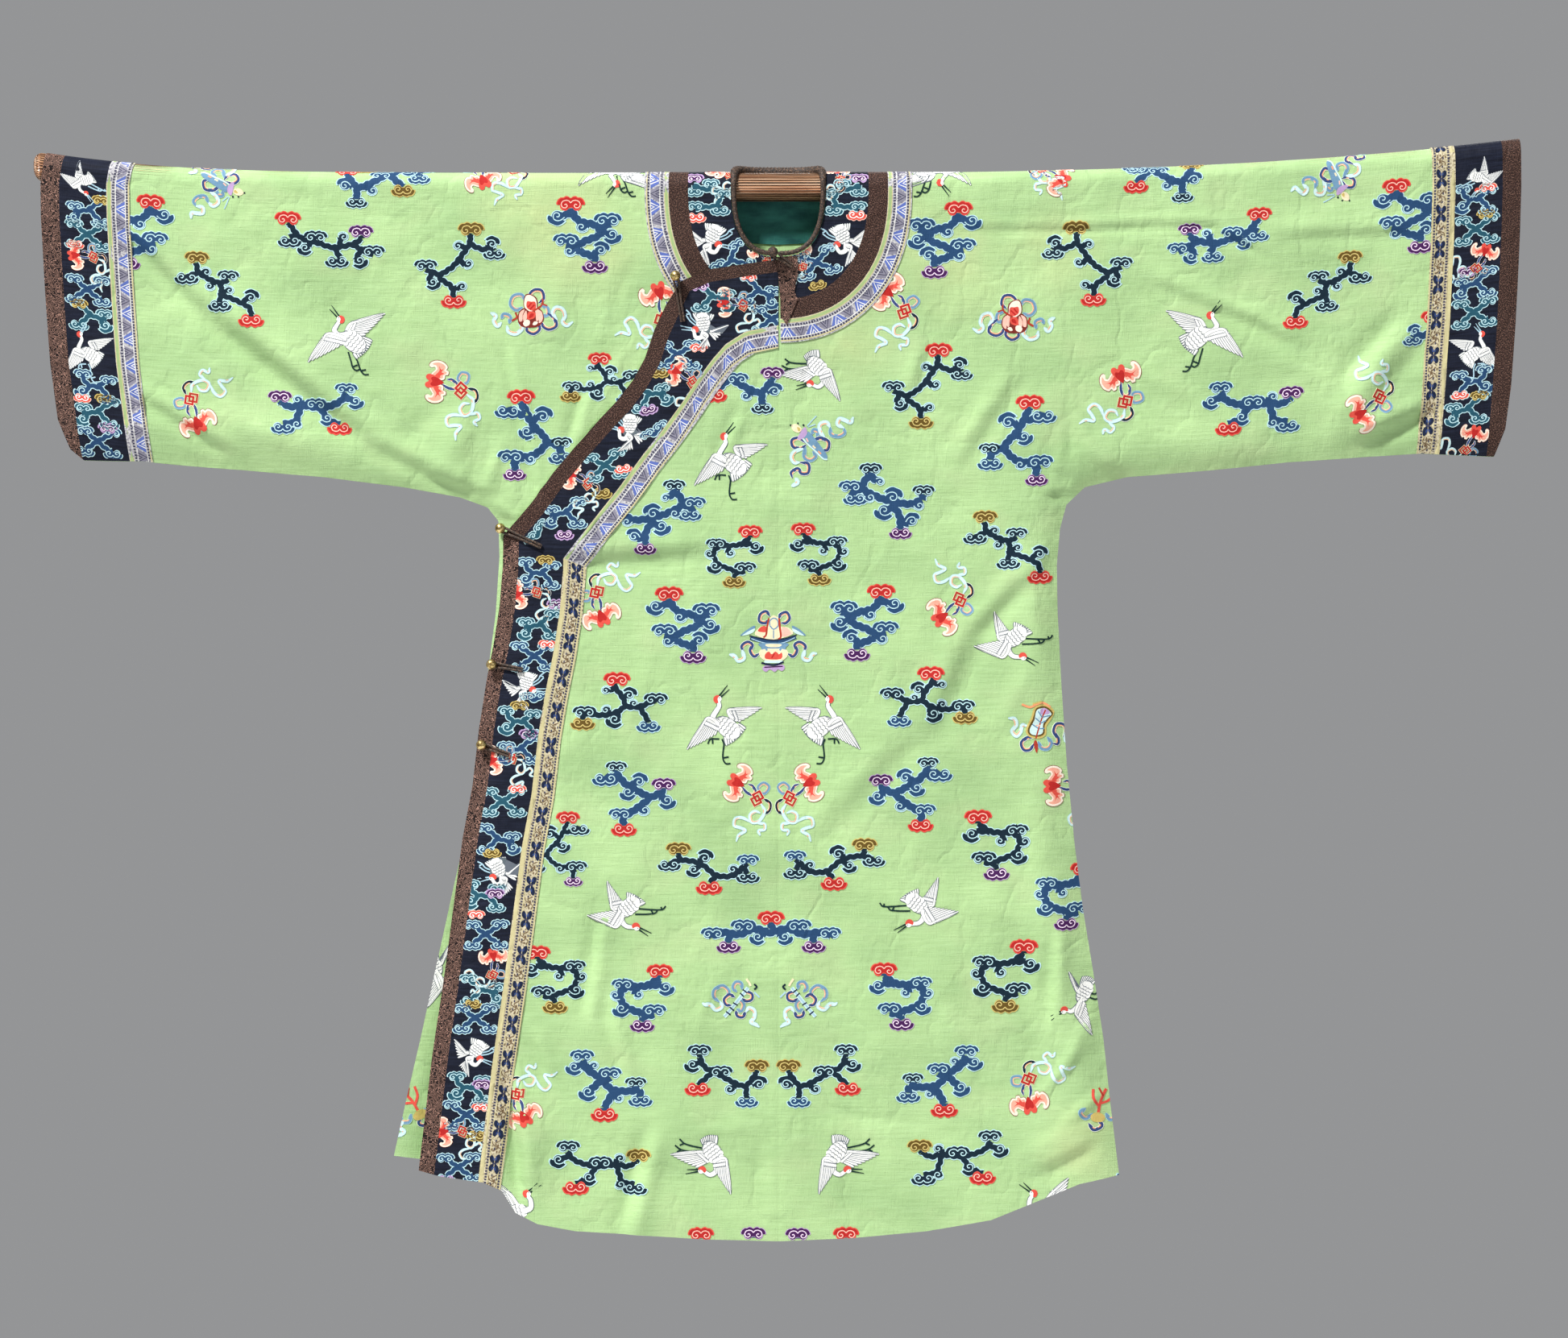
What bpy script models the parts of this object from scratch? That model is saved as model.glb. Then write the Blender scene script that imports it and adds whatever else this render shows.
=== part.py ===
# Woman's robe of apple-green kesi silk, hung flat on a bowed wooden rod that runs through both sleeves.
# The front faces -Y and the wearer's right side is at -X. Z is up.
# The origin is the middle of the rod's section at the neck.
# Sizes are in millimetres and are turned into metres when a mesh is made.

import math

import bpy
import numpy as np
from mathutils.geometry import delaunay_2d_cdt

MM = 0.001

# Driving sizes
ROD_RADIUS = 14.0
ROD_LEFT_END = -806.0
ROD_RIGHT_END = 790.0
ROD_LIFT_RIGHT = 36.0
ROD_LIFT_LEFT = 22.0
CLOTH = 1.2
TRIM = 1.0
GAP = 0.3
ROD_CLEARANCE = 0.4
LAP = 3.0
HANG_DEPTH = 11.0
SEAM_DEPTH = 0.9
SEAM_ROUNDING = 42.0
CREST_STEPS = 4

NECK_HALF_WIDTH = 51.5
NECK_FRONT_DROP = 100.0
NECK_BACK_DROP = 9.0
NECK_WIDEST = 24.0
BINDING_RADIUS = 2.5
BINDING_PROUD = 2.3
BINDING_CLEARANCE = 0.8
BACK_NECK_FLAT = 14.0
BACK_NECK_SPREAD = 38.0
NECK_POINTS = 40
LINING_HALF = 75.0

RING_NAVY = 46.0
RING_EDGING = 21.0
RING_RIBBON = 26.0
CLOSURE_EDGING = 17.0
CLOSURE_NAVY = 48.0
CLOSURE_RIBBON = 25.0
TOP_EDGING = 13.5
CUFF_EDGING = 20.0
CUFF_NAVY = 51.0
CUFF_RIBBON = 25.0
UNDER_EDGE = -6.0
VENT_TOP = -626.0

BALL_RADIUS = 5.5
SHANK_RADIUS = 1.6
SEWN_CLEARANCE = 0.5
LOOP_RADIUS = 1.3

# Spacing of the points that carry the cloth's shape between its seams
GRID = 84.0
FREE_APART = 30.0
MERGE_WITHIN = 0.3

# The cloth bends round the rod on this radius, measured to the middle of its wall.
CREST_RADIUS = ROD_RADIUS + ROD_CLEARANCE + CLOTH / 2
QUARTER = CREST_RADIUS * math.pi / 2

# Places along the rod where its rings stand and the cloth's bend has its points: closer at the neck and
# where the rod bows most.
CREST_STATIONS = [float(x) for x in range(-840, 841, 14) if abs(x) < 72 or abs(x) > 560 and x % 42 == 0 or x % 84 == 0]

# Outlines as seen from the front. Columns: x, z.
LEFT_CUFF = [
    (-791.5, 36.0), (-797.0, 2.0), (-796.5, -34.0), (-792.0, -121.0),
    (-787.0, -191.0), (-779.0, -252.0), (-766.0, -284.0), (-752.0, -296.0),
]
LEFT_SLEEVE_SEAM = [
    (-752.0, -296.0), (-689.0, -297.0), (-580.0, -306.5), (-493.0, -314.0),
    (-406.0, -325.0), (-345.0, -336.0), (-315.0, -347.0), (-303.0, -362.0),
]
LEFT_SIDE_SEAM = [
    (-303.0, -362.0), (-302.0, -400.0), (-306.0, -462.0), (-314.0, -522.0), (-321.0, -600.0), (-325.0, VENT_TOP),
]
LEFT_BACK_VENT = [
    (-325.0, VENT_TOP), (-336.0, -687.0), (-352.0, -757.0), (-371.0, -844.0), (-388.0, -922.0),
    (-402.0, -982.0), (-417.0, -1050.0),
]
UNDER_FRONT_EDGE = [(-325.0, VENT_TOP), (-328.0, -760.0), (-342.0, -900.0), (-352.0, -1030.0)]
UNDER_FRONT_HEM = [(-352.0, -1030.0), (-240.0, -1082.0), (-120.0, -1106.0), (UNDER_EDGE, -1112.0)]
RIGHT_CUFF = [
    (802.0, 52.0), (802.5, 0.0), (801.0, -60.0), (797.0, -147.0),
    (792.0, -217.0), (786.0, -262.0), (775.0, -292.0),
]
RIGHT_SLEEVE_SEAM = [
    (775.0, -292.0), (696.0, -288.5), (639.0, -292.0), (552.0, -298.0),
    (465.0, -307.0), (378.0, -314.0), (332.0, -325.0), (312.0, -344.0), (305.0, -370.0),
]
RIGHT_SIDE_SEAM = [
    (305.0, -370.0), (301.5, -410.0), (302.5, -461.0), (306.5, -539.0), (312.5, -626.0), (321.0, -713.0),
    (330.0, -783.0), (341.0, -850.0), (352.0, -922.0), (359.5, -992.0), (369.0, -1070.0),
]
FRONT_HEM = [
    (-388.5, -1064.0), (-367.0, -1070.0), (-319.0, -1077.0), (-299.0, -1086.0), (-284.0, -1110.0),
    (-260.0, -1122.0), (-220.0, -1129.5), (-160.0, -1133.5), (-80.0, -1138.5), (0.0, -1140.5),
    (80.0, -1137.5), (160.0, -1130.0), (230.0, -1118.0), (282.0, -1097.0), (326.0, -1079.0), (369.0, -1070.0),
]
BACK_HEM = [
    (-417.0, -1050.0), (-372.0, -1056.0), (-310.0, -1078.0), (-240.0, -1102.0), (-160.0, -1120.0),
    (-80.0, -1130.0), (0.0, -1133.0), (80.0, -1130.0), (160.0, -1120.0), (240.0, -1103.0),
    (310.0, -1082.0), (369.0, -1070.0),
]
# The outer edge of the lapping front: along the neck, slanting to the underarm, then down the side.
CLOSURE_TOP = [(0.0, -79.5), (-36.0, -84.5), (-76.0, -90.5), (-105.0, -103.0)]
CLOSURE_SLANT = [
    (-105.0, -103.0), (-121.0, -128.0), (-134.0, -156.0), (-144.0, -186.0), (-157.0, -210.0),
    (-174.0, -232.0), (-193.0, -252.0), (-218.0, -280.0), (-243.0, -309.5), (-267.0, -343.0), (-297.0, -378.0),
]
CLOSURE_SIDE = [
    (-297.0, -378.0), (-297.5, -411.0), (-301.0, -453.0), (-307.5, -495.0), (-316.0, -537.0), (-324.0, -586.0),
    (-331.0, -648.0), (-341.5, -705.0), (-361.5, -856.0), (-374.0, -943.0), (-388.5, -1064.0),
]
# The inner edge of the slanting navy band, from the middle of the front down to the underarm.
NAVY_SLANT_INNER = [
    (0.0, -150.5), (-35.0, -157.0), (-57.0, -171.0), (-71.0, -187.0), (-90.0, -212.5), (-104.0, -234.0),
    (-124.0, -262.0), (-146.0, -290.0), (-173.0, -327.0), (-196.0, -356.0),
]
# The edging's tail, which covers the collar's front end.
END_STRIP = [
    (0.0, -77.5), (20.0, -76.0), (21.5, -93.0), (17.0, -114.0), (21.0, -122.0), (9.0, -151.0), (3.0, -141.0),
]
# Columns: x and z of the middle, turn in degrees from level, length, width, height out, face.
CREASES = [
    (-660.0, -150.0, -52.0, 210.0, 26.0, -3.2, "front"),
    (-622.0, -182.0, -50.0, 190.0, 20.0, 3.6, "front"),
    (-560.0, -262.0, -14.0, 260.0, 20.0, 3.4, "front"),
    (-350.0, -278.0, 62.0, 120.0, 13.0, 3.0, "front"),
    (-392.0, -262.0, 48.0, 130.0, 14.0, -2.6, "front"),
    (-330.0, -300.0, 78.0, 90.0, 9.0, -2.4, "front"),
    (352.0, -288.0, -48.0, 110.0, 12.0, 3.2, "front"),
    (300.0, -318.0, -76.0, 130.0, 12.0, -2.6, "front"),
    (640.0, -236.0, 38.0, 170.0, 26.0, 3.6, "front"),
    (560.0, -262.0, 8.0, 220.0, 18.0, -2.4, "front"),
    (282.0, -470.0, -84.0, 260.0, 16.0, 2.6, "front"),
    (300.0, -820.0, -80.0, 360.0, 17.0, 4.2, "front"),
    (268.0, -880.0, -82.0, 300.0, 15.0, -2.8, "front"),
    (-262.0, -1040.0, -88.0, 210.0, 14.0, 5.0, "front"),
    (-283.0, -1050.0, -88.0, 190.0, 10.0, -3.0, "front"),
    (110.0, -960.0, -86.0, 380.0, 26.0, 3.2, "front"),
    (-95.0, -900.0, 86.0, 420.0, 30.0, 2.6, "front"),
    (10.0, -640.0, 84.0, 360.0, 34.0, -2.0, "front"),
    (610.0, -170.0, -48.0, 210.0, 24.0, 3.4, "back"),
    (-590.0, -230.0, 24.0, 230.0, 22.0, 3.2, "back"),
    (330.0, -300.0, -60.0, 120.0, 12.0, 3.0, "back"),
    (-330.0, -310.0, 64.0, 120.0, 12.0, 3.0, "back"),
    (-210.0, -860.0, 84.0, 420.0, 26.0, 3.6, "back"),
    (150.0, -820.0, -83.0, 400.0, 28.0, 3.4, "back"),
    (250.0, -930.0, -80.0, 300.0, 18.0, -2.4, "back"),
    (-20.0, -900.0, 88.0, 420.0, 34.0, 2.4, "back"),
]
# Columns: name, x and z of the ball, x and z of the loop's tail, what the ball is sewn on,
# how far the loop is raised over a second layer of trim, finish of the ball.
FASTENINGS = [
    ("collar", -6.0, -72.5, 15.0, -87.0, "binding", TRIM + GAP, "brown_cord"),
    ("neck", -111.0, -98.0, -103.0, -147.0, "ring", 0.0, "brass"),
    ("underarm", -300.5, -370.0, -256.0, -390.0, "cloth", 0.0, "brass"),
    ("side_upper", -310.0, -517.0, -276.0, -523.0, "lap", 0.0, "brass"),
    ("side_lower", -321.0, -604.0, -291.0, -615.0, "lap", 0.0, "brass"),
]

# Columns: red, green, blue, roughness, metallic.
FINISHES = {
    "green_kesi": (0.36, 0.60, 0.22, 0.75, 0.0),
    "navy_band": (0.012, 0.018, 0.045, 0.7, 0.0),
    "brown_edging": (0.085, 0.045, 0.032, 0.65, 0.0),
    "ribbon": (0.62, 0.56, 0.38, 0.65, 0.0),
    "teal_lining": (0.012, 0.07, 0.06, 0.6, 0.0),
    "brown_cord": (0.05, 0.03, 0.02, 0.7, 0.0),
    "brass": (0.62, 0.45, 0.16, 0.35, 1.0),
    "varnished_wood": (0.24, 0.09, 0.035, 0.3, 0.0),
}


def clear_scene():
    for thing in list(bpy.data.objects):
        bpy.data.objects.remove(thing, do_unlink=True)


def make_finish(name):
    red, green, blue, roughness, metallic = FINISHES[name]
    finish = bpy.data.materials.new(name)
    finish.use_nodes = True
    shader = finish.node_tree.nodes["Principled BSDF"]
    shader.inputs["Base Color"].default_value = (red, green, blue, 1.0)
    shader.inputs["Roughness"].default_value = roughness
    shader.inputs["Metallic"].default_value = metallic
    return finish


def smooth(t):
    t = min(max(t, 0.0), 1.0)
    return t * t * (3.0 - 2.0 * t)


# The flat cut. A point of it is (x, w): w runs from the shoulder line, down the front if above 0
# and down the back if below 0.


def rod_height(x):
    if x > 0:
        return ROD_LIFT_RIGHT * (x / 800.0) ** 2.6
    return ROD_LIFT_LEFT * (-x / 800.0) ** 6


def to_cut(x, z, face):
    """The point of the cut that is seen at (x, z); face is 1 on the front and -1 on the back."""
    above = z - rod_height(x)
    if above <= 0:
        return (x, face * (QUARTER - above))
    return (x, face * CREST_RADIUS * math.acos(min(1.0, above / CREST_RADIUS)))


def on_front(rows):
    return [to_cut(x, z, 1) for x, z in rows]


def on_back(rows):
    return [to_cut(x, z, -1) for x, z in rows]


def distance_to(line, x, z):
    """The distance from (x, z) to a line of (x, z) rows."""
    nearest = 1e9
    for (ax, az), (bx, bz) in zip(line, line[1:]):
        run, rise = bx - ax, bz - az
        t = ((x - ax) * run + (z - az) * rise) / (run * run + rise * rise)
        t = min(max(t, 0.0), 1.0)
        nearest = min(nearest, math.hypot(x - ax - t * run, z - az - t * rise))
    return nearest


LEFT_SIDE = LEFT_SIDE_SEAM + LEFT_BACK_VENT[1:]
LEFT_SEAM = LEFT_SLEEVE_SEAM + LEFT_SIDE[1:]
RIGHT_SEAM = RIGHT_SLEEVE_SEAM + RIGHT_SIDE_SEAM[1:]


def openness(x, z):
    """0 on a closed seam, 1 away from it. Below the left vent the edges only draw near each other."""
    if x < 0:
        share = min(distance_to(LEFT_SEAM, x, z) / SEAM_ROUNDING, 1.0)
        if x < level_cross(LEFT_SIDE, z):
            share = 0.0
        least = 0.55 * smooth((VENT_TOP - z) / 120.0)
    else:
        share = min(distance_to(RIGHT_SEAM, x, z) / SEAM_ROUNDING, 1.0)
        least = 0.0
    return max(1.0 - (1.0 - share) ** 2, least)


def level_cross(rows, z):
    """The x at which a falling line crosses a height, or far to the left above and below it."""
    for (ax, az), (bx, bz) in zip(rows, rows[1:]):
        if bz <= z <= az and az != bz:
            return ax + (bx - ax) * (z - az) / (bz - az)
    return -2000.0


def crease_height(x, z, face):
    total = 0.0
    for cx, cz, turn, length, width, height, where in CREASES:
        if (where == "front") != (face > 0):
            continue
        angle = math.radians(turn)
        along = (x - cx) * math.cos(angle) + (z - cz) * math.sin(angle)
        across = (z - cz) * math.cos(angle) - (x - cx) * math.sin(angle)
        if abs(along) < length / 2:
            total += height * math.cos(math.pi * along / length) ** 2 * math.exp(-((across / width) ** 2))
    return total


def cloth_point(x, w, lapped):
    """Where a point of the cut hangs: the middle of the wall. lapped is for the lapping front."""
    face = 1.0 if w > 0 else -1.0
    reach = abs(w)
    if reach <= QUARTER:
        angle = reach / CREST_RADIUS
        y = -face * CREST_RADIUS * math.sin(angle)
        z = rod_height(x) + CREST_RADIUS * math.cos(angle)
        lift = back_neck_lift(x, w)
        up_y = CREST_RADIUS - max(w, 0.0)
        up_z = rod_height(x) + QUARTER + min(w, 0.0)
        return (x, y + (up_y - y) * lift, z + (up_z - z) * lift)
    z = rod_height(x) - (reach - QUARTER)
    below = reach - QUARTER
    depth = CREST_RADIUS + (HANG_DEPTH - CREST_RADIUS) * smooth(below / 240.0)
    free = openness(x, z)
    depth = SEAM_DEPTH + (depth - SEAM_DEPTH) * free
    depth += crease_height(x, z, face) * min(1.0, free * 1.3) * smooth(below / 60.0)
    if face > 0:
        depth += LAP * lap_share(x, z, lapped)
    return (x, -face * depth, z)


def back_neck_lift(x, w):
    """At the back of the neck the cloth stands straight up instead of bending over the rod."""
    share = min(max((abs(x) - BACK_NECK_FLAT) / BACK_NECK_SPREAD, 0.0), 1.0)
    return 0.5 * (1.0 + math.cos(math.pi * share)) * (1.0 - smooth(w / 20.0))


def lap_share(x, z, lapped):
    """1 on the lapping front, easing to 0 across the wearer's left front, and 0 on the front beneath."""
    started = smooth((-z - 25.0) / 45.0)
    if lapped:
        return started
    if x < -0.5:
        return 0.0
    return started * (1.0 - smooth(x / 70.0))


# Outlines of the cut pieces, in (x, w).


def neck_curve(grow):
    """The neck opening grown by this much. It starts at the middle of the front and runs round by +X."""
    points = []
    for i in range(NECK_POINTS):
        turn = 2.0 * math.pi * (i + 0.5) / NECK_POINTS
        across, along = math.sin(turn), math.cos(turn)
        power = 2.6 if along > 0 else 4.0
        half = NECK_FRONT_DROP - NECK_WIDEST if along > 0 else NECK_WIDEST + NECK_BACK_DROP
        size = (abs(across) ** power + abs(along) ** power) ** (-1.0 / power)
        points.append((NECK_HALF_WIDTH * across * size, NECK_WIDEST + half * along * size))
    moved = []
    for i, (x, w) in enumerate(points):
        before, after = points[i - 1], points[(i + 1) % NECK_POINTS]
        run, rise = unit(after[0] - before[0], after[1] - before[1])
        moved.append((x - grow * rise, w + grow * run) if x * -rise + (w - NECK_WIDEST) * run > 0
                     else (x + grow * rise, w - grow * run))
    return moved


def unit(run, rise):
    size = math.hypot(run, rise)
    return (run / size, rise / size)


def square_off(rows, widths):
    """A line of (x, z) rows moved to its left, seen from the front, by one width for each row."""
    moved = []
    last = len(rows) - 1
    for i, ((x, z), width) in enumerate(zip(rows, widths)):
        before, after = rows[max(i - 1, 0)], rows[min(i + 1, last)]
        into = unit(x - before[0], z - before[1]) if i > 0 else unit(after[0] - x, after[1] - z)
        out = unit(after[0] - x, after[1] - z) if i < last else into
        nx, nz = unit(-(into[1] + out[1]), into[0] + out[0])
        square = nx * -into[1] + nz * into[0]
        moved.append((x + width * nx / square, z + width * nz / square))
    return moved


def longer(rows, by):
    """The line with its last stretch made longer."""
    (ax, az), (bx, bz) = rows[-2:]
    run, rise = unit(bx - ax, bz - az)
    return rows[:-1] + [(bx + run * by, bz + rise * by)]


def cuff_line(cuff, shift):
    """The cuff's edge moved along the sleeve, from below the front seam over the shoulder line to the back."""
    straight = longer(cuff[:-2], 90.0)
    front = on_front([(x + shift, z) for x, z in straight[1:]])
    back = on_back([(x + shift, z) for x, z in straight[1:]])
    return front[::-1] + [(cuff[0][0] + shift, 0.0)] + back


CLOSURE = CLOSURE_TOP + CLOSURE_SLANT[1:] + CLOSURE_SIDE[1:]
CORNER = len(CLOSURE_TOP) + len(CLOSURE_SLANT) - 2
TOP_ROWS = len(CLOSURE_TOP)
EDGING_WIDTHS = [TOP_EDGING] * TOP_ROWS + [CLOSURE_EDGING] * (len(CLOSURE) - TOP_ROWS)


def closure_lines():
    """The lines between the closure's trims as (x, z) rows, on the slant and on the side."""
    edging = square_off(CLOSURE, EDGING_WIDTHS)
    edging[0] = (0.0, edging[0][1])
    navy = square_off(CLOSURE, [CLOSURE_EDGING + CLOSURE_NAVY] * len(CLOSURE))
    ribbon = square_off(CLOSURE, [CLOSURE_EDGING + CLOSURE_NAVY + CLOSURE_RIBBON] * len(CLOSURE))
    navy_slant = NAVY_SLANT_INNER + [navy[CORNER]]
    ribbon_slant = square_off(navy_slant, [CLOSURE_RIBBON] * len(navy_slant))
    ribbon_slant[0] = (0.0, ribbon_slant[0][1])
    ribbon_slant[-1] = ribbon[CORNER]
    return {
        "edging_top": edging[:TOP_ROWS],
        "edging_slant": edging[TOP_ROWS - 1:CORNER + 1],
        "edging_side": longer(edging[CORNER:], 60.0),
        "navy_slant": navy_slant,
        "navy_side": longer(navy[CORNER:], 60.0),
        "ribbon_slant": ribbon_slant,
        "ribbon_side": longer(ribbon[CORNER:], 60.0),
    }


def panel_outlines():
    """The three panels of the robe, as closed outlines in (x, w)."""
    neck = neck_curve(0.0)
    half = NECK_POINTS // 2
    right_neck, left_neck = neck[:half], neck[half:]
    left_side = LEFT_SLEEVE_SEAM + LEFT_SIDE_SEAM[1:]
    right_side = RIGHT_SLEEVE_SEAM + RIGHT_SIDE_SEAM[1:]
    left = on_front([(UNDER_EDGE, -76.0)] + UNDER_FRONT_HEM[::-1])
    left += on_front(UNDER_FRONT_EDGE[::-1][1:])
    left += on_front(left_side[::-1][1:])
    left += on_front(LEFT_CUFF[::-1][1:])
    left += on_back(LEFT_CUFF[1:])
    left += on_back(left_side[1:] + LEFT_BACK_VENT[1:])
    left += on_back([row for row in BACK_HEM[1:] if row[0] <= 0.0])
    left += [(0.0, neck[half][1])] + [p for p in left_neck if p[0] < UNDER_EDGE or p[1] < 0.0]
    right = [(0.0, neck[0][1])] + right_neck + [(0.0, neck[half][1])]
    right += on_back([row for row in BACK_HEM if row[0] >= 0.0])
    right += on_back(right_side[::-1][1:])
    right += on_back(RIGHT_CUFF[::-1][1:])
    right += on_front(RIGHT_CUFF[1:])
    right += on_front(right_side[1:])
    right += on_front([row for row in FRONT_HEM[::-1][1:] if row[0] >= 0.0])
    lap = on_front(CLOSURE + [row for row in FRONT_HEM[1:] if row[0] <= 0.0])
    return {"left": left, "right": right, "lap": lap}


def trim_outlines():
    """Every trim: its name, the panels that it lies on, its outline in (x, w) and its finish."""
    lines = closure_lines()
    neck = neck_curve(0.0)
    brown = neck_curve(RING_NAVY)
    ribbon = neck_curve(RING_NAVY + RING_EDGING)
    outside = neck_curve(RING_NAVY + RING_EDGING + RING_RIBBON)
    both = ("left", "right")
    trims = [
        ("collar_band", both, ring(neck, brown), "navy_band"),
        ("collar_edging", both, ring(brown, ribbon), "brown_edging"),
        ("collar_ribbon", both, ring(ribbon, outside), "ribbon"),
    ]
    slant = CLOSURE[TOP_ROWS - 1:CORNER + 1]
    side = longer(CLOSURE[CORNER:], 60.0)
    on_lap = [
        ("closure_edging_top", CLOSURE_TOP, lines["edging_top"], "brown_edging"),
        ("closure_edging_slant", slant, lines["edging_slant"], "brown_edging"),
        ("closure_edging_side", side, lines["edging_side"], "brown_edging"),
        ("closure_band_slant", lines["edging_top"] + lines["edging_slant"][1:], lines["navy_slant"], "navy_band"),
        ("closure_band_side", lines["edging_side"], lines["navy_side"], "navy_band"),
        ("closure_ribbon_slant", lines["navy_slant"], lines["ribbon_slant"], "ribbon"),
        ("closure_ribbon_side", lines["navy_side"], lines["ribbon_side"], "ribbon"),
    ]
    for name, outer, inner, finish in on_lap:
        trims.append((name, ("lap",), on_front(outer + inner[::-1]), finish))
    for side_name, panel, cuff, into in (("left", "left", LEFT_CUFF, 1.0), ("right", "right", RIGHT_CUFF, -1.0)):
        steps = (-30.0, CUFF_EDGING, CUFF_EDGING + CUFF_NAVY, CUFF_EDGING + CUFF_NAVY + CUFF_RIBBON)
        edges = [cuff_line(cuff, into * step) for step in steps]
        for kind, near, far, finish in (
            ("edging", edges[0], edges[1], "brown_edging"),
            ("band", edges[1], edges[2], "navy_band"),
            ("ribbon", edges[2], edges[3], "ribbon"),
        ):
            trims.append((f"cuff_{kind}_{side_name}", (panel,), near + far[::-1], finish))
    return trims


def ring(inner, outer):
    """The outline of a band round the neck, open at the middle of the front."""
    return inner + outer[::-1]


# The whole cut is divided into triangles once, so that layers that lie on each other have the same facets.


def inside(outline, points):
    """Whether each point lies inside a closed outline."""
    x, w = points[:, 0], points[:, 1]
    within = np.zeros(len(points), bool)
    for (ax, aw), (bx, bw) in zip(outline, outline[1:] + outline[:1]):
        if aw == bw:
            continue
        crosses = (aw > w) != (bw > w)
        within ^= crosses & (x < ax + (bx - ax) * (w - aw) / (bw - aw))
    return within


def seam_rows(seam, face):
    """Points along a seam, a few steps in from it, where the cloth rounds to meet the other side."""
    inward = 1.0 if seam[0][0] < 0 else -1.0
    rows = []
    for step in (10.0, 25.0, SEAM_ROUNDING):
        line = square_off(seam, [inward * step] * len(seam))
        for (ax, az), (bx, bz) in zip(line, line[1:]):
            pieces = max(1, round(math.hypot(bx - ax, bz - az) / 80.0))
            for i in range(pieces):
                t = i / pieces
                rows.append(to_cut(ax + (bx - ax) * t, az + (bz - az) * t, face))
    return rows


def crease_points():
    points = []
    for cx, cz, turn, length, width, _, where in CREASES:
        angle = math.radians(turn)
        face = 1 if where == "front" else -1
        pieces = max(2, round(length / 75.0))
        for i in range(pieces + 1):
            along = (i / pieces - 0.5) * length * 0.8
            for across in (-1.2 * width, 0.0, 1.2 * width):
                x = cx + along * math.cos(angle) - across * math.sin(angle)
                z = cz + along * math.sin(angle) + across * math.cos(angle)
                points.append(to_cut(x, z, face))
    return points


def fastening_points():
    """Points under each button and loop, so that the cloth's facets are true there."""
    points = []
    for _, x, z, tail_x, tail_z, *_ in FASTENINGS:
        for t in (0.0, 0.5, 1.0):
            px, pz = x + (tail_x - x) * t, z + (tail_z - z) * t
            points += [to_cut(px, pz + side, 1) for side in (-9.0, 0.0, 9.0)]
    return points


def divide_cut(panels, trims, extra_outlines):
    """The points (x, w) and the triangles of the whole cut."""
    points, edges = [], []

    def add_line(line, closed):
        first = len(points)
        points.extend(line)
        edges.extend((first + i, first + i + 1) for i in range(len(line) - 1))
        if closed:
            edges.append((first + len(line) - 1, first))

    for outline in list(panels.values()) + [trim[2] for trim in trims] + extra_outlines:
        add_line(outline, True)
    for step in range(-CREST_STEPS, CREST_STEPS + 1):
        w = QUARTER * step / CREST_STEPS
        add_line([(x, w) for x in CREST_STATIONS], False)
    free = []
    fitted = spread_out(fastening_points(), np.array(points), np.array(edges), 3.0, 7.0)
    for face in (1, -1):
        free += seam_rows(LEFT_SEAM, face) + seam_rows(RIGHT_SEAM, face)
        row = 0
        w = QUARTER + 34.0
        while w < 1150.0:
            start = -805.0 + (row % 2) * GRID / 2
            free += [(start + i * GRID, face * w) for i in range(int(1610 / GRID) + 1)]
            w += GRID * 0.87
            row += 1
    free += crease_points()
    free = spread_out(fitted + free, np.array(points), np.array(edges), 5.0, FREE_APART, len(fitted))
    points += free
    out = delaunay_2d_cdt(points, edges, [], 0, MERGE_WITHIN)
    return np.array([tuple(p) for p in out[0]]), np.array([list(t) for t in out[2]])


def spread_out(free, fixed, edges, off_lines, apart, kept_first=0):
    """The free points that are not too near a line or an earlier free point, after those kept as they are."""
    starts, ends = fixed[edges[:, 0]], fixed[edges[:, 1]]
    runs = ends - starts
    sizes = np.maximum((runs**2).sum(axis=1), 1e-9)
    kept = list(free[:kept_first])
    for x, w in free[kept_first:]:
        at = np.array((x, w))
        t = np.clip(((at - starts) * runs).sum(axis=1) / sizes, 0.0, 1.0)
        off = np.hypot(*(at - starts - runs * t[:, None]).T).min()
        if off < off_lines or kept and np.hypot(*(np.array(kept) - at).T).min() < apart:
            continue
        kept.append((x, w))
    return kept


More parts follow.
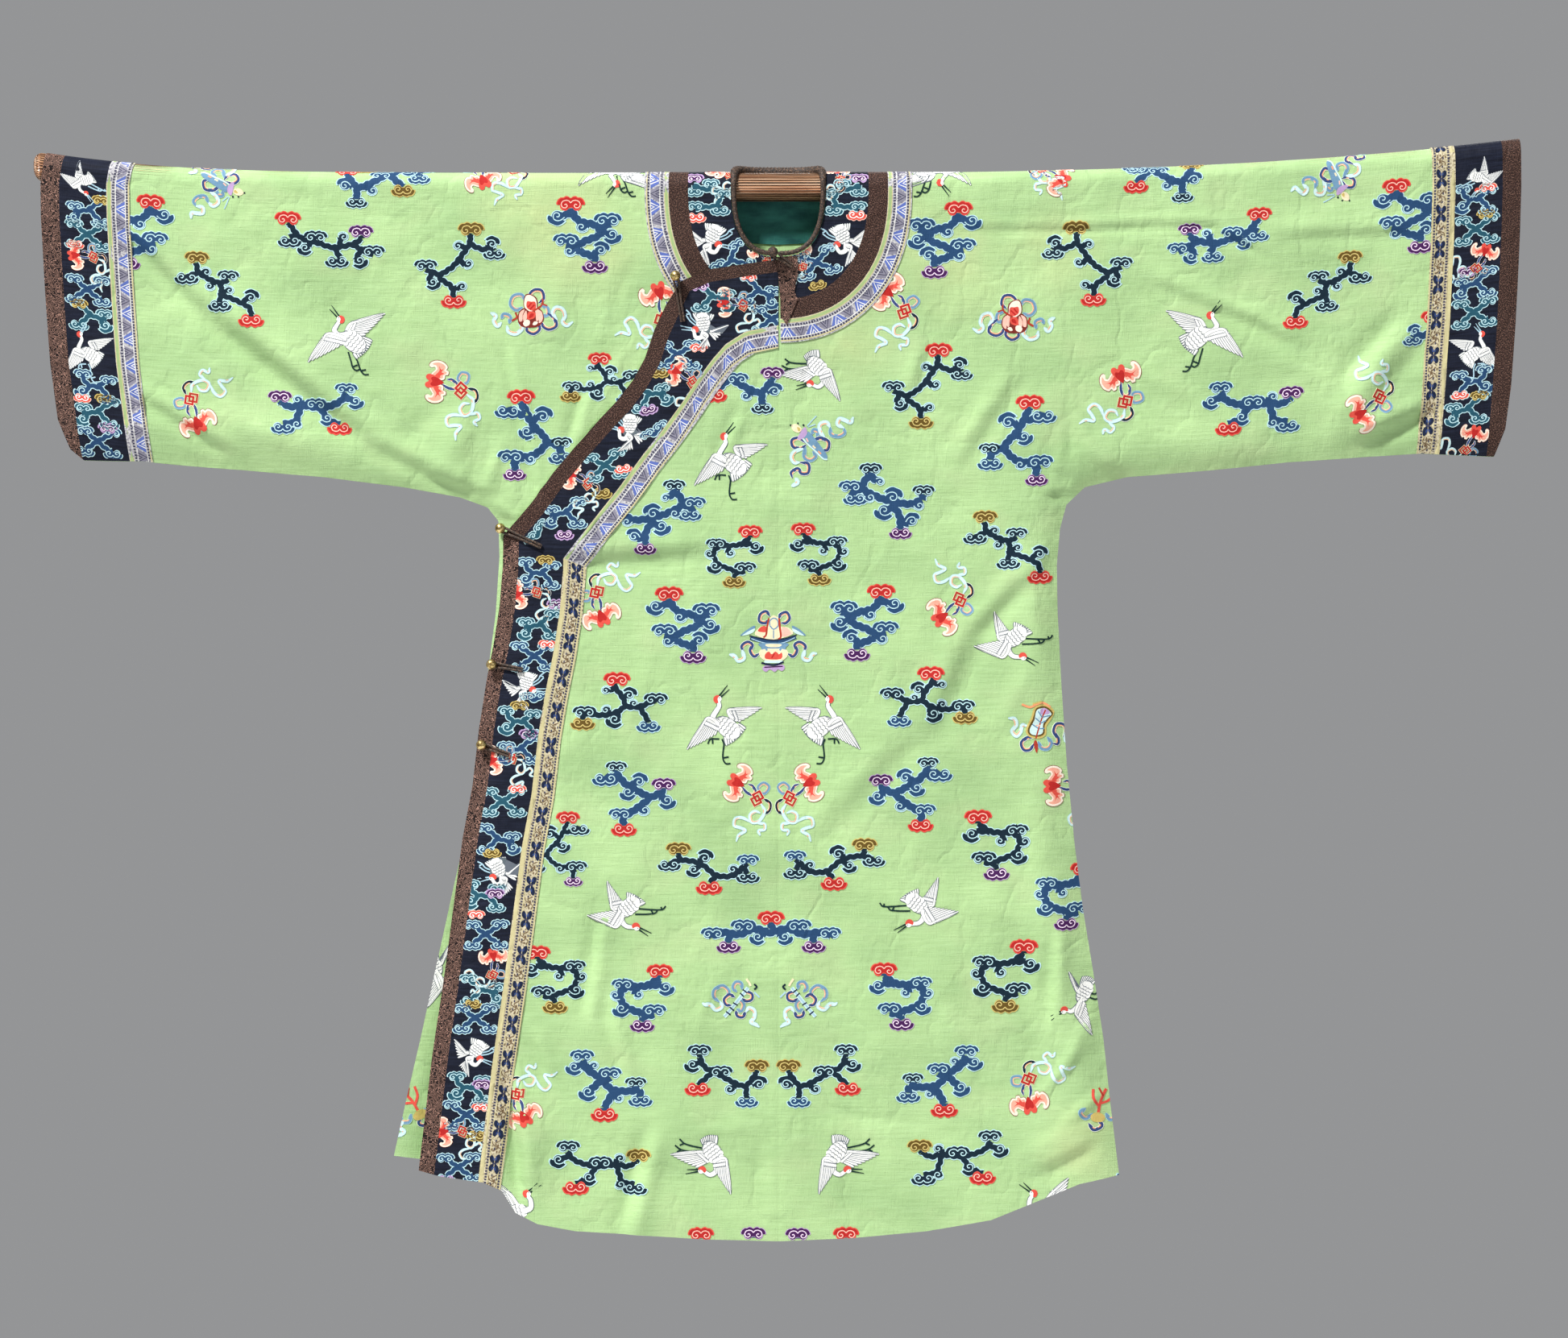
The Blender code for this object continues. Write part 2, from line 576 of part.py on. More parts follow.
class Cut:
    """The divided cut with the hanging place and the outward direction of each of its points."""

    def __init__(self):
        self.panels = panel_outlines()
        self.trims = trim_outlines()
        self.lining = lining_outline()
        self.strip = on_front(END_STRIP)
        self.points, self.triangles = divide_cut(self.panels, self.trims, [self.lining, self.strip])
        middles = self.points[self.triangles].mean(axis=1)
        self.middles = middles
        a, b, c = (self.points[self.triangles[:, k]] for k in range(3))
        turn = (b[:, 0] - a[:, 0]) * (c[:, 1] - a[:, 1]) - (b[:, 1] - a[:, 1]) * (c[:, 0] - a[:, 0])
        self.triangles[turn < 0] = self.triangles[turn < 0][:, ::-1]
        self.of_panel = {name: inside(line, middles) for name, line in self.panels.items()}
        hanging = self.of_panel["left"] | self.of_panel["right"]
        self.outward = {
            False: self.directions(hanging, False),
            True: self.directions(self.of_panel["lap"], True),
        }

    def places(self, points, lapped):
        return np.array([cloth_point(x, w, lapped) for x, w in points])

    def directions(self, chosen, lapped):
        """The outward direction at each point, from the triangles round it."""
        places = self.places(self.points, lapped)
        triangles = self.triangles[chosen]
        a, b, c = (places[triangles[:, k]] for k in range(3))
        faces = np.cross(c - a, b - a)
        total = np.zeros_like(places)
        for k in range(3):
            np.add.at(total, triangles[:, k], faces)
        return total / np.maximum(np.linalg.norm(total, axis=1), 1e-9)[:, None]

    def solid(self, name, finish, chosen, lapped, low, high):
        """A wall over the chosen triangles, from low to high above the middle of the panel's wall."""
        triangles = self.triangles[chosen]
        used, triangles = np.unique(triangles, return_inverse=True)
        triangles = triangles.reshape(-1, 3)
        flat = self.points[used]
        edges = np.concatenate([triangles[:, [0, 1]], triangles[:, [1, 2]], triangles[:, [2, 0]]])
        known = {tuple(edge) for edge in edges}
        rim = [edge for edge in known if (edge[1], edge[0]) not in known]
        flat = pulled_in(flat, rim)
        places = self.places(flat, lapped)
        outward = self.outward[lapped][used]
        count = len(used)
        points = np.concatenate([places + outward * high, places + outward * low])
        faces = [tuple(triangle[::-1]) for triangle in triangles]
        faces += [tuple(triangle + count) for triangle in triangles]
        faces += [(a, b, b + count, a + count) for a, b in rim]
        return make_mesh(name, points, faces, finish)


def pulled_in(flat, rim):
    """The points with those of the rim moved inwards by half a seam's gap."""
    turn = {}
    for a, b in rim:
        run, rise = unit(*(flat[b] - flat[a]))
        for end in (a, b):
            turn.setdefault(end, []).append((-rise, run))
    moved = flat.copy()
    for end, sides in turn.items():
        if len(sides) != 2:
            continue
        nx, nw = sides[0][0] + sides[1][0], sides[0][1] + sides[1][1]
        size = math.hypot(nx, nw)
        if size < 0.2:
            continue
        square = max(size / 2.0, 0.5)
        moved[end] += np.array((nx, nw)) / size * (GAP / 2 / square)
    return moved


def lining_outline():
    """The teal facing inside the back of the neck, pointed at its lower edge."""
    top, low, point = -8.0, -57.0, -61.0
    rows = [(-LINING_HALF, top), (LINING_HALF, top), (LINING_HALF, low), (0.0, point), (-LINING_HALF, low)]
    return on_back(rows)


def make_mesh(name, points, faces, finish):
    mesh = bpy.data.meshes.new(name)
    mesh.from_pydata([tuple(float(v) * MM for v in p) for p in points], [],
                     [tuple(int(i) for i in face) for face in faces])
    mesh.shade_smooth()
    mesh.set_sharp_from_angle(angle=math.radians(40.0))
    mesh.materials.append(finish)
    thing = bpy.data.objects.new(name, mesh)
    bpy.context.scene.collection.objects.link(thing)
    return thing


def make_tube(name, path, radii, sides, finish):
    """A round body through rings about a path, closed by a flat end on each side."""
    path = np.array(path, float)
    points, faces = [], []
    guide = np.array((0.0, 1.0, 0.0))
    for i, (at, radius) in enumerate(zip(path, radii)):
        ahead = path[min(i + 1, len(path) - 1)] - path[max(i - 1, 0)]
        ahead /= np.linalg.norm(ahead)
        first = np.cross(ahead, guide)
        first /= np.linalg.norm(first)
        second = np.cross(ahead, first)
        for k in range(sides):
            turn = 2.0 * math.pi * k / sides
            points.append(at + radius * (first * math.cos(turn) + second * math.sin(turn)))
    for i in range(len(path) - 1):
        for k in range(sides):
            a, b = i * sides + k, i * sides + (k + 1) % sides
            faces.append((a, b, b + sides, a + sides))
    faces.append(tuple(range(sides))[::-1])
    faces.append(tuple(range(len(points) - sides, len(points))))
    return make_mesh(name, points, faces, finish)


def make_rod(finish):
    """The bowed rod, with its ends turned to a dome."""
    dome = ((0.0, 0.45), (1.5, 0.72), (4.5, 0.92), (9.0, 1.0))
    rings = [(ROD_LEFT_END + into, share) for into, share in dome]
    rings += [(x, 1.0) for x in CREST_STATIONS if ROD_LEFT_END + 12.0 < x < ROD_RIGHT_END - 12.0]
    rings += [(ROD_RIGHT_END - into, share) for into, share in dome[::-1]]
    path = [(x, 0.0, rod_height(x)) for x, _ in rings]
    return make_tube("hanging_rod", path, [ROD_RADIUS * share for _, share in rings], 4 * CREST_STEPS, finish)


def make_binding(finish):
    """The braided roll that finishes the neck's edge, proud of the rod and open at the middle of the front."""
    path = []
    for x, w in neck_curve(-(BINDING_RADIUS + BINDING_CLEARANCE)):
        at = np.array(cloth_point(x, w, False))
        along = np.array(cloth_point(x + 0.5, w, False)) - cloth_point(x - 0.5, w, False)
        down = np.array(cloth_point(x, w + 0.5, False)) - cloth_point(x, w - 0.5, False)
        outward = np.cross(down, along)
        path.append(at + outward / np.linalg.norm(outward) * BINDING_PROUD)
    return make_tube("neck_binding", path, [BINDING_RADIUS] * len(path), 8, finish)


def make_button(name, x, z, sewn_at, centre, radius, finish):
    """A ball with its shank, turned about an axis that points to the front."""
    shape = [(sewn_at, SHANK_RADIUS), (centre - radius * 0.93, SHANK_RADIUS)]
    for turn in (-50.0, -25.0, 0.0, 25.0, 50.0, 75.0):
        angle = math.radians(turn)
        shape.append((centre + radius * math.sin(angle), radius * math.cos(angle)))
    path = [(x, -depth, z) for depth, _ in shape]
    points, faces, sides = [], [], 10
    for (px, py, pz), (_, ring_radius) in zip(path, shape):
        for k in range(sides):
            turn = 2.0 * math.pi * k / sides
            points.append((px + ring_radius * math.cos(turn), py, pz + ring_radius * math.sin(turn)))
    for i in range(len(path) - 1):
        for k in range(sides):
            a, b = i * sides + k, i * sides + (k + 1) % sides
            faces.append((a, b, b + sides, a + sides))
    faces.append(tuple(range(sides))[::-1])
    faces.append(tuple(range(len(points) - sides, len(points))))
    return make_mesh(name, points, faces, finish)


def front_depth(x, z, lapped, reach):
    """How far the front stands out at (x, z): the most within a small reach of it."""
    near = [(0.0, 0.0), (reach, 0.0), (-reach, 0.0), (0.0, reach), (0.0, -reach)]
    return max(-cloth_point(*to_cut(x + dx, z + dz, 1), lapped)[1] for dx, dz in near)


def make_fastenings(finishes):
    on_trim = CLOTH / 2 + GAP + TRIM + SEWN_CLEARANCE
    for name, x, z, tail_x, tail_z, sewn_on, over, finish in FASTENINGS:
        bare = front_depth(x, z, False, SHANK_RADIUS)
        lapped = front_depth(x, z, True, SHANK_RADIUS)
        sewn_at = {
            "ring": bare + on_trim,
            "cloth": bare + CLOTH / 2 + SEWN_CLEARANCE,
            "lap": lapped + on_trim,
            "binding": bare + BINDING_PROUD + BINDING_RADIUS + SEWN_CLEARANCE,
        }[sewn_on]
        loop_over = on_trim + over + LOOP_RADIUS
        centre = lapped + loop_over + LOOP_RADIUS + GAP + BALL_RADIUS
        make_button(f"{name}_button", x, z, sewn_at, centre, BALL_RADIUS, finishes[finish])
        run, rise = unit(tail_x - x, tail_z - z)
        length = math.hypot(tail_x - x, tail_z - z)
        bend = SHANK_RADIUS + GAP + LOOP_RADIUS
        flat = []
        for along, across in ((length, 1.6), (length * 0.55, 1.7), (bend + 2.5, 2.6)):
            flat.append((x + run * along - rise * across, z + rise * along + run * across))
        for turn in (90.0, 130.0, 180.0, 230.0, 270.0):
            angle = math.radians(turn)
            along, across = bend * math.cos(angle), bend * math.sin(angle)
            flat.append((x + run * along - rise * across, z + rise * along + run * across))
        for along, across in ((bend + 2.5, -2.6), (length * 0.55, -1.7), (length, -1.6)):
            flat.append((x + run * along - rise * across, z + rise * along + run * across))
        path = [(px, -(front_depth(px, pz, True, LOOP_RADIUS) + loop_over), pz) for px, pz in flat]
        make_tube(f"{name}_loop", path, [LOOP_RADIUS] * len(path), 6, finishes["brown_cord"])


def build():
    clear_scene()
    finishes = {name: make_finish(name) for name in FINISHES}
    cut = Cut()
    half = CLOTH / 2
    cut.solid("half_wearers_right", finishes["green_kesi"], cut.of_panel["left"], False, -half, half)
    cut.solid("half_wearers_left", finishes["green_kesi"], cut.of_panel["right"], False, -half, half)
    cut.solid("front_overlap", finishes["green_kesi"], cut.of_panel["lap"], True, -half, half)
    low = half + GAP
    for name, panels, outline, finish in cut.trims:
        carried = np.any([cut.of_panel[panel] for panel in panels], axis=0)
        chosen = carried & inside(outline, cut.middles)
        cut.solid(name, finishes[finish], chosen, panels == ("lap",), low, low + TRIM)
    above = low + TRIM + GAP
    chosen = cut.of_panel["right"] & inside(cut.strip, cut.middles)
    cut.solid("closure_edging_end", finishes["brown_edging"], chosen, False, above, above + TRIM)
    backs = (cut.of_panel["left"] | cut.of_panel["right"]) & (cut.middles[:, 1] < 0.0)
    chosen = backs & inside(cut.lining, cut.middles)
    cut.solid("neck_facing", finishes["teal_lining"], chosen, False, -low - TRIM, -low)
    make_binding(finishes["brown_cord"])
    make_fastenings(finishes)
    make_rod(finishes["varnished_wood"])


build()
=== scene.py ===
# Woman's kesi robe hung on a bowed rod. Sizes here are millimetres until a mesh is made.
# The front faces -Y, the wearer's right side is at -X, and the rod's middle at the neck is the origin.

import math

import bpy
import numpy as np
from mathutils.geometry import delaunay_2d_cdt
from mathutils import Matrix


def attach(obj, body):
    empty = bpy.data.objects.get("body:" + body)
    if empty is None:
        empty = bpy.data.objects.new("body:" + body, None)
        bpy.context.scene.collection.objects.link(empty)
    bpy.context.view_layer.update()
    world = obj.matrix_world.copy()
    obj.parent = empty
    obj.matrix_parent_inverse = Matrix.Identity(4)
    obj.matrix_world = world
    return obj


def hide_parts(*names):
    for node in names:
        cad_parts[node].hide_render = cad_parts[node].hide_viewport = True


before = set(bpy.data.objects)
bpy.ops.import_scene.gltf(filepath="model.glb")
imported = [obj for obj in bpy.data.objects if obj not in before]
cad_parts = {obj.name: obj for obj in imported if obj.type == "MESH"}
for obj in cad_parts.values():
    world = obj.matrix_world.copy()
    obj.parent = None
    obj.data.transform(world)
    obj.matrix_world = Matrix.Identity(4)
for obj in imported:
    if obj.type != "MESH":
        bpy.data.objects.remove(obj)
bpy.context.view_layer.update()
bpy.ops.object.select_all(action="DESELECT")

# Camera, light and floor
studio = {
    "viewWidth": 1695, "viewCentre": (6.1, -522), "cameraAway": 5200, "clothFront": 12, "sensor": 36,
    # each light's place, size and power
    "lights": {
        "key": ((-3.9, -4.3, 7.2), 1, 1440), "fill": ((2.4, -3.2, 0.2), 2.4, 12),
        "back": ((0.8, 2.8, 1.4), 2, 60)},
    "aim": (0, 0, -0.5), "skyColour": (0.9, 0.91, 0.93), "skyStrength": 0.33,
    "floorDrop": 1750, "floorHalf": 2.6, "floorColour": (0.78, 0.78, 0.77),
}


def addCamera():
    lens = bpy.data.cameras.new("camera")
    lens.sensor_width = studio["sensor"]
    lens.lens = studio["sensor"] * studio["cameraAway"] / studio["viewWidth"]
    lens.clip_end = 60
    camera = bpy.data.objects.new("camera", lens)
    bpy.context.scene.collection.objects.link(camera)
    x, z = studio["viewCentre"]
    camera.location = (x / 1000, -(studio["cameraAway"] + studio["clothFront"]) / 1000, z / 1000)
    camera.rotation_euler = (math.pi / 2, 0, 0)
    bpy.context.scene.camera = camera


def addLight(name, place, size, power):
    lamp = bpy.data.lights.new(name, "AREA")
    lamp.size = size
    lamp.energy = power
    light = bpy.data.objects.new(name, lamp)
    bpy.context.scene.collection.objects.link(light)
    light.location = place
    way = light.location.copy()
    way.x, way.y, way.z = (aim - at for aim, at in zip(studio["aim"], place))
    light.rotation_euler = way.to_track_quat("-Z", "Y").to_euler()


def addStudio():
    world = bpy.data.worlds.new("studio")
    world.use_nodes = True
    sky = world.node_tree.nodes["Background"]
    sky.inputs["Color"].default_value = (*studio["skyColour"], 1)
    sky.inputs["Strength"].default_value = studio["skyStrength"]
    bpy.context.scene.world = world
    bpy.context.scene.view_settings.view_transform = "Standard"
    for name, row in studio["lights"].items():
        addLight(name, *row)
    drop = studio["floorDrop"] / 1000
    bpy.ops.mesh.primitive_plane_add(size=2 * studio["floorHalf"], location=(0, 0, -drop))
    floor = bpy.context.object
    floor.name = "floor"
    floor.data.materials.append(newFinish("pale_floor", studio["floorColour"], 0.85)[0])
    floor.select_set(False)


# Finishes
silkColours = {
    "cloudDark": (0.0055, 0.019, 0.034), "cloudBlue": (0.019, 0.062, 0.15),
    "cloudTeal": (0.018, 0.088, 0.13), "lineBlue": (0.5, 0.74, 0.78), "paleBlue": (0.4, 0.6, 0.7),
    "silkWhite": (0.9, 0.9, 0.86), "whiteSilk": (0.62, 0.82, 0.8), "featherGrey": (0.12, 0.15, 0.17),
    "featherLine": (0.13, 0.15, 0.18), "coral": (0.72, 0.085, 0.06), "deepRed": (0.48, 0.02, 0.018),
    "brick": (0.42, 0.045, 0.024), "pink": (0.88, 0.41, 0.3), "rose": (0.9, 0.52, 0.42),
    "wingEdge": (0.92, 0.8, 0.66), "cream": (0.86, 0.75, 0.5), "gold": (0.6, 0.46, 0.14),
    "goldDark": (0.13, 0.078, 0.014), "goldLine": (0.66, 0.52, 0.18), "plum": (0.06, 0.012, 0.085),
    "lilac": (0.5, 0.34, 0.58), "pinkWhite": (0.88, 0.7, 0.86), "legGreen": (0.007, 0.03, 0.026),
    "orange": (0.84, 0.34, 0.16), "slate": (0.16, 0.3, 0.44), "ribbonNavy": (0.035, 0.065, 0.19),
    "navyLine": (0.01, 0.018, 0.05), "brownLine": (0.2, 0.025, 0.018), "ribbonInk": (0.05, 0.05, 0.09),
    "ribbonBlue": (0.11, 0.16, 0.46), "ribbonWhite": (0.8, 0.79, 0.76), "ribbonGrey": (0.24, 0.23, 0.29),
    "ribbonBrown": (0.16, 0.1, 0.05), "selvedge": (0.6, 0.54, 0.29), "pipingGreen": (0.36, 0.48, 0.21),
}


def newFinish(name, colour, roughness, sheen=0):
    finish = bpy.data.materials.new(name)
    finish.use_nodes = True
    tree = finish.node_tree
    shader = tree.nodes["Principled BSDF"]
    values = {"Base Color": (*colour, 1), "Roughness": roughness, "Sheen Weight": sheen}
    for key, value in values.items():
        shader.inputs[key].default_value = value
    return finish, tree, shader


def isSocket(source):
    return hasattr(source, "is_linked")


# Adds a node with its properties and inputs. Each row sets one more input: (socket or value, input).
def addNode(tree, kind, rows=(), **values):
    node = tree.nodes.new(kind)
    for key, value in values.items():
        if key in node.bl_rna.properties:
            setattr(node, key, value)
        else:
            node.inputs[key.replace("_", " ")].default_value = value
    for source, target in rows:
        if isSocket(source):
            tree.links.new(source, node.inputs[target])
        else:
            node.inputs[target].default_value = source
    return node


def mathNode(tree, kind, *sources):
    rows = [(source, place) for place, source in enumerate(sources)]
    return addNode(tree, "ShaderNodeMath", rows, operation=kind).outputs[0]


def addBump(tree, shader, rows, strength, distance):
    bump = addNode(tree, "ShaderNodeBump", rows, Strength=strength, Distance=distance)
    tree.links.new(bump.outputs["Normal"], shader.inputs["Normal"])


# Coordinates stretched by a scale: of the flat cut, where U runs across and V along it, or of the object.
def stretched(tree, scale, flat=True):
    if flat:
        where = addNode(tree, "ShaderNodeUVMap", uv_map="cut").outputs[0]
    else:
        where = addNode(tree, "ShaderNodeTexCoord").outputs["Object"]
    return addNode(tree, "ShaderNodeMapping", [(where, "Vector")], Scale=scale).outputs["Vector"]


def noiseNode(tree, scale, detail=3, flat=True):
    where = stretched(tree, scale, flat)
    return addNode(tree, "ShaderNodeTexNoise", [(where, "Vector")], Scale=1, Detail=detail).outputs["Fac"]


# Crumples of the worn silk: soft dents, and creases where a second noise crosses its middle.
crumple = {"dents": (24, 17, 1), "creases": (10, 7, 1), "sharp": 0.035, "share": 5, "depth": 0.0032}
# How fine the woven ribs, the loose slubs and the warp are, and how much they show.
threads = {"ribs": (70, 1300, 1), "slubs": (16, 360, 1), "warp": (900, 70, 1), "strength": 0.5,
           "gloss": 0.16}


# Weft ribs across, finer warp marks and loose slubs, as bump on the crumples.
def addWeave(tree, shader, depth):
    across = mathNode(tree, "ADD", noiseNode(tree, threads["ribs"], 2), noiseNode(tree, threads["slubs"]))
    weave = mathNode(tree, "ADD", across, noiseNode(tree, threads["warp"], 1))
    away = mathNode(tree, "SUBTRACT", noiseNode(tree, crumple["creases"], 4), 0.5)
    crease = mathNode(tree, "MINIMUM", mathNode(tree, "ABSOLUTE", away), crumple["sharp"])
    height = mathNode(tree, "MULTIPLY_ADD", crease, crumple["share"], noiseNode(tree, crumple["dents"], 5))
    dents = addNode(tree, "ShaderNodeBump", [(height, "Height")], Distance=crumple["depth"])
    addBump(tree, shader, [(weave, "Height"), (dents.outputs[0], "Normal")], threads["strength"], depth)
    shader.inputs["Specular IOR Level"].default_value = threads["gloss"]


def silkFinish(name):
    finish, tree, shader = newFinish(name, silkColours[name], 0.72)
    addWeave(tree, shader, 0.0005)
    return finish


def rampNode(tree, source, stops):
    ramp = addNode(tree, "ShaderNodeValToRGB", [(source, "Fac")])
    marks = ramp.color_ramp.elements
    while len(marks) < len(stops):
        marks.new(0.5)
    for mark, (place, colour) in zip(marks, stops):
        mark.position = place
        mark.color = (*colour, 1)
    return ramp.outputs["Color"]


def mixNode(tree, share, first, second, kind="MIX"):
    first, second = (source if isSocket(source) else (*source, 1) for source in (first, second))
    rows = [(share, 0), (first, 6), (second, 7)]
    return addNode(tree, "ShaderNodeMix", rows, data_type="RGBA", blend_type=kind).outputs[2]


greenCloth = {
    "light": (0.475, 0.69, 0.335), "middle": (0.44, 0.645, 0.3), "dull": (0.4, 0.595, 0.268),
    # the darker end of the mottle is partly the silk's own wear and partly painted shade standing in for the
    # cloth's soft shading
    "stain": (0.56, 0.6, 0.28), "faded": (0.47, 0.6, 0.3), "worn": (0.79, 0.82, 0.79),
    "fresh": (1.04, 1.03, 1.02),
    # where the silk has yellowed: x, z, reach
    "stains": [(190, -85, 75), (300, -70, 60), (-205, -60, 80), (70, -170, 60),
               (120, -40, 60), (-260, -30, 90), (330, -1040, 60)],
    "stainDepth": -0.014,
}


def greenFinish():
    finish, tree, shader = newFinish("greenKesi", greenCloth["middle"], 0.74, sheen=0.05)
    ground = rampNode(tree, noiseNode(tree, (24, 340, 1), 4), [
        (0.25, greenCloth["dull"]), (0.5, greenCloth["middle"]), (0.78, greenCloth["light"])])
    # Darker patches at random: partly wear, partly painted shade in place of the soft shading of the folds
    wearAndShade = rampNode(tree, noiseNode(tree, (8, 11, 1), 5),
                    [(0.32, greenCloth["worn"]), (0.66, greenCloth["fresh"])])
    colour = mixNode(tree, 1, ground, wearAndShade, "MULTIPLY")
    fade = addNode(tree, "ShaderNodeMapRange", [(noiseNode(tree, (11, 16, 1), 4), "Value")],
                   From_Min=0.52, From_Max=0.8, To_Max=0.7)
    colour = mixNode(tree, fade.outputs[0], colour, greenCloth["faded"])
    place = addNode(tree, "ShaderNodeTexCoord").outputs["Object"]
    patchy = noiseNode(tree, (24, 34, 1), 4)
    for x, z, reach in greenCloth["stains"]:
        middle = (x / 1000, greenCloth["stainDepth"], z / 1000)
        away = addNode(tree, "ShaderNodeVectorMath", [(place, 0), (middle, 1)], operation="DISTANCE")
        share = addNode(tree, "ShaderNodeMapRange", [(away.outputs["Value"], "Value")],
                        From_Max=reach / 1000, To_Min=0.8, To_Max=0)
        colour = mixNode(tree, mathNode(tree, "MULTIPLY", share.outputs[0], patchy), colour,
                         greenCloth["stain"])
    tree.links.new(colour, shader.inputs["Base Color"])
    addWeave(tree, shader, 0.0007)
    return finish


# A finish whose colour runs along a ramp with a noise, which is given back too.
def rampedFinish(name, colour, roughness, scale, detail, stops, flat=True):
    finish, tree, shader = newFinish(name, colour, roughness)
    grain = noiseNode(tree, scale, detail, flat)
    tree.links.new(rampNode(tree, grain, stops), shader.inputs["Base Color"])
    return finish, tree, shader, grain


# Silks of one colour: colour, roughness, the noise's scale and detail, and the ramp.
groundSilks = {
    "navySilk": ((0.01, 0.014, 0.03), 0.7, (30, 400, 1), 3,
                 [(0.35, (0.0045, 0.006, 0.014)), (0.7, (0.012, 0.016, 0.034))]),
    "ribbonSilk": ((0.42, 0.41, 0.44), 0.68, (420, 420, 1), 2,
                   [(0.36, (0.15, 0.14, 0.18)), (0.46, (0.42, 0.41, 0.44)), (0.64, (0.62, 0.61, 0.6))]),
    "ribbonCream": ((0.5, 0.43, 0.27), 0.68, (420, 420, 1), 2,
                    [(0.36, (0.15, 0.12, 0.09)), (0.46, (0.5, 0.43, 0.27)), (0.64, (0.68, 0.61, 0.44))]),
    "tealSilk": ((0.04, 0.2, 0.165), 0.7, (26, 60, 1), 4,
                 [(0.35, (0.014, 0.085, 0.078)), (0.65, (0.04, 0.2, 0.165))]),
}


def groundFinish(name):
    finish, tree, shader, grain = rampedFinish(name, *groundSilks[name])
    addWeave(tree, shader, 0.0005)
    return finish


brocade = {
    "ground": (0.01, 0.006, 0.006), "shade": (0.05, 0.024, 0.018), "curl": (0.34, 0.19, 0.145),
    "thread": (0.2, 0.11, 0.08), "curlSize": 165, "bendSize": 150, "bend": 0.014,
    # where the leaves, the dark between them and the threads lie on the ramps
    "leaf": [(0.06, "ground"), (0.09, "curl"), (0.14, "curl"), (0.17, "ground"), (0.27, "ground"),
             (0.31, "thread"), (0.36, "ground")],
    "grain": [(0.38, "ground"), (0.54, "shade"), (0.66, "thread")],
}


# Figured silk: curling leaves on a dark ground, or a fine twill where curlShare is low.
def brocadeFinish(name, curlShare):
    finish, tree, shader = newFinish(name, brocade["shade"], 0.66)
    leafStops, grainStops = ([(place, brocade[tone]) for place, tone in brocade[key]]
                             for key in ("leaf", "grain"))
    where = stretched(tree, (1, 1, 1))
    bend = addNode(tree, "ShaderNodeTexNoise", [(where, "Vector")], Scale=brocade["bendSize"], Detail=1)
    push = addNode(tree, "ShaderNodeVectorMath", [(bend.outputs["Color"], 0)], operation="SCALE",
                   Scale=brocade["bend"])
    bent = addNode(tree, "ShaderNodeVectorMath", [(where, 0), (push.outputs[0], 1)], operation="ADD")
    curls = addNode(tree, "ShaderNodeTexVoronoi", [(bent.outputs[0], "Vector")], Scale=brocade["curlSize"],
                    feature="DISTANCE_TO_EDGE")
    leaf = rampNode(tree, curls.outputs["Distance"], leafStops)
    grain = rampNode(tree, noiseNode(tree, (850, 850, 1), 2), grainStops)
    tree.links.new(mixNode(tree, curlShare, grain, leaf), shader.inputs["Base Color"])
    addWeave(tree, shader, 0.0006)
    return finish


def cordFinish():
    finish, tree, shader, fine = rampedFinish("brownCord", (0.045, 0.026, 0.018), 0.7, (700, 700, 700), 2, [
        (0.4, (0.014, 0.009, 0.007)), (0.55, (0.06, 0.034, 0.022)), (0.7, (0.2, 0.12, 0.075))], False)
    addBump(tree, shader, [(fine, "Height")], 0.6, 0.0006)
    return finish


def brassFinish():
    finish, tree, shader, worn = rampedFinish("dulledBrass", (0.66, 0.48, 0.19), 0.34, (420, 420, 420), 3, [
        (0.38, (0.2, 0.13, 0.05)), (0.52, (0.62, 0.46, 0.18)), (0.7, (0.84, 0.7, 0.38))], False)
    rough = addNode(tree, "ShaderNodeMapRange", [(worn, "Value")], To_Min=0.55, To_Max=0.22)
    tree.links.new(rough.outputs[0], shader.inputs["Roughness"])
    shader.inputs["Metallic"].default_value = 1
    return finish


def woodFinish():
    # The grain is the wood's own, but its tones are lifted well above the wood's own colour as painted
    # highlight of the varnish, all along the rod.
    stops = [(0.34, (0.22, 0.08, 0.034)), (0.5, (0.62, 0.32, 0.17)), (0.68, (0.88, 0.62, 0.42))]
    finish, tree, shader, grain = rampedFinish("varnishedRod", (0.22, 0.075, 0.03), 0.26, (7, 240, 240), 5,
                                               stops, False)
    addBump(tree, shader, [(grain, "Height")], 0.25, 0.0005)
    shader.inputs["Coat Weight"].default_value = 0.9
    shader.inputs["Coat Roughness"].default_value = 0.22
    return finish


# The cut and the way it hangs, with the same sizes as the solids
rod = {
    "radius": 14, "leftEnd": -806, "rightEnd": 790, "liftRight": 36, "liftLeft": 22, "sides": 32,
    "rounding": 8,
}
hang = {
    "wall": 1.2, "rodClearance": 0.4, "lap": 3, "depth": 11, "seamDepth": 0.9, "seamRounding": 42,
    "backNeckFlat": 14, "backNeckSpread": 38, "ventTop": -626, "ventReach": 120, "ventFree": 0.55,
    "underEdge": -6, "underTop": -76, "seamDip": 0.5, "seamReach": 2.5, "settle": 240, "foldStart": 60,
    "lapStart": 25, "lapReach": 45, "lapFade": 70, "backSeed": 50,
}
neck = {
    "halfWidth": 51.5, "frontDrop": 100, "backDrop": 9, "widest": 24, "points": 96, "frontPower": 2.6,
    "backPower": 4,
}
widths = {
    "ringNavy": 46, "ringEdging": 21, "ringRibbon": 26, "edging": 17, "navy": 48, "ribbon": 25,
    "topEdging": 13.5, "cuffEdging": 20, "cuffNavy": 51, "cuffRibbon": 25, "piping": 5.2,
}
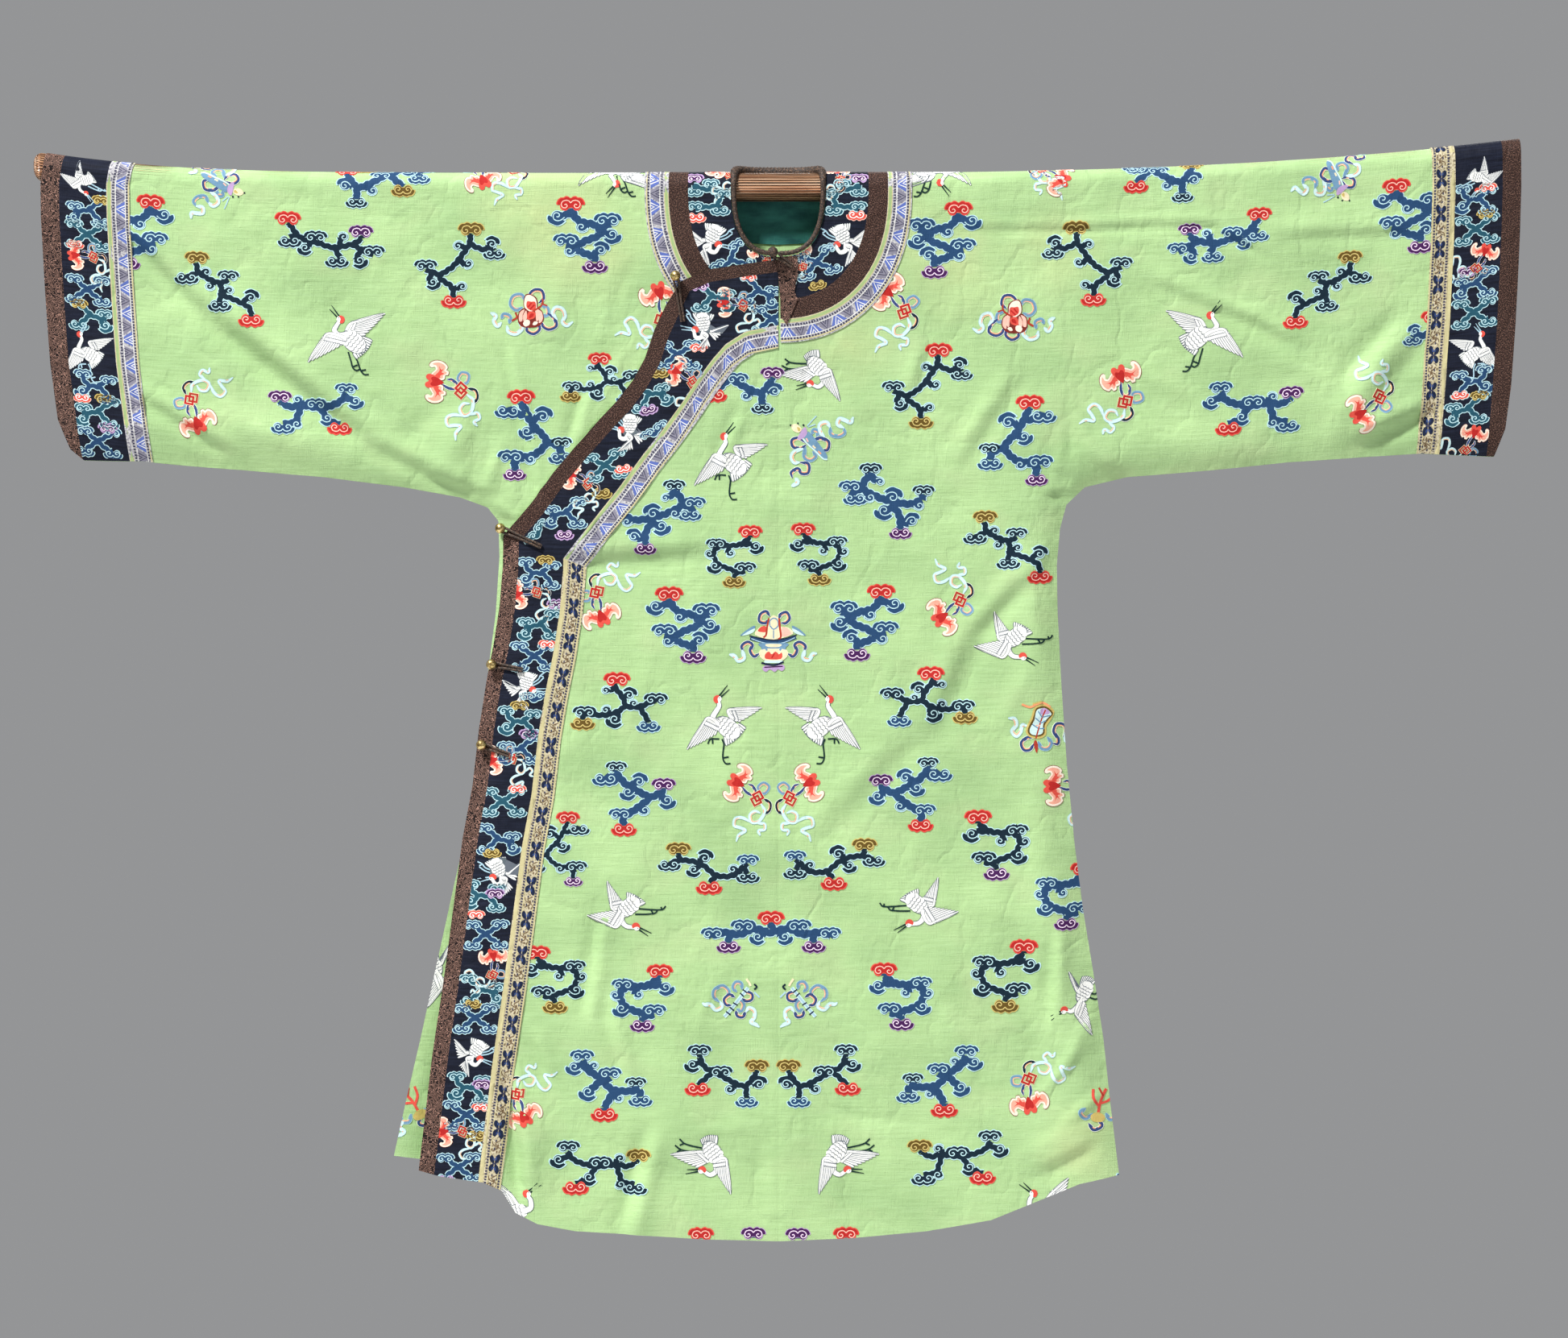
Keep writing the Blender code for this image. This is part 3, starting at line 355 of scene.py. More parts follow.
# Layers of cloth, low and high above the middle of the panels' wall.
layers = {"silk": (-0.5, 0.55), "trim": (0.72, 1.62), "endStrip": (2, 3), "facing": (-1.7, -0.9)}
# How close the cloth's points lie: between points, between rows as a share of that, and closer over the rod.
density = {
    "panel": 5.2, "trim": 5, "row": 0.87, "rodRow": 3.5, "rodRowReach": 12, "rodRim": 3, "rodRimReach": 14,
    "rodMotif": 3, "rodMotifReach": 10,
}
crest = rod["radius"] + hang["rodClearance"] + hang["wall"] / 2
quarter = crest * math.pi / 2

# outlines as seen from the front, as x and z
lines = {
    "leftCuff":  [(-791.5, 36), (-797, 2), (-796.5, -34), (-792, -121), (-787, -191), (-779, -252),
                 (-766, -284), (-752, -296)],
    "leftSleeve":  [(-752, -296), (-689, -297), (-580, -306.5), (-493, -314), (-406, -325), (-345, -336),
                   (-315, -347), (-303, -362)],
    "leftSide": [(-303, -362), (-302, -400), (-306, -462), (-314, -522), (-321, -600), (-325, -626)],
    "leftVent":  [(-325, -626), (-336, -687), (-352, -757), (-371, -844), (-388, -922), (-402, -982),
                 (-417, -1050)],
    "underEdge": [(-325, -626), (-328, -760), (-342, -900), (-352, -1030)],
    "underHem": [(-352, -1030), (-240, -1082), (-120, -1106), (-6, -1112)],
    "rightCuff": [(802, 52), (802.5, 0), (801, -60), (797, -147), (792, -217), (786, -262), (775, -292)],
    "rightSleeve":  [(775, -292), (696, -288.5), (639, -292), (552, -298), (465, -307), (378, -314),
                    (332, -325), (312, -344), (305, -370)],
    "rightSide":  [(305, -370), (301.5, -410), (302.5, -461), (306.5, -539), (312.5, -626), (321, -713),
                  (330, -783), (341, -850), (352, -922), (359.5, -992), (369, -1070)],
    "frontHem":  [(-388.5, -1064), (-367, -1070), (-319, -1077), (-299, -1086), (-284, -1110),
                 (-260, -1122), (-220, -1129.5), (-160, -1133.5), (-80, -1138.5), (0, -1140.5),
                 (80, -1137.5), (160, -1130), (230, -1118), (282, -1097), (326, -1079), (369, -1070)],
    "backHem":  [(-417, -1050), (-372, -1056), (-310, -1078), (-240, -1102), (-160, -1120), (-80, -1130),
                (0, -1133), (80, -1130), (160, -1120), (240, -1103), (310, -1082), (369, -1070)],
    "closureTop": [(0, -79.5), (-36, -84.5), (-76, -90.5), (-105, -103)],
    "closureSlant":  [(-105, -103), (-121, -128), (-134, -156), (-144, -186), (-157, -210), (-174, -232),
                     (-193, -252), (-218, -280), (-243, -309.5), (-267, -343), (-297, -378)],
    "closureSide":  [(-297, -378), (-297.5, -411), (-301, -453), (-307.5, -495), (-316, -537), (-324, -586),
                    (-331, -648), (-341.5, -705), (-361.5, -856), (-374, -943), (-388.5, -1064)],
    "navySlantInner":  [(0, -150.5), (-35, -157), (-57, -171), (-71, -187), (-90, -212.5), (-104, -234),
                       (-124, -262), (-146, -290), (-173, -327), (-196, -356)],
    "endStrip": [(0, -77.5), (20, -76), (21.5, -93), (17, -114), (21, -122), (9, -151), (3, -141)],
    "facing": [(-75, -8), (75, -8), (75, -57), (0, -61), (-75, -57)],
}
leftSeam = lines["leftSleeve"] + lines["leftSide"][1:] + lines["leftVent"][1:]
rightSeam = lines["rightSleeve"] + lines["rightSide"][1:]

# The folds: x, z, turn, length, width, height out. The first rows are the solids' own.
creases = {
    "front": [
        (-660, -150, -52, 210, 26, -3.2), (-622, -182, -50, 190, 20, 3.6), (-560, -262, -14, 260, 20, 3.4),
        (-350, -278, 62, 120, 13, 3), (-392, -262, 48, 130, 14, -2.6), (-330, -300, 78, 90, 9, -2.4),
        (352, -288, -48, 110, 12, 3.2), (300, -318, -76, 130, 12, -2.6), (640, -236, 38, 170, 26, 3.6),
        (560, -262, 8, 220, 18, -2.4), (282, -470, -84, 260, 16, 2.6), (300, -820, -80, 360, 17, 4.2),
        (268, -880, -82, 300, 15, -2.8), (-262, -1040, -88, 210, 14, 5), (-283, -1050, -88, 190, 10, -3),
        (110, -960, -86, 380, 26, 3.2), (-95, -900, 86, 420, 30, 2.6), (10, -640, 84, 360, 34, -2),
        # finer folds that show only in this finish
        (-520, -168, -38, 300, 24, 3.8), (-560, -262, -20, 170, 16, 2.9), (-306, -300, 66, 90, 5, 2.3),
        (-316, -300, 84, 80, 4, -1.9), (-336, -304, 56, 70, 5, 2), (-286, -322, 104, 70, 5, 2.3),
        (-190, -150, 74, 120, 9, 2), (-170, -110, 62, 90, 6, -1.7), (-240, -130, 82, 150, 11, 1.7),
        (-176, -200, 66, 110, 7, 2.3), (640, -212, 50, 190, 15, 6.1), (676, -196, 44, 120, 12, -3.5),
        (560, -196, -24, 160, 9, 1.9), (460, -120, -23, 170, 8, 1.7), (410, -210, -30, 150, 9, 2.2),
        (330, -262, -66, 110, 5, 2.5), (316, -280, -84, 90, 4, -1.9), (352, -296, -40, 70, 4.5, 2.3),
        (300, -308, -100, 80, 5, 2), (272, -418, 48, 120, 9, 3.8), (250, -560, 60, 130, 11, 2.3),
        (-240, -700, 82, 260, 10, 1.7), (-150, -560, 80, 220, 13, 1.9), (120, -520, -72, 200, 16, 1.9),
        (320, -930, 62, 110, 6, 2.9), (306, -956, 50, 120, 6, 3.5), (332, -996, 38, 110, 6, 4.1),
        (300, -1030, 26, 120, 8, 2.9), (344, -880, 78, 130, 6, 2.9), (100, -1008, -6, 150, 6, -1.9),
        (-60, -1020, 8, 120, 6, 1.7), (-20, -1060, 88, 150, 12, -2), (60, -1050, -88, 150, 10, 2),
        (-76, -880, 70, 120, 7, 1.9),
    ],
    "back": [
        (610, -170, -48, 210, 24, 3.4), (-590, -230, 24, 230, 22, 3.2), (330, -300, -60, 120, 12, 3),
        (-330, -310, 64, 120, 12, 3), (-210, -860, 84, 420, 26, 3.6), (150, -820, -83, 400, 28, 3.4),
        (250, -930, -80, 300, 18, -2.4), (-20, -900, 88, 420, 34, 2.4),
        # finer folds that show only in this finish
        (560, -230, -34, 160, 9, 2.9), (420, -270, -14, 170, 8, 2.2), (-420, -262, 34, 150, 8, 2.4),
        (-372, -210, 66, 150, 8, 1.9), (366, -214, -66, 150, 8, -1.9), (-640, -120, 58, 160, 10, 2.4),
        (690, -120, -58, 150, 10, 1.9), (290, -500, -84, 240, 9, 2.2), (-290, -520, 86, 240, 9, 2.2),
        (-150, -420, 80, 260, 15, 1.9), (-300, -900, 82, 260, 10, 2.4), (60, -1000, -86, 220, 13, 2.3),
        (200, -1000, -84, 200, 10, 2.3), (-330, -60, 4, 230, 9, 1.8),
    ],
}
# Folds that fall back on one side; the height is out on the upper side.
fallingFolds = {
    "front": [
        (-665, -88, -46, 150, 8, 3.5), (-528, -204, -38.5, 330, 11, 6.1), (-385, -303, -27, 150, 8, 3.8),
        (-640, -256, -33, 160, 7, 3.5), (-571, -14, 38, 100, 6, 1.4), (-286, -208, -76, 90, 5, 2.2),
        (-273, -265, -72, 80, 5, 3.2), (-216, -252, 74, 80, 5, -2.6), (-261, -318, -70, 60, 4, 2.3),
        (-297, -354, -30, 50, 4, 2.6), (-348, -322, -16, 100, 4, 2), (300, -44, 0, 240, 4, 2.2),
        (420, -40, 0, 190, 4, 2.3), (495, -57, -26, 90, 4.5, 2.2), (604, -4, 6, 150, 9, 2),
        (616, -50, 2, 190, 7, 2.2), (470, -128, -23, 230, 7, 1.7), (524, -150, -28, 110, 6, 1.7),
        (646, -176, 48, 120, 9, -2.9), (666, -256, 24, 120, 9, 4.9), (306, -331, 4, 50, 4, 2),
        (230, -248, 57, 150, 9, 2.3), (152, -200, 76, 70, 6, 1.7), (243, -446, 50, 130, 9, 3.2),
        (190, -530, 66, 170, 12, 2.9), (92, -650, 47, 220, 14, 2.3), (-150, -398, 3, 190, 10, 3.5),
        (-53, -270, 67, 90, 5, -2.2), (-199, -844, 82, 160, 7, -2.9), (-175, -920, -75, 120, 7, 2.9),
        (-150, -1077, 77, 150, 9, -4.9), (-281, -1022, -84, 190, 7, 5.2), (-256, -940, -66, 70, 5, 2.6),
        (298, -853, 87, 130, 6, -3.2), (310, -1050, 28, 90, 8, 2.9),
    ],
    "back": [
        (560, -200, 40, 300, 10, 3.6), (-600, -160, -40, 260, 10, 3.6), (250, -460, -58, 200, 9, 2.4),
        (-180, -1010, 80, 200, 8, 2.9), (140, -960, -80, 240, 9, 2.6), (-40, -420, 4, 200, 10, 2.2),
    ],
}
softness = [(95, 60, 1.15, 11), (44, 34, 0.55, 12), (20, 15, 0.2, 13)]  # cell x, cell z, height, seed


def smooth(t):
    t = np.clip(t, 0, 1)
    return t * t * (3 - 2 * t)


def rodHeight(x):
    away = np.abs(np.asarray(x, float)) / 800
    return np.where(np.asarray(x) > 0, rod["liftRight"] * away**2.6, rod["liftLeft"] * away**6)


# Seen (x, z) rows as points of the flat cut: w runs down the front if above 0, down the back if below.
def toCut(rows, face=1):
    rows = np.asarray(rows, float)
    above = rows[:, 1] - rodHeight(rows[:, 0])
    w = np.where(above <= 0, quarter - above, crest * np.arccos(np.clip(above / crest, -1, 1)))
    return np.stack([rows[:, 0], face * w], axis=1)


def lineDistance(line, x, z):
    nearest = np.full(np.shape(x), 1e9)
    for (ax, az), (bx, bz) in zip(line, line[1:]):
        run, rise = bx - ax, bz - az
        t = np.clip(((x - ax) * run + (z - az) * rise) / (run * run + rise * rise), 0, 1)
        nearest = np.minimum(nearest, np.hypot(x - ax - t * run, z - az - t * rise))
    return nearest


# Smooth bumps between -1 and 1, the same on every run.
def softNoise(x, z, cellX, cellZ, seed):
    table = np.random.default_rng(seed).uniform(-1, 1, (96, 128))
    u, v = x / cellX + 40, z / cellZ + 90
    i, j = np.floor(u).astype(int), np.floor(v).astype(int)
    fu, fv = smooth(u - i), smooth(v - j)
    corner = lambda a, b: table[(i + a) % 96, (j + b) % 128]
    low, high = corner(0, 0) * (1 - fu) + corner(1, 0) * fu, corner(0, 1) * (1 - fu) + corner(1, 1) * fu
    return low * (1 - fv) + high * fv


# How far places lie along a turned fold, and across it.
def foldFrame(x, z, cx, cz, turn):
    cos, sin = math.cos(math.radians(turn)), math.sin(math.radians(turn))
    return (x - cx) * cos + (z - cz) * sin, (z - cz) * cos - (x - cx) * sin


# How far the cloth stands from the rod's middle plane, on a grid of x and z.
def depthField(face, lapped):
    x, z = np.meshgrid(field["x"], field["z"], indexing="ij")
    below = rodHeight(x) - z
    left = np.minimum(lineDistance(leftSeam, x, z) / hang["seamRounding"], 1)
    rows = np.array(lines["leftSleeve"][-1:] + lines["leftSide"][1:] + lines["leftVent"][1:])
    edge = np.interp(-z, -rows[:, 1], rows[:, 0], left=-2000, right=-2000)
    left = np.where(x < edge, 0, left)
    right = np.minimum(lineDistance(rightSeam, x, z) / hang["seamRounding"], 1)
    least = np.where(x < 0, hang["ventFree"] * smooth((hang["ventTop"] - z) / hang["ventReach"]), 0)
    free = np.maximum(1 - (1 - np.where(x < 0, left, right)) ** 2, least)
    depth = crest + (hang["depth"] - crest) * smooth(below / hang["settle"])
    depth = hang["seamDepth"] + (depth - hang["seamDepth"]) * free
    folds = np.zeros_like(x)
    for cx, cz, turn, length, width, height in creases[face]:
        along, across = foldFrame(x, z, cx, cz, turn)
        share = np.where(np.abs(along) < length / 2, np.cos(np.pi * along / length) ** 2, 0)
        folds += height * share * np.exp(-((across / width) ** 2))
    for cx, cz, turn, length, width, height in fallingFolds[face]:
        along, across = foldFrame(x, z, cx, cz, turn)
        across = across / width
        share = smooth((length / 2 - np.abs(along)) / (0.32 * length))
        folds += height * share * across * np.exp(0.5 * (1 - across**2))
    for cellX, cellZ, height, seed in softness:
        folds += height * softNoise(x, z, cellX, cellZ, seed + (hang["backSeed"] if face == "back" else 0))
    started = smooth(below / hang["foldStart"])
    depth += folds * np.minimum(1, free * 1.3) * started
    if face == "front":
        share = smooth((-z - hang["lapStart"]) / hang["lapReach"])
        if not lapped:
            share = np.where(x < -0.5, 0, share * (1 - smooth(x / hang["lapFade"])))
        depth += hang["lap"] * share
    depth -= hang["seamDip"] * np.exp(-((x / hang["seamReach"]) ** 2)) * started
    return depth


field = {"step": 2.5, "x": np.arange(-850, 851, 2.5), "z": np.arange(-1200, 81, 2.5)}


def fieldAt(grid, x, z):
    u = np.clip((x - field["x"][0]) / field["step"], 0, len(field["x"]) - 1.001)
    v = np.clip((z - field["z"][0]) / field["step"], 0, len(field["z"]) - 1.001)
    i, j = u.astype(int), v.astype(int)
    fu, fv = u - i, v - j
    low, high = (grid[i, row] * (1 - fu) + grid[i + 1, row] * fu for row in (j, j + 1))
    return low * (1 - fv) + high * fv


# Where points of the cut hang: the middle of the wall.
def clothPlace(x, w, lapped):
    face = np.where(w > 0, 1, -1)
    reach, height = np.abs(w), rodHeight(x)
    angle = np.minimum(reach / crest, math.pi / 2)
    share = np.clip((np.abs(x) - hang["backNeckFlat"]) / hang["backNeckSpread"], 0, 1)
    lift = 0.5 * (1 + np.cos(np.pi * share)) * (1 - smooth(w / 20))
    bendY, bendZ = -face * crest * np.sin(angle), height + crest * np.cos(angle)
    bendY = bendY + (crest - np.maximum(w, 0) - bendY) * lift
    bendZ = bendZ + (height + quarter + np.minimum(w, 0) - bendZ) * lift
    z = height - (reach - quarter)
    front = fieldAt(field["lapped" if lapped else "front"], x, z)
    depth = np.where(face > 0, front, fieldAt(field["back"], x, z))
    hung = reach > quarter
    return np.stack([x, np.where(hung, -face * depth, bendY), np.where(hung, z, bendZ)], axis=1)


def clothOutward(x, w, lapped, reach=2):
    alongX = clothPlace(x + reach, w, lapped) - clothPlace(x - reach, w, lapped)
    alongW = clothPlace(x, w + reach, lapped) - clothPlace(x, w - reach, lapped)
    out = np.cross(alongW, alongX)
    return out / np.maximum(np.linalg.norm(out, axis=1), 1e-9)[:, None]


def laidOn(flat, height, lapped):
    flat = np.asarray(flat, float)
    x, w = flat[:, 0], flat[:, 1]
    return clothPlace(x, w, lapped) + clothOutward(x, w, lapped) * height


# Outlines of the cut pieces


def neckCurve(grow):
    turn = 2 * np.pi * (np.arange(neck["points"]) + 0.5) / neck["points"]
    across, along = np.sin(turn), np.cos(turn)
    power = np.where(along > 0, neck["frontPower"], neck["backPower"])
    half = np.where(along > 0, neck["frontDrop"] - neck["widest"], neck["widest"] + neck["backDrop"])
    size = (np.abs(across) ** power + np.abs(along) ** power) ** (-1 / power)
    points = np.stack([neck["halfWidth"] * across * size, neck["widest"] + half * along * size], axis=1)
    way = np.roll(points, -1, axis=0) - np.roll(points, 1, axis=0)
    way /= np.linalg.norm(way, axis=1)[:, None]
    out = np.stack([-way[:, 1], way[:, 0]], axis=1)
    side = np.sign((out * (points - (0, neck["widest"]))).sum(axis=1))
    return points + out * side[:, None] * grow


# A line moved to its left, seen from the front, by one width for each row.
def squareOff(rows, widths):
    rows = np.asarray(rows, float)
    way = np.diff(rows, axis=0)
    way /= np.linalg.norm(way, axis=1)[:, None]
    into, out = np.vstack([way[:1], way]), np.vstack([way, way[-1:]])
    n = np.stack([-(into + out)[:, 1], (into + out)[:, 0]], axis=1)
    n /= np.linalg.norm(n, axis=1)[:, None]
    square = n[:, 1] * into[:, 0] - n[:, 0] * into[:, 1]
    return rows + n * (np.asarray(widths, float) / square)[:, None]


def longer(rows, by):
    rows = np.asarray(rows, float)
    way = rows[-1] - rows[-2]
    return np.vstack([rows[:-1], rows[-1] + way / np.linalg.norm(way) * by])


def cuffLine(cuff, shift):
    straight = longer(cuff[:-2], 90)[1:] + (shift, 0)
    return np.vstack([toCut(straight, 1)[::-1], [(cuff[0][0] + shift, 0)], toCut(straight, -1)])


def resampled(line, count):
    line = np.asarray(line, float)
    along = np.concatenate([[0], np.cumsum(np.linalg.norm(np.diff(line, axis=0), axis=1))])
    at = np.linspace(0, along[-1], count)
    return np.stack([np.interp(at, along, line[:, 0]), np.interp(at, along, line[:, 1])], axis=1)


def inside(outline, points):
    x, w = points[:, 0], points[:, 1]
    within = np.zeros(len(points), bool)
    ends = np.roll(outline, -1, axis=0)
    for (ax, aw), (bx, bw) in zip(outline, ends):
        if aw != bw:
            within ^= ((aw > w) != (bw > w)) & (x < ax + (bx - ax) * (w - aw) / (bw - aw))
    return within


# Every flat outline and line of the cut, in (x, w).
def makeOutlines():
    slantEnd = len(lines["closureTop"]) + len(lines["closureSlant"]) - 2
    closure = lines["closureTop"] + lines["closureSlant"][1:] + lines["closureSide"][1:]
    top = len(lines["closureTop"])
    edging = squareOff(closure, [widths["topEdging"]] * top + [widths["edging"]] * (len(closure) - top))
    edging[0, 0] = 0
    navy = squareOff(closure, [widths["edging"] + widths["navy"]] * len(closure))
    ribbon = squareOff(closure, [widths["edging"] + widths["navy"] + widths["ribbon"]] * len(closure))
    navySlant = np.vstack([lines["navySlantInner"], navy[slantEnd]])
    ribbonSlant = squareOff(navySlant, [widths["ribbon"]] * len(navySlant))
    ribbonSlant[0, 0] = 0
    ribbonSlant[-1] = ribbon[slantEnd]
    made = {
        "closureTop": closure[:top], "edgingTop": edging[:top],
        "closureSlant": closure[top - 1:slantEnd + 1], "edgingSlant": edging[top - 1:slantEnd + 1],
        "edgingBoth": edging[:slantEnd + 1], "navySlant": navySlant, "ribbonSlant": ribbonSlant,
        "closureSide": longer(closure[slantEnd:], 60), "edgingSide": longer(edging[slantEnd:], 60),
        "navySide": longer(navy[slantEnd:], 60), "ribbonSide": longer(ribbon[slantEnd:], 60),
    }
    made = {name: toCut(rows) for name, rows in made.items()}
    hole, far = neckCurve(0), 0
    for number, width in enumerate((0, widths["ringNavy"], widths["ringEdging"], widths["ringRibbon"])):
        far += width
        made[f"ring{number}"] = neckCurve(far)
    for side, into in (("left", 1), ("right", -1)):
        far = 0
        for number, width in enumerate((-30, widths["cuffEdging"], widths["cuffNavy"],
                                        widths["cuffRibbon"])):
            far = max(far, 0) + width
            made[f"{side}Cuff{number}"] = cuffLine(lines[side + "Cuff"], into * far)
    half = neck["points"] // 2
    leftHole, backMiddle = hole[half:], [(0, hole[half][1])]
    leftSide = lines["leftSleeve"] + lines["leftSide"][1:]
    backHem, frontHem = lines["backHem"], lines["frontHem"]
    left = [toCut([(hang["underEdge"], hang["underTop"])] + lines["underHem"][::-1]),
            toCut(lines["underEdge"][::-1][1:]), toCut(leftSide[::-1][1:]),
            toCut(lines["leftCuff"][::-1][1:]),
            toCut(lines["leftCuff"][1:], -1), toCut(leftSeam[1:], -1),
            toCut([row for row in backHem[1:] if row[0] <= 0], -1), backMiddle,
            leftHole[(leftHole[:, 0] < hang["underEdge"]) | (leftHole[:, 1] < 0)]]
    right = [[(0, hole[0][1])], hole[:half], backMiddle, toCut([row for row in backHem if row[0] >= 0], -1),
             toCut(rightSeam[::-1][1:], -1), toCut(lines["rightCuff"][::-1][1:], -1),
             toCut(lines["rightCuff"][1:]), toCut(rightSeam[1:]),
             toCut([row for row in frontHem[::-1][1:] if row[0] >= 0])]
    made["left"], made["right"] = np.vstack(left), np.vstack(right)
    made["lap"] = toCut(closure + [row for row in frontHem[1:] if row[0] <= 0])
    made["facing"] = toCut(lines["facing"], -1)
    made["endStrip"] = toCut(lines["endStrip"])
    return made


# Meshes


def meshFrom(name, points, faces, finishes, slots=None, flat=None):
    mesh = bpy.data.meshes.new(name)
    rows = faces if isinstance(faces, list) else faces.tolist()
    mesh.from_pydata((np.asarray(points) / 1000).tolist(), [], rows)
    for finish in finishes:
        mesh.materials.append(finish)
    if slots is not None:
        mesh.polygons.foreach_set("material_index", np.asarray(slots, np.int32))
    mesh.polygons.foreach_set("use_smooth", np.ones(len(mesh.polygons), bool))
    mesh.update()
    mesh.set_sharp_from_angle(angle=math.radians(55))
    if flat is not None:
        layer = mesh.uv_layers.new(name="cut")
        corners = np.zeros(len(mesh.loops), np.int32)
        mesh.loops.foreach_get("vertex_index", corners)
        layer.data.foreach_set("uv", (np.asarray(flat)[corners] / 1000).astype(np.float32).ravel())
    piece = bpy.data.objects.new(name, mesh)
    bpy.context.scene.collection.objects.link(piece)
    return piece


# The line with points added so that no step is longer than the spacing, and shorter steps over the rod.
def dividedLine(line, spacing, closed=True):
    ends = np.roll(line, -1, axis=0) if closed else line[1:]
    out = []
    for a, b in zip(line, ends):
        size = np.linalg.norm(b - a)
        near = min(abs(a[1]), abs(b[1])) < quarter + density["rodRimReach"] and abs(a[1] - b[1]) > 1
        pieces = max(1, int(math.ceil(size / (density["rodRim"] if near else spacing))))
        out.append(a + (b - a) * (np.arange(pieces) / pieces)[:, None])
    if not closed:
        out.append(line[-1:])
    return np.vstack(out)


# Points inside an outline, in rows that are closer over the rod, and further apart where few are asked for.
def gridPoints(outline, spacing, few=None):
    low, high = outline.min(axis=0), outline.max(axis=0)
    rows, w, number = [], low[1], 0
    while w < high[1]:
        start = low[0] + (number % 2) * spacing / 2
        xs = np.arange(start, high[0], spacing)
        row = np.stack([xs, np.full(len(xs), w)], axis=1)
        if few is not None:
            asked, even = few(row), np.arange(len(xs)) % 2 == 0
            row = row[(asked == 0) | (even & ((asked == 1) | (number % 2 == 0)))]
        rows.append(row)
        step = spacing * density["row"]
        w += min(step, density["rodRow"]) if abs(w) < quarter + density["rodRowReach"] else step
        number += 1
    points = np.vstack(rows)
    points = points[inside(outline, points)]
    away = np.full(len(points), 1e9)
    ends = np.roll(outline, -1, axis=0)
    for a, b in zip(outline, ends):
        near = (points[:, 0] > min(a[0], b[0]) - spacing) & (points[:, 0] < max(a[0], b[0]) + spacing)
        near &= (points[:, 1] > min(a[1], b[1]) - spacing) & (points[:, 1] < max(a[1], b[1]) + spacing)
        if near.any():
            found = lineDistance([tuple(a), tuple(b)], points[near, 0], points[near, 1])
            away[near] = np.minimum(away[near], found)
    return points[away > spacing * 0.5]


# The places of a flat mesh that Blender has cut into faces.
def placesOf(made):
    return np.array([tuple(place) for place in made[0]])


# Triangles that all run the same way round in (x, w).
def wound(triangles, flat, sign=1):
    a, b, c = (flat[triangles[:, k]] for k in range(3))
    turn = (b[:, 0] - a[:, 0]) * (c[:, 1] - a[:, 1]) - (b[:, 1] - a[:, 1]) * (c[:, 0] - a[:, 0])
    wrong = turn * sign > 0
    triangles[wrong] = triangles[wrong][:, ::-1]
    return triangles


# The directed edges of triangles, first sides before second and third ones.
def edgesOf(triangles):
    return np.concatenate([triangles[:, [0, 1]], triangles[:, [1, 2]], triangles[:, [2, 0]]]).tolist()


# A thin wall over an outline of the cut, from low to high above the middle of the panel's wall.
def clothShell(name, outline, spacing, lapped, low, high, finish, few=None):
    rim = dividedLine(outline, spacing)
    points = np.vstack([rim, gridPoints(outline, spacing, few)])
    edges = [(i, (i + 1) % len(rim)) for i in range(len(rim))]
    made = delaunay_2d_cdt(points.tolist(), edges, [], 0, 0.05)
    flat, triangles = placesOf(made), np.array([list(face) for face in made[2]])
    triangles = wound(triangles[inside(outline, flat[triangles].mean(axis=1))], flat)
    used, triangles = np.unique(triangles, return_inverse=True)
    triangles, flat, count = triangles.reshape(-1, 3), flat[used], len(used)
    outward = clothOutward(flat[:, 0], flat[:, 1], lapped)
    middle = clothPlace(flat[:, 0], flat[:, 1], lapped)
    known = {tuple(edge) for edge in edgesOf(triangles)}
    faces = triangles.tolist() + (triangles[:, ::-1] + count).tolist()
    faces += [(b, a, a + count, b + count) for a, b in known if (b, a) not in known]
    walls = np.vstack([middle + outward * high, middle + outward * low])
    return meshFrom(name, walls, faces, [finish], flat=np.vstack([flat, flat]))


# Hides the solid that a piece stands for, if any, and attaches the piece to the body it moves with.
def declare(piece, node=None):
    if node:
        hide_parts(node)
    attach(piece, "root")
    return piece


# Motifs are rows of (level, silk, outline) in millimetres, with up at +Y. A higher level covers a lower one.


def spline(points, steps=5, closed=False):
    points = np.asarray(points, float)
    if closed:
        before, after, later = np.roll(points, 1, 0), np.roll(points, -1, 0), np.roll(points, -2, 0)
    else:
        before = np.vstack([2 * points[0] - points[1], points[:-2]])
        after, later = points[1:], np.vstack([points[2:], 2 * points[-1] - points[-2]])
        last, points = points[-1:], points[:-1]
    t = (np.arange(steps) / steps)[None, :, None]
    a, b, c, d = (p[:, None, :] for p in (before, points, after, later))
    bend, turn = 2 * a - 5 * b + 4 * c - d, 3 * b - a - 3 * c + d
    curve = 0.5 * (2 * b + (c - a) * t + bend * t**2 + turn * t**3)
    curve = curve.reshape(-1, 2)
    return curve if closed else np.vstack([curve, last])


def sideways(line):
    way = np.gradient(line, axis=0)
    way /= np.maximum(np.linalg.norm(way, axis=1), 1e-9)[:, None]
    return np.stack([-way[:, 1], way[:, 0]], axis=1)


# The outline of a line drawn this wide to its left and to its right.
def stroke(line, left, right=None):
    line = np.asarray(line, float)
    side = sideways(line)
    left, right = (np.broadcast_to(half, len(line))[:, None]
                   for half in (left, left if right is None else right))
    return np.vstack([line + side * left, (line - side * right)[::-1]])


def lengthOf(line):
    return float(np.linalg.norm(np.diff(np.asarray(line, float), axis=0), axis=1).sum())


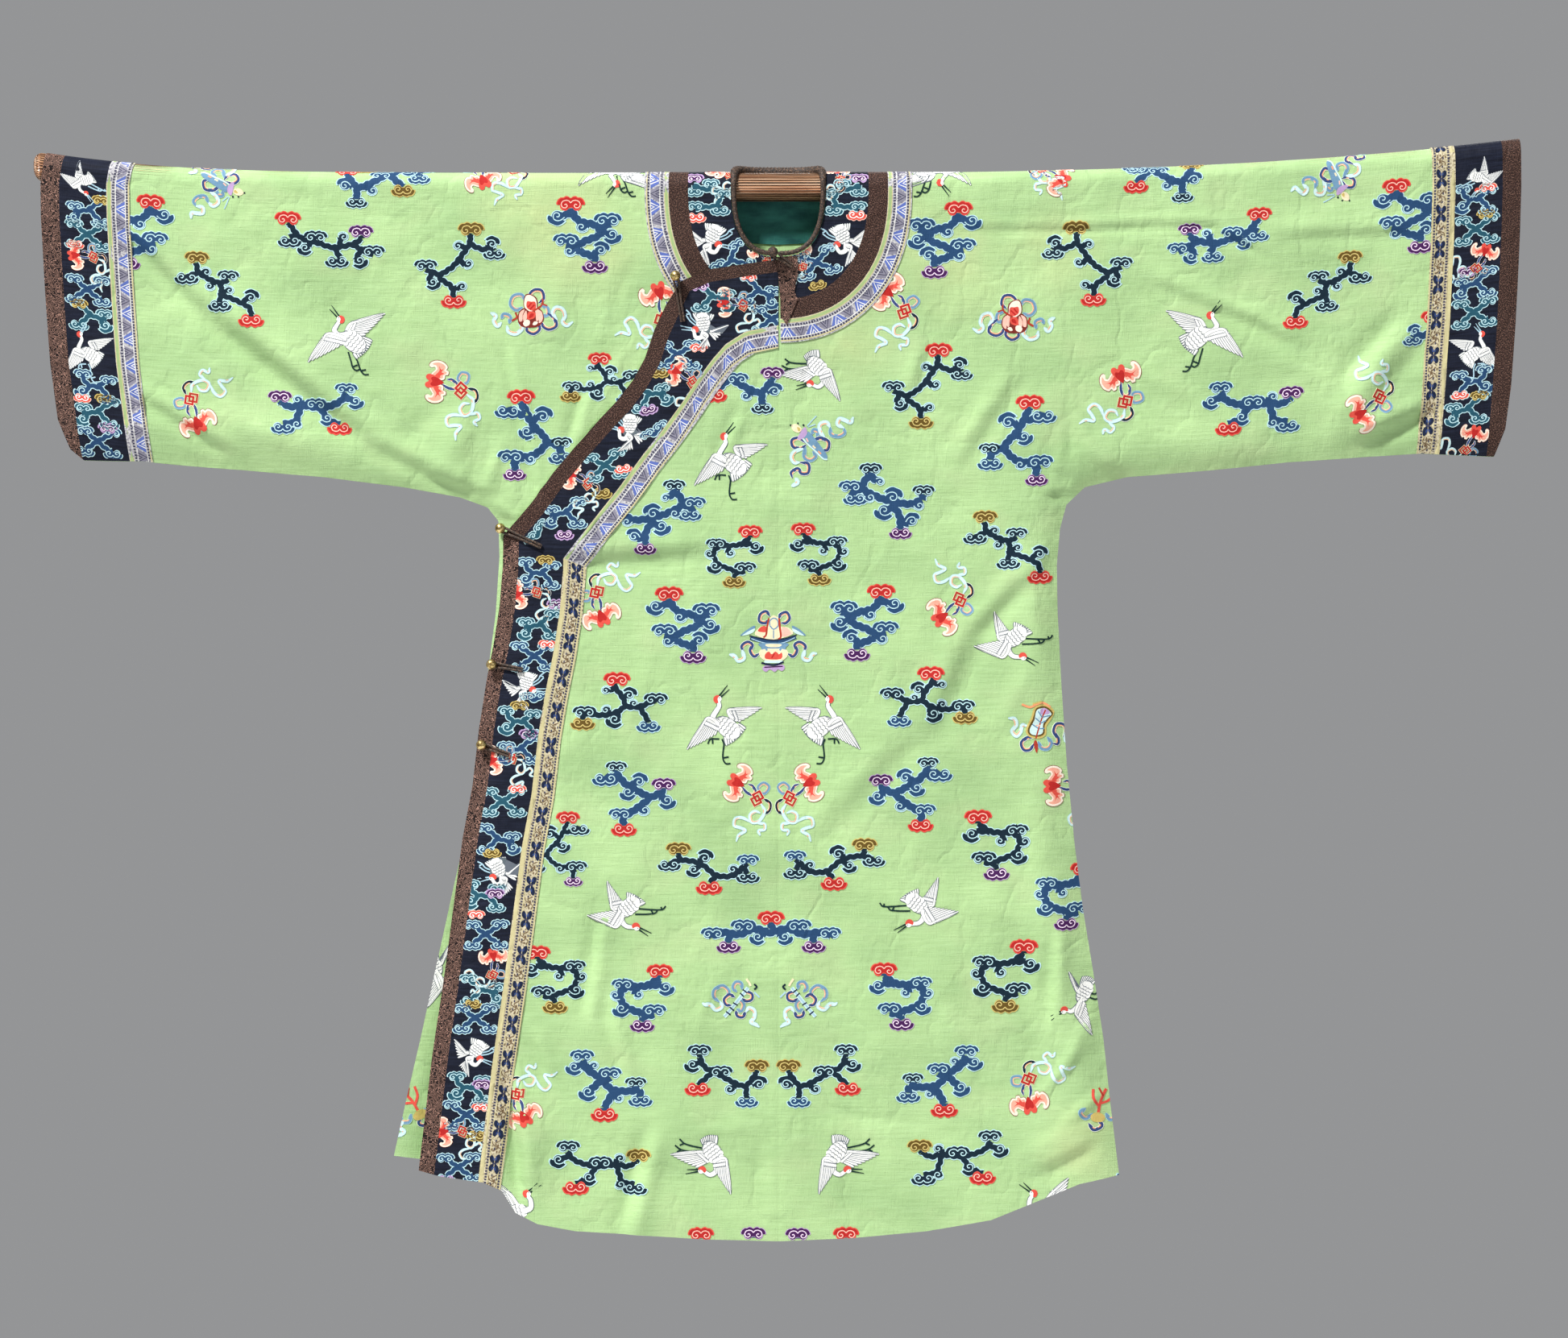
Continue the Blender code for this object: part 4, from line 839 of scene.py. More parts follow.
def disc(x, y, radius, sides=12, squash=1):
    turn = 2 * np.pi * np.arange(sides) / sides
    return np.stack([x + radius * np.cos(turn), y + radius * squash * np.sin(turn)], axis=1)


def moved(points, x=0, y=0, turn=0, size=1, flip=False):
    points = np.asarray(points, float) * ((-size if flip else size), size)
    cos, sin = math.cos(math.radians(turn)), math.sin(math.radians(turn))
    return points @ np.array([[cos, sin], [-sin, cos]]) + (x, y)


def placed(shapes, x=0, y=0, turn=0, size=1, flip=False, raised=0):
    return [(level + raised, silk, moved(shape, x, y, turn, size, flip)) for level, silk, shape in shapes]


# The silks of a cloud: contour, its width, cap and lobes, and the drawn line.
cloudSilks = {
    "dark": ("lineBlue", 1, "cloudDark", "lineBlue"), "blue": ("lineBlue", 0.95, "cloudBlue", "lineBlue"),
    "teal": ("lineBlue", 0.9, "cloudTeal", "lineBlue"), "red": ("coral", 1.15, "deepRed", "rose"),
    "gold": ("gold", 1, "goldDark", "goldLine"), "plum": ("lilac", 0.7, "plum", "pinkWhite"),
    "lilac": ("lilac", 1.5, "plum", "pinkWhite"), "rose": ("rose", 0.8, "coral", "silkWhite"),
}
# A cloud head: a scalloped cap over two lobes, drawn with one line that ends in a spiral in each lobe.
cloudHead = {
    "cap":  [(0, 4.9), (2.4, 6.3), (5.2, 6.7), (7.6, 5.4), (10.4, 5.4), (13.4, 3.2), (14.9, 0),
            (13.6, -1.7), (11.2, -1)],
    "lobe": [(11.2, -1), (11.3, -3), (9.4, -5.7), (6.4, -6.9), (3.4, -6), (1.9, -4.3)],
    "line":  [(0, 0.4), (2, 2.6), (5.4, 3.3), (9, 2), (10.6, -1.2), (9, -4.3), (5.8, -4.9), (3.9, -2.9),
             (5.2, -0.9), (7, -1.6)],
    "lineHalf": 0.5, "size": 0.88, "curlSize": 1.05, "stemHalf": {'dark': 2.9, 'blue': 3.9, 'teal': 2.6},
}
# A curl on a stem: half a head, with or without its cap.
cloudCurl = {
    "lobe":  [(-5.6, 2.6), (-2.4, 4.9), (1.8, 4.7), (5, 2), (5.2, -1.8), (2.4, -4.6), (-1.4, -4.6),
             (-4.6, -2.6)],
    "cap":  [(-6.6, 4.2), (-3.6, 7.4), (0.6, 8.8), (4.6, 7.4), (8, 5.6), (9.6, 2), (8.4, -0.8), (5.6, 0.4),
            (0, 3)],
    "line":  [(-6.4, 1), (-3.2, 3.5), (0.4, 4.2), (3.5, 2.7), (4.3, -0.4), (2.8, -2.9), (0.1, -3.2),
             (-1.7, -1.4), (-0.7, 0.6), (1.2, 0.3)],
}


def headShapes(tone, size=1, plump=1):
    contour, rim, body, lineSilk = cloudSilks[tone]
    rows = cloudHead["cap"] + cloudHead["lobe"]
    whole = spline(rows + [(-x, y) for x, y in rows[::-1]][:-1], 3, closed=True) * (1, plump)
    grown = whole * (1 + rim / 14 / size, 1 + rim / 6.8 / size)
    shapes = [(0, contour, grown), (1, body, whole)]
    for side in (1, -1):
        shapes.append((3, lineSilk, stroke(spline(cloudHead["line"], 3) * (side, plump),
                                           cloudHead["lineHalf"] / size)))
    return placed(shapes, size=size)


def curlShapes(tone, size, capped):
    contour, rim, body, lineSilk = cloudSilks[tone]
    shapes = []
    for key in ("lobe", "cap") if capped else ("lobe",):
        part = spline(cloudCurl[key], 3, closed=True)
        middle = part.mean(axis=0)
        shapes += [(0, contour, middle + (part - middle) * (1 + rim / 5.4 / size)), (1, body, part)]
    shapes.append((3, lineSilk, stroke(spline(cloudCurl["line"], 3), cloudHead["lineHalf"] / size)))
    return placed(shapes, size=size)


# A cloud's stem: its sides go in steps.
def stemShapes(line, half, tone, size=1):
    contour, rim, body, _ = cloudSilks[tone]
    line = resampled(line, max(5, int(lengthOf(line) / 0.9)))
    along = np.linspace(0, lengthOf(line), len(line))
    steps = along / (7.6 * size)
    wave = lambda shift: half * size + 1.3 * size * np.abs(np.sin(np.pi * (steps + shift))) - 0.6
    return [(0, contour, stroke(line, wave(0) + rim, wave(0.5) + rim)),
            (1, body, stroke(line, wave(0), wave(0.5)))]


# Layouts hold stems, heads (x, y, upside down, size, role) and curls (x, y, turn, size, flipped, capped).
# The roles are m for the cloud's own tone, o for its other tone, a and b for the upper and lower accents.
cloudLayouts = {
    "forked": (
        [[(12, 33), (11, 23), (2, 10), (-7, -1), (-21, -12), (-9, -22), (-6, -32)],
         [(11, 24), (24, 18), (37, 18)], [(-20, -10), (-32, -6)]],
        [(13, 40, 0, 1.05, "a"), (-6, -39, 1, 0.98, "b"), (38, 12, 1, 0.92, "m"), (-36, 1, 0, 0.95, "m")],
        [(35, 24, 0, 0.9, 0, 1), (-1, 22, 10, 0.85, 1, 0), (10, 2, -150, 0.85, 1, 0),
         (-29, -18, 180, 0.9, 1, 1), (3, -22, 10, 0.85, 0, 0)]),
    "stepped": (
        [[(15, 33), (8, 18), (2, 8), (-11, -8), (0, -22), (20, -28), (23, -38)], [(8, 20), (28, 22)],
         [(-11, -8), (-26, -14)]],
        [(16, 40, 0, 1.1, "a"), (23, -45, 1, 0.92, "b"), (30, 23, 1, 1.12, "m"), (-28, -9, 0, 0.88, "o"),
         (-27, -27, 1, 1.05, "m"), (27, -24, 0, 1.1, "m")],
        [(-7, 19, 0, 1.15, 1, 1), (9, 2, 190, 1, 1, 1), (6, -28, 190, 0.95, 0, 0)]),
    "branch": (
        [[(-17, 27), (-24, 13), (-8, 3), (8, -2), (28, -5), (40, 0)], [(8, -4), (16, -18), (17, -29)],
         [(-24, 13), (-34, 8)]],
        [(-15, 34, 0, 0.95, "o"), (17, -37, 1, 0.92, "b"), (-37, 15, 0, 0.98, "m"), (-32, 0, 1, 1, "m"),
         (42, 10, 0, 0.92, "o")],
        [(8, 3, 0, 1.15, 0, 1), (0, -12, 180, 1.15, 0, 1), (37, -7, 170, 0.85, 1, 0),
         (29, -23, 20, 0.95, 0, 1), (-5, 20, -20, 0.75, 0, 0), (-16, 2, 180, 0.9, 1, 0)]),
    "falling": (
        [[(-23, 24), (-20, 14), (-9, 7), (3, 2), (6, -9), (20, -15), (34, -22), (37, -30)],
         [(-20, 14), (-32, 8)], [(4, -8), (3, -18)]],
        [(-22, 30, 0, 0.98, "a"), (37, -37, 1, 0.98, "b"), (-33, 6, 1, 0.98, "m"), (12, 12, 0, 0.9, "m"),
         (3, -22, 1, 0.98, "m")],
        [(-12, 15, 0, 0.85, 0, 0), (-8, -1, 190, 0.8, 0, 0), (13, -4, 0, 0.8, 0, 0),
         (36, -11, 0, 0.95, 0, 1)]),
    "zigzag": (
        [[(-16, 28), (-8, 17), (10, 12), (14, 2), (-4, -6), (-10, -14), (8, -22), (9, -27)],
         [(-14, 26), (-28, 22)], [(12, 8), (26, 14)]],
        [(-17, 36, 0, 1.1, "a"), (9, -33, 1, 1.05, "b"), (23, 19, 0, 1.15, "m"), (-22, -3, 0, 1.08, "m")],
        [(-31, 22, 180, 1.1, 0, 1), (-5, 10, 185, 1, 0, 0), (27, 2, 175, 1.1, 1, 1),
         (-18, -16, 185, 0.95, 0, 0), (15, -14, 0, 1, 0, 1)]),
    "spread": (
        [[(-12, 23), (-2, 10), (0, 0), (-14, -8), (-30, -9), (-44, -6)], [(-1, 0), (16, 0), (32, 7)],
         [(16, 0), (25, -14)]],
        [(-8, 30, 0, 1.05, "a"), (-45, -19, 1, 0.98, "b"), (34, 9, 0, 1, "m"), (26, -22, 1, 1, "o"),
         (-43, -5, 0, 0.98, "m")],
        [(-20, 18, 0, 0.75, 1, 0), (5, 13, 0, 0.9, 0, 1), (-10, -14, 180, 1.05, 0, 1),
         (-20, -3, 10, 0.8, 1, 0), (10, 4, 0, 0.7, 0, 0)]),
    "leaning": (
        [[(-20, 27), (-8, 14), (6, 6), (15, -1), (1, -13), (-11, -21), (-11, -28)], [(-18, 24), (-28, 21)],
         [(15, -1), (30, 6), (31, 10)]],
        [(-19, 34, 0, 0.88, "o"), (-11, -35, 1, 0.98, "b"), (32, 15, 0, 0.98, "a"), (-31, 19, 1, 1.1, "m"),
         (-15, -17, 0, 0.95, "m")],
        [(5, 18, 0, 1, 0, 1), (-6, 6, 190, 1, 0, 1), (35, -3, 175, 1.05, 1, 1),
         (11, -14, 180, 0.95, 1, 0)]),
    "long": (
        [[(-33, 14), (-30, 9), (-10, 5), (8, -8), (26, -8), (38, 2)], [(8, -8), (1, -16)],
         [(-30, 9), (-42, 5)]],
        [(-33, 21, 0, 1, "a"), (0, -22, 1, 1.02, "b"), (-43, 2, 1, 0.95, "m"), (42, 9, 0, 0.92, "o"),
         (42, -11, 1, 0.98, "m")],
        [(-5, 11, 0, 1, 0, 1), (-16, -2, 190, 0.9, 0, 1), (26, -1, 0, 0.85, 1, 0)]),
    "crook": (
        [[(20, 22), (6, 13), (-16, 11), (-23, 2), (-17, -10), (2, -18), (2, -24)], [(8, 13), (22, 14)],
         [(-16, 12), (-22, 18)]],
        [(20, 29, 0, 1.02, "a"), (1, -31, 1, 1, "b"), (-20, 15, 0, 0.92, "m"), (14, -13, 0, 1, "m")],
        [(26, 11, 180, 1, 1, 1), (-28, 2, 150, 0.9, 0, 0), (-3, 3, 190, 0.8, 1, 0),
         (-21, -12, 185, 1, 0, 1)]),
    "cross": (
        [[(-30, 25), (-24, 15), (-10, 6), (2, -6), (20, -8), (32, -6)], [(4, -8), (-6, -26)],
         [(-8, 5), (-20, -6)]],
        [(-30, 31, 0, 1, "m"), (-6, -34, 1, 1.05, "b"), (0, 12, 0, 0.98, "m"), (28, 2, 0, 0.88, "o"),
         (33, -19, 1, 1, "m")],
        [(-38, 18, 180, 1, 0, 1), (-17, 20, 0, 0.75, 0, 0), (-23, -9, 180, 1.1, 0, 1),
         (10, -16, 185, 0.75, 1, 0)]),
    "swag": (
        [[(-26, 21), (-20, 10), (-8, 4), (10, -6), (24, -10), (34, 2), (35, 5)], [(24, -10), (25, -20)],
         [(-12, 5), (-24, -6)]],
        [(-26, 29, 0, 0.98, "m"), (36, 12, 0, 0.98, "a"), (-28, -14, 1, 1, "b"), (-3, 6, 0, 0.98, "m"),
         (25, -28, 1, 0.95, "o")],
        [(-33, 13, 180, 0.95, 0, 1), (38, -8, 10, 0.95, 0, 1), (7, -14, 185, 0.9, 0, 0)]),
    "rising": (
        [[(-33, 20), (-24, 10), (-2, 4), (20, 6), (32, 4), (42, 9)], [(20, 5), (26, -14)],
         [(-2, 4), (-10, -10)]],
        [(-32, 26, 0, 0.98, "m"), (44, 16, 0, 1, "a"), (-24, -20, 1, 1.02, "b"), (3, 9, 0, 1, "m"),
         (40, -21, 1, 1.02, "m")],
        [(-42, 11, 180, 1, 0, 1), (24, 13, 0, 0.85, 0, 0), (-9, -8, 185, 1, 0, 1),
         (24, -16, 180, 0.85, 1, 0)]),
    "banner": (
        [[(-48, 22), (-36, 8), (-16, 2), (0, -2), (20, 2), (30, 8)], [(0, -2), (6, -12)],
         [(20, 1), (38, -8)]],
        [(-50, 29, 0, 1.02, "a"), (29, 16, 0, 1, "b"), (-48, 3, 1, 0.98, "m"), (-20, 10, 0, 0.98, "m"),
         (3, -18, 1, 0.98, "m"), (42, -5, 0, 0.98, "m")],
        [(-31, -3, 185, 0.9, 0, 1), (10, 10, 0, 0.85, 0, 0), (27, -16, 185, 0.95, 1, 1)]),
    "arch": (
        [[(0, 7), (0, -2), (-18, 2), (-34, -4), (-50, -2), (-64, -5)], [(0, -2), (18, 2), (34, -4),
         (50, -2), (64, -5)]],
        [(0, 14, 0, 1.05, "a"), (-46, -18, 1, 0.98, "b"), (46, -18, 1, 0.98, "b"), (-30, 6, 0, 1.05, "m"),
         (30, 6, 0, 1.05, "m"), (-63, -2, 0, 0.98, "m"), (63, -2, 0, 0.98, "m")],
        [(-14, -7, 180, 0.95, 0, 1), (14, -7, 180, 0.95, 1, 1)]),
    "single": ([], [(0, 0, 0, 1, "a")], []),
    # closer clouds for the navy bands
    "bandCross": (
        [[(-13, 10), (-2, 1), (12, -9)], [(-14, -9), (-2, 0), (14, 10)]],
        [(-15, 11, 0, 0.74, "m"), (15, 12, 0, 0.74, "m"), (-15, -12, 1, 0.76, "m"),
         (15, -12, 1, 0.76, "m")],
        []),
    "bandFork": (
        [[(-18, -2), (-4, 0), (6, 7), (15, 12)], [(0, 1), (10, -9)]],
        [(-16, 4, 0, 0.72, "m"), (14, 13, 0, 0.74, "m"), (12, -12, 1, 0.8, "m")],
        [(-16, -9, 180, 0.85, 0, 1)]),
    "bandStep": (
        [[(-15, 12), (-8, 2), (6, -1), (15, -11)], [(2, 0), (12, 8)]],
        [(-13, 13, 0, 0.74, "m"), (15, 9, 0, 0.72, "m"), (14, -13, 1, 0.76, "m")],
        [(-13, -6, 180, 0.95, 0, 1)]),
    "bandCrook": (
        [[(-16, 12), (-6, 8), (5, 6), (12, -2), (8, -10), (-8, -12)]],
        [(-15, 4, 1, 0.72, "m"), (3, 14, 0, 0.68, "m"), (17, 4, 0, 0.68, "m"), (13, -16, 1, 0.8, "m"),
         (-14, -10, 0, 0.72, "m")],
        []),
    "bandSmall": ([[(-8, 2), (0, -2), (8, 3)]], [(-8, 2, 0, 0.62, "m"), (9, 3, 0, 0.6, "m")], []),
}


def cloud(layout, size=1, tone="blue", upper="red", lower="plum", stemHalf=None):
    roles = {"m": tone, "o": "blue" if tone == "dark" else "dark", "a": upper, "b": lower}
    (stems, heads, curls), shapes = cloudLayouts[layout], []
    half = stemHalf or cloudHead["stemHalf"].get(tone, 2.4)
    stems = [spline(stem, 6) for stem in stems]
    for stem in stems:
        shapes += stemShapes(stem * size, half, tone, size)
    everyPlace = np.vstack(stems) if stems else np.zeros((1, 2))
    for x, y, inverted, scale, role in heads:
        root = np.array([x, y + (5 if inverted else -5) * scale])
        shapes += branchShapes(everyPlace, root, half, tone, size)
        head = headShapes(roles[role], scale * size * cloudHead["size"], 1.04 if role in "ab" else 1)
        shapes += placed(head, x * size, y * size, 180 * inverted, raised=4 if role in "ab" else 0)
    for x, y, turn, scale, flip, capped in curls:
        root = moved([(-4 * scale, -1)], x, y, turn, flip=flip)[0]
        shapes += branchShapes(everyPlace, root, half, tone, size)
        curl = curlShapes(tone, scale * size * cloudHead["curlSize"], capped)
        shapes += placed(curl, x * size, y * size, turn, flip=flip)
    return shapes


# A short branch from the nearest place on the stems.
def branchShapes(places, root, half, tone, size):
    nearest = places[np.argmin(np.linalg.norm(places - root, axis=1))]
    if np.linalg.norm(nearest - root) < 1.5:
        return []
    return stemShapes(np.array([nearest, (nearest + root) / 2, root]) * size, half, tone, size)


# A crane's wing: feathers fanned between two tips, with rows of coverts along the arm.
def wingShapes(shoulder, wrist, tip, lastTip, count, covert, line):
    shoulder, wrist, tip, lastTip = (np.array(p, float) for p in (shoulder, wrist, tip, lastTip))
    mid = (tip + lastTip) / 2 + ((tip + lastTip) / 2 - (shoulder + wrist) / 2) * 0.06
    tipAt = lambda t: tip * (1 - t) ** 2 + 2 * mid * t * (1 - t) + lastTip * t**2
    shapes, t = [], np.linspace(0, 1, count)[:, None]
    tips, roots = tipAt(t), wrist + (shoulder - wrist) * t * 0.92
    wide = np.linalg.norm(shoulder - wrist) / count * 0.62 + 0.5
    for root, end in list(zip(roots, tips))[::-1]:
        shapes += bladeShapes(root, end, max(1.1, lengthOf(tips) / (count - 1) * 0.42), line)
    scale = [(0, "featherLine", disc(0, 0, wide * 1.3, 9)), (0, "silkWhite", disc(-0.75, 0, wide * 1.3, 9))]
    for row, reach in enumerate((0.34, 0.1)):
        for k in range(count + 2, -1, -1):
            t = min(1, max(0, (k + 0.5 * (row % 2)) / (count + 1)))
            arm = wrist + (shoulder - wrist) * t * 1.02
            way = (tipAt(t) - arm) / np.linalg.norm(tipAt(t) - arm)
            place = arm + way * covert * reach * 2.2
            shapes += placed(scale, *place, math.degrees(math.atan2(way[1], way[0])))
    elbow, hand = (shoulder + wrist) / 2 + (wrist - tip) * 0.05, wrist + (tip - wrist) * 0.3
    arm = spline([shoulder, elbow, wrist, hand, tip], 4)
    taper = np.linspace(1.9, 0.4, len(arm))
    return shapes + [(0, "featherLine", stroke(arm, taper + line * 0.7)),
                     (0, "silkWhite", stroke(arm, taper))]


def bladeShapes(root, end, half, line, edge="featherLine"):
    spine = root + (end - root) * np.array([0, 0.3, 0.65, 0.88, 1])[:, None]
    taper = half * np.array([0.8, 1, 0.92, 0.62, 0.1])
    return [(0, edge, stroke(spine, taper + line)), (0, "silkWhite", stroke(spine, taper))]


# Poses hold far and near wings (shoulder, wrist, tip, last tip, feathers), the body (x, y, half length, half
# width, turn), the tail's roots and tips, the neck's line, the head with the beak's way, and the legs.
cranePoses = {
    "standing": {
        "far": ((6, 9), (2, 18), (37, 20), (15, 6), 7),
        "near": ((-9, 3), (-21, 9), (-42, -24), (-13, -9), 9), "body": (1, -1, 15, 9.5, -38),
        "tail": ((12, 3), (-2, -10), (20, -2), (0, -20), 10),
        "neck": [(-9, 4), (-15, 9), (-11, 17), (-8, 22), (-9, 28)], "head": (-9, 30, 48),
        "legs": [[(-5, -13), (-3, -19), (-4, -27), (-4, -34), (-1, -39), (4, -39)], [(-4, -33), (2, -32)],
                 [(-8, -13), (-17, -13), (-20, -18)], [(-15, -13), (-15, -18)]]},
    "stepping": {
        "far": ((0, 14), (-5, 25), (-42, 36), (-21, 13), 8),
        "near": ((2, 9), (21, 13), (41, -18), (6, 1), 9), "body": (-8, 5, 15, 10, 40),
        "tail": ((-17, 10), (-8, -7), (-28, 6), (-12, -13), 10),
        "neck": [(-2, 13), (8, 12), (13, 17), (11, 22), (7, 28)], "head": (7, 30, 50),
        "legs": [[(-7, -7), (-12, -16), (-15, -25), (-19, -30), (-24, -30)], [(-16, -26), (-21, -25)],
                 [(-2, -6), (-5, -16), (-7, -23), (-11, -26), (-15, -24)], [(-7, -22), (-12, -20)]]},
    "flying": {
        "far": ((-4, 5), (-16, 2), (-21, 32), (-8, 13), 7),
        "near": ((-4, -5), (-12, -18), (-43, -5), (-15, 0), 8), "body": (2, 4, 14, 8.5, 38),
        "tail": ((2, 12), (12, 6), (1, 20), (20, 9), 9), "neck": [(-6, -4), (-5, -12), (0, -17), (8, -18)],
        "head": (11, -18, -30), "legs": [[(13, 2), (26, 1), (38, 1), (42, 5)], [(38, 1), (37, 4)],
                 [(9, -4), (20, -4), (30, -3), (33, 0)], [(26, 1), (29, -4)]]},
    "diving": {
        "far": ((4, 4), (-6, 12), (-40, 9), (-13, -5), 8), "near": ((8, 2), (20, 4), (25, -34), (8, -8), 8),
        "body": (6, 11, 14, 9, -52), "tail": ((-2, 17), (9, 21), (-7, 26), (10, 30), 9),
        "neck": [(11, 4), (10, -8), (3, -13), (-4, -9)], "head": (-7, -8, 186),
        "legs": [[(-6, 12), (-16, 12), (-28, 14), (-35, 19)], [(-28, 14), (-33, 12)],
                 [(-6, 16), (-16, 18), (-25, 21), (-30, 26)], [(-25, 21), (-30, 19)]]},
    "swooping": {
        "far": ((4, 6), (-2, 14), (-11, 36), (2, 16), 7),
        "near": ((2, 2), (-3, -12), (16, -37), (9, -4), 8), "body": (7, 12, 13, 8, 60),
        "tail": ((3, 20), (13, 19), (6, 30), (20, 24), 8), "neck": [(5, 4), (-1, -4), (-8, -9), (-14, -7)],
        "head": (-17, -8, 212), "legs": [[(12, 11), (20, 9), (24, 14)], [(12, 6), (20, 3), (25, 5)]]},
    "hovering": {
        "far": ((-4, 2), (-10, 0), (-27, 14), (-19, -8), 7),
        "near": ((-1, -5), (-8, -7), (-1, -29), (-15, -18), 7), "body": (3, 7, 12, 8, 62),
        "tail": ((-4, 12), (9, 6), (-6, 20), (18, 13), 10),
        "neck": [(-2, -3), (-1, -11), (5, -13), (9, -8)], "head": (10, -5, -12),
        "legs": [[(9, 3), (18, 7), (21, 11), (27, 14)], [(21, 11), (25, 9)], [(9, 0), (18, 3), (25, 8)]]},
    "soaring": {
        "far": ((2, -4), (10, 8), (30, 25), (24, -2), 8),
        "near": ((6, -10), (20, -10), (42, -20), (24, -24), 8), "body": (5, -12, 14, 8.5, 160),
        "tail": ((12, -10), (12, -20), (24, -14), (20, -26), 8),
        "neck": [(-4, -10), (-12, -6), (-12, 3), (-8, 8)], "head": (-9, 10, 140),
        "legs": [[(4, -20), (2, -30), (6, -38)], [(8, -20), (8, -32), (13, -36)]]},
}


craneHead = {
    "crown":  [(3, 0.6), (1.6, 3.4), (-2, 4.4), (-5, 2.4), (-5.6, -1.4), (-3.2, -3.2), (-1.4, -0.4),
              (0.6, 0.8)],
    "beak": [(1.5, 1), (9, 1.6), (16, 2.2)],
}


def crane(pose, size=1, line=0.6, legHalf=0.85, legSilk="legGreen"):
    plan, line = cranePoses[pose], line / size
    shapes = [(0, legSilk, stroke(spline(leg, 3), legHalf / size)) for leg in plan["legs"]]
    rootA, rootB, tipA, tipB, count = plan["tail"]
    for t in np.linspace(0, 1, count):
        pairs = ((rootA, rootB), (tipA, tipB))
        root, end = (np.array(a, float) * (1 - t) + np.array(b, float) * t for a, b in pairs)
        end = root + (end - root) * (1 + 0.25 * math.sin(math.pi * t))
        shapes += bladeShapes(root, end, 1.25, line * 1.5, "featherGrey")
    shapes += wingShapes(*plan["far"], 7, line)
    x, y, long, wide, turn = plan["body"]
    profile = disc(0, 0, 1, 18) * (long, wide)
    shapes += placed([(0, "featherGrey", profile * (1 + line / wide)), (0, "silkWhite", profile)], x, y,
                     turn)
    scale = [(0, "featherLine", disc(0, 0, 3.1, 9)), (0, "silkWhite", disc(0.8, 0, 3.1, 9))]
    for row in range(6):
        for k in range(4 - row % 2):
            u, v = -0.74 + row * 0.27, (k - (3 - row % 2) / 2) * 0.46
            if u * u + v * v < 0.8:
                shapes += placed(scale, *moved([(u * long, v * wide)], x, y, turn)[0], turn)
    neckLine = spline(plan["neck"], 4)
    taper = np.linspace(3, 1.75, len(neckLine))
    shapes += [(0, "featherGrey", stroke(neckLine, taper + line)),
               (0, "silkWhite", stroke(neckLine, taper))]
    shapes += wingShapes(*plan["near"], 8, line)
    hx, hy, aim = plan["head"]
    beak = []
    for side in (1, -1):
        rows = spline([(along + side * (along > 9), side * open) for along, open in craneHead["beak"]], 3)
        beak.append((0, legSilk, stroke(rows, np.linspace(0.95, 0.3, 7) / size ** 0.5)))
    skull = [(0, "silkWhite", disc(0, -0.6, 3.2)), (0, "coral", spline(craneHead["crown"], 2, closed=True)),
             (0, "legGreen", disc(1.5, -0.4, 0.6, 6))]
    if 90 < aim < 270 or aim < -90:
        skull = [(level, silk, outline * (1, -1)) for level, silk, outline in skull]
    return placed(shapes + placed(beak + skull, hx, hy, aim), size=size)


# A fluttering ribbon: contour, band, and a warm crescent inside each bend.
ribbonTones = {"navy": ("silkWhite", "ribbonNavy"), "slate": ("paleBlue", "slate"),
               "white": ("paleBlue", "whiteSilk"), "deep": ("silkWhite", "cloudDark")}


def ribbonShapes(tone, points, half=1.9):
    contour, band = ribbonTones[tone]
    line = spline(points, 7)
    line = resampled(line, max(8, int(lengthOf(line) / 1.1)))
    taper = half * np.clip(np.minimum(np.linspace(0.25, 6, len(line)), np.linspace(6, 0.25, len(line))),
                           0.25, 1)
    side, way = sideways(line), np.gradient(line, axis=0)
    turn = np.gradient(np.unwrap(np.arctan2(way[:, 1], way[:, 0])))
    bend = turn / np.maximum(np.linalg.norm(way, axis=1), 1e-6)
    shapes = [(0, contour, stroke(line, taper + 0.4)), (1, band, stroke(line, taper))]
    for sign in (1, -1):
        sharp = (bend * sign > 0.07).astype(int)
        edges = np.flatnonzero(np.diff(np.concatenate([[0], sharp, [0]])))
        for a, b in zip(edges[::2], edges[1::2]):
            if b - a < 4:
                continue
            reached = side[a:b] * sign * half
            swell = np.sin(np.pi * np.linspace(0.06, 0.94, b - a))[:, None]
            inner = line[a:b] + reached * 0.45
            for level, (silk, reach) in enumerate((("orange", 1.35), ("cream", 0.45))):
                start = inner + reached * 0.45 * level
                end = start + side[a:b] * sign * reach * half * 0.62 * swell
                shapes.append((2 + level, silk, np.vstack([start, end[::-1]])))
    return shapes


# A knot of two linked squares.
def knotShapes(x, y, size):
    square = np.array([(-4.6, -4.6), (4.6, -4.6), (4.6, 4.6), (-4.6, 4.6), (-4.6, -4.6)])
    shapes = []
    for level, (silk, half) in enumerate((("cream", 1.75), ("brick", 1.3))):
        for shift, tone in ((-2.3, silk), (2.3, "deepRed" if silk == "brick" else silk)):
            for a, b in zip(square, square[1:]):
                side = np.array([a, b]) + (shift, shift * 0.8)
                reach = (side[1] - side[0]) / 9.2 * half
                shapes.append((20 + level * 2 + (shift > 0), tone,
                               stroke(side + np.array([-reach, reach]), half)))
    return placed(shapes, x, y, 8, size)


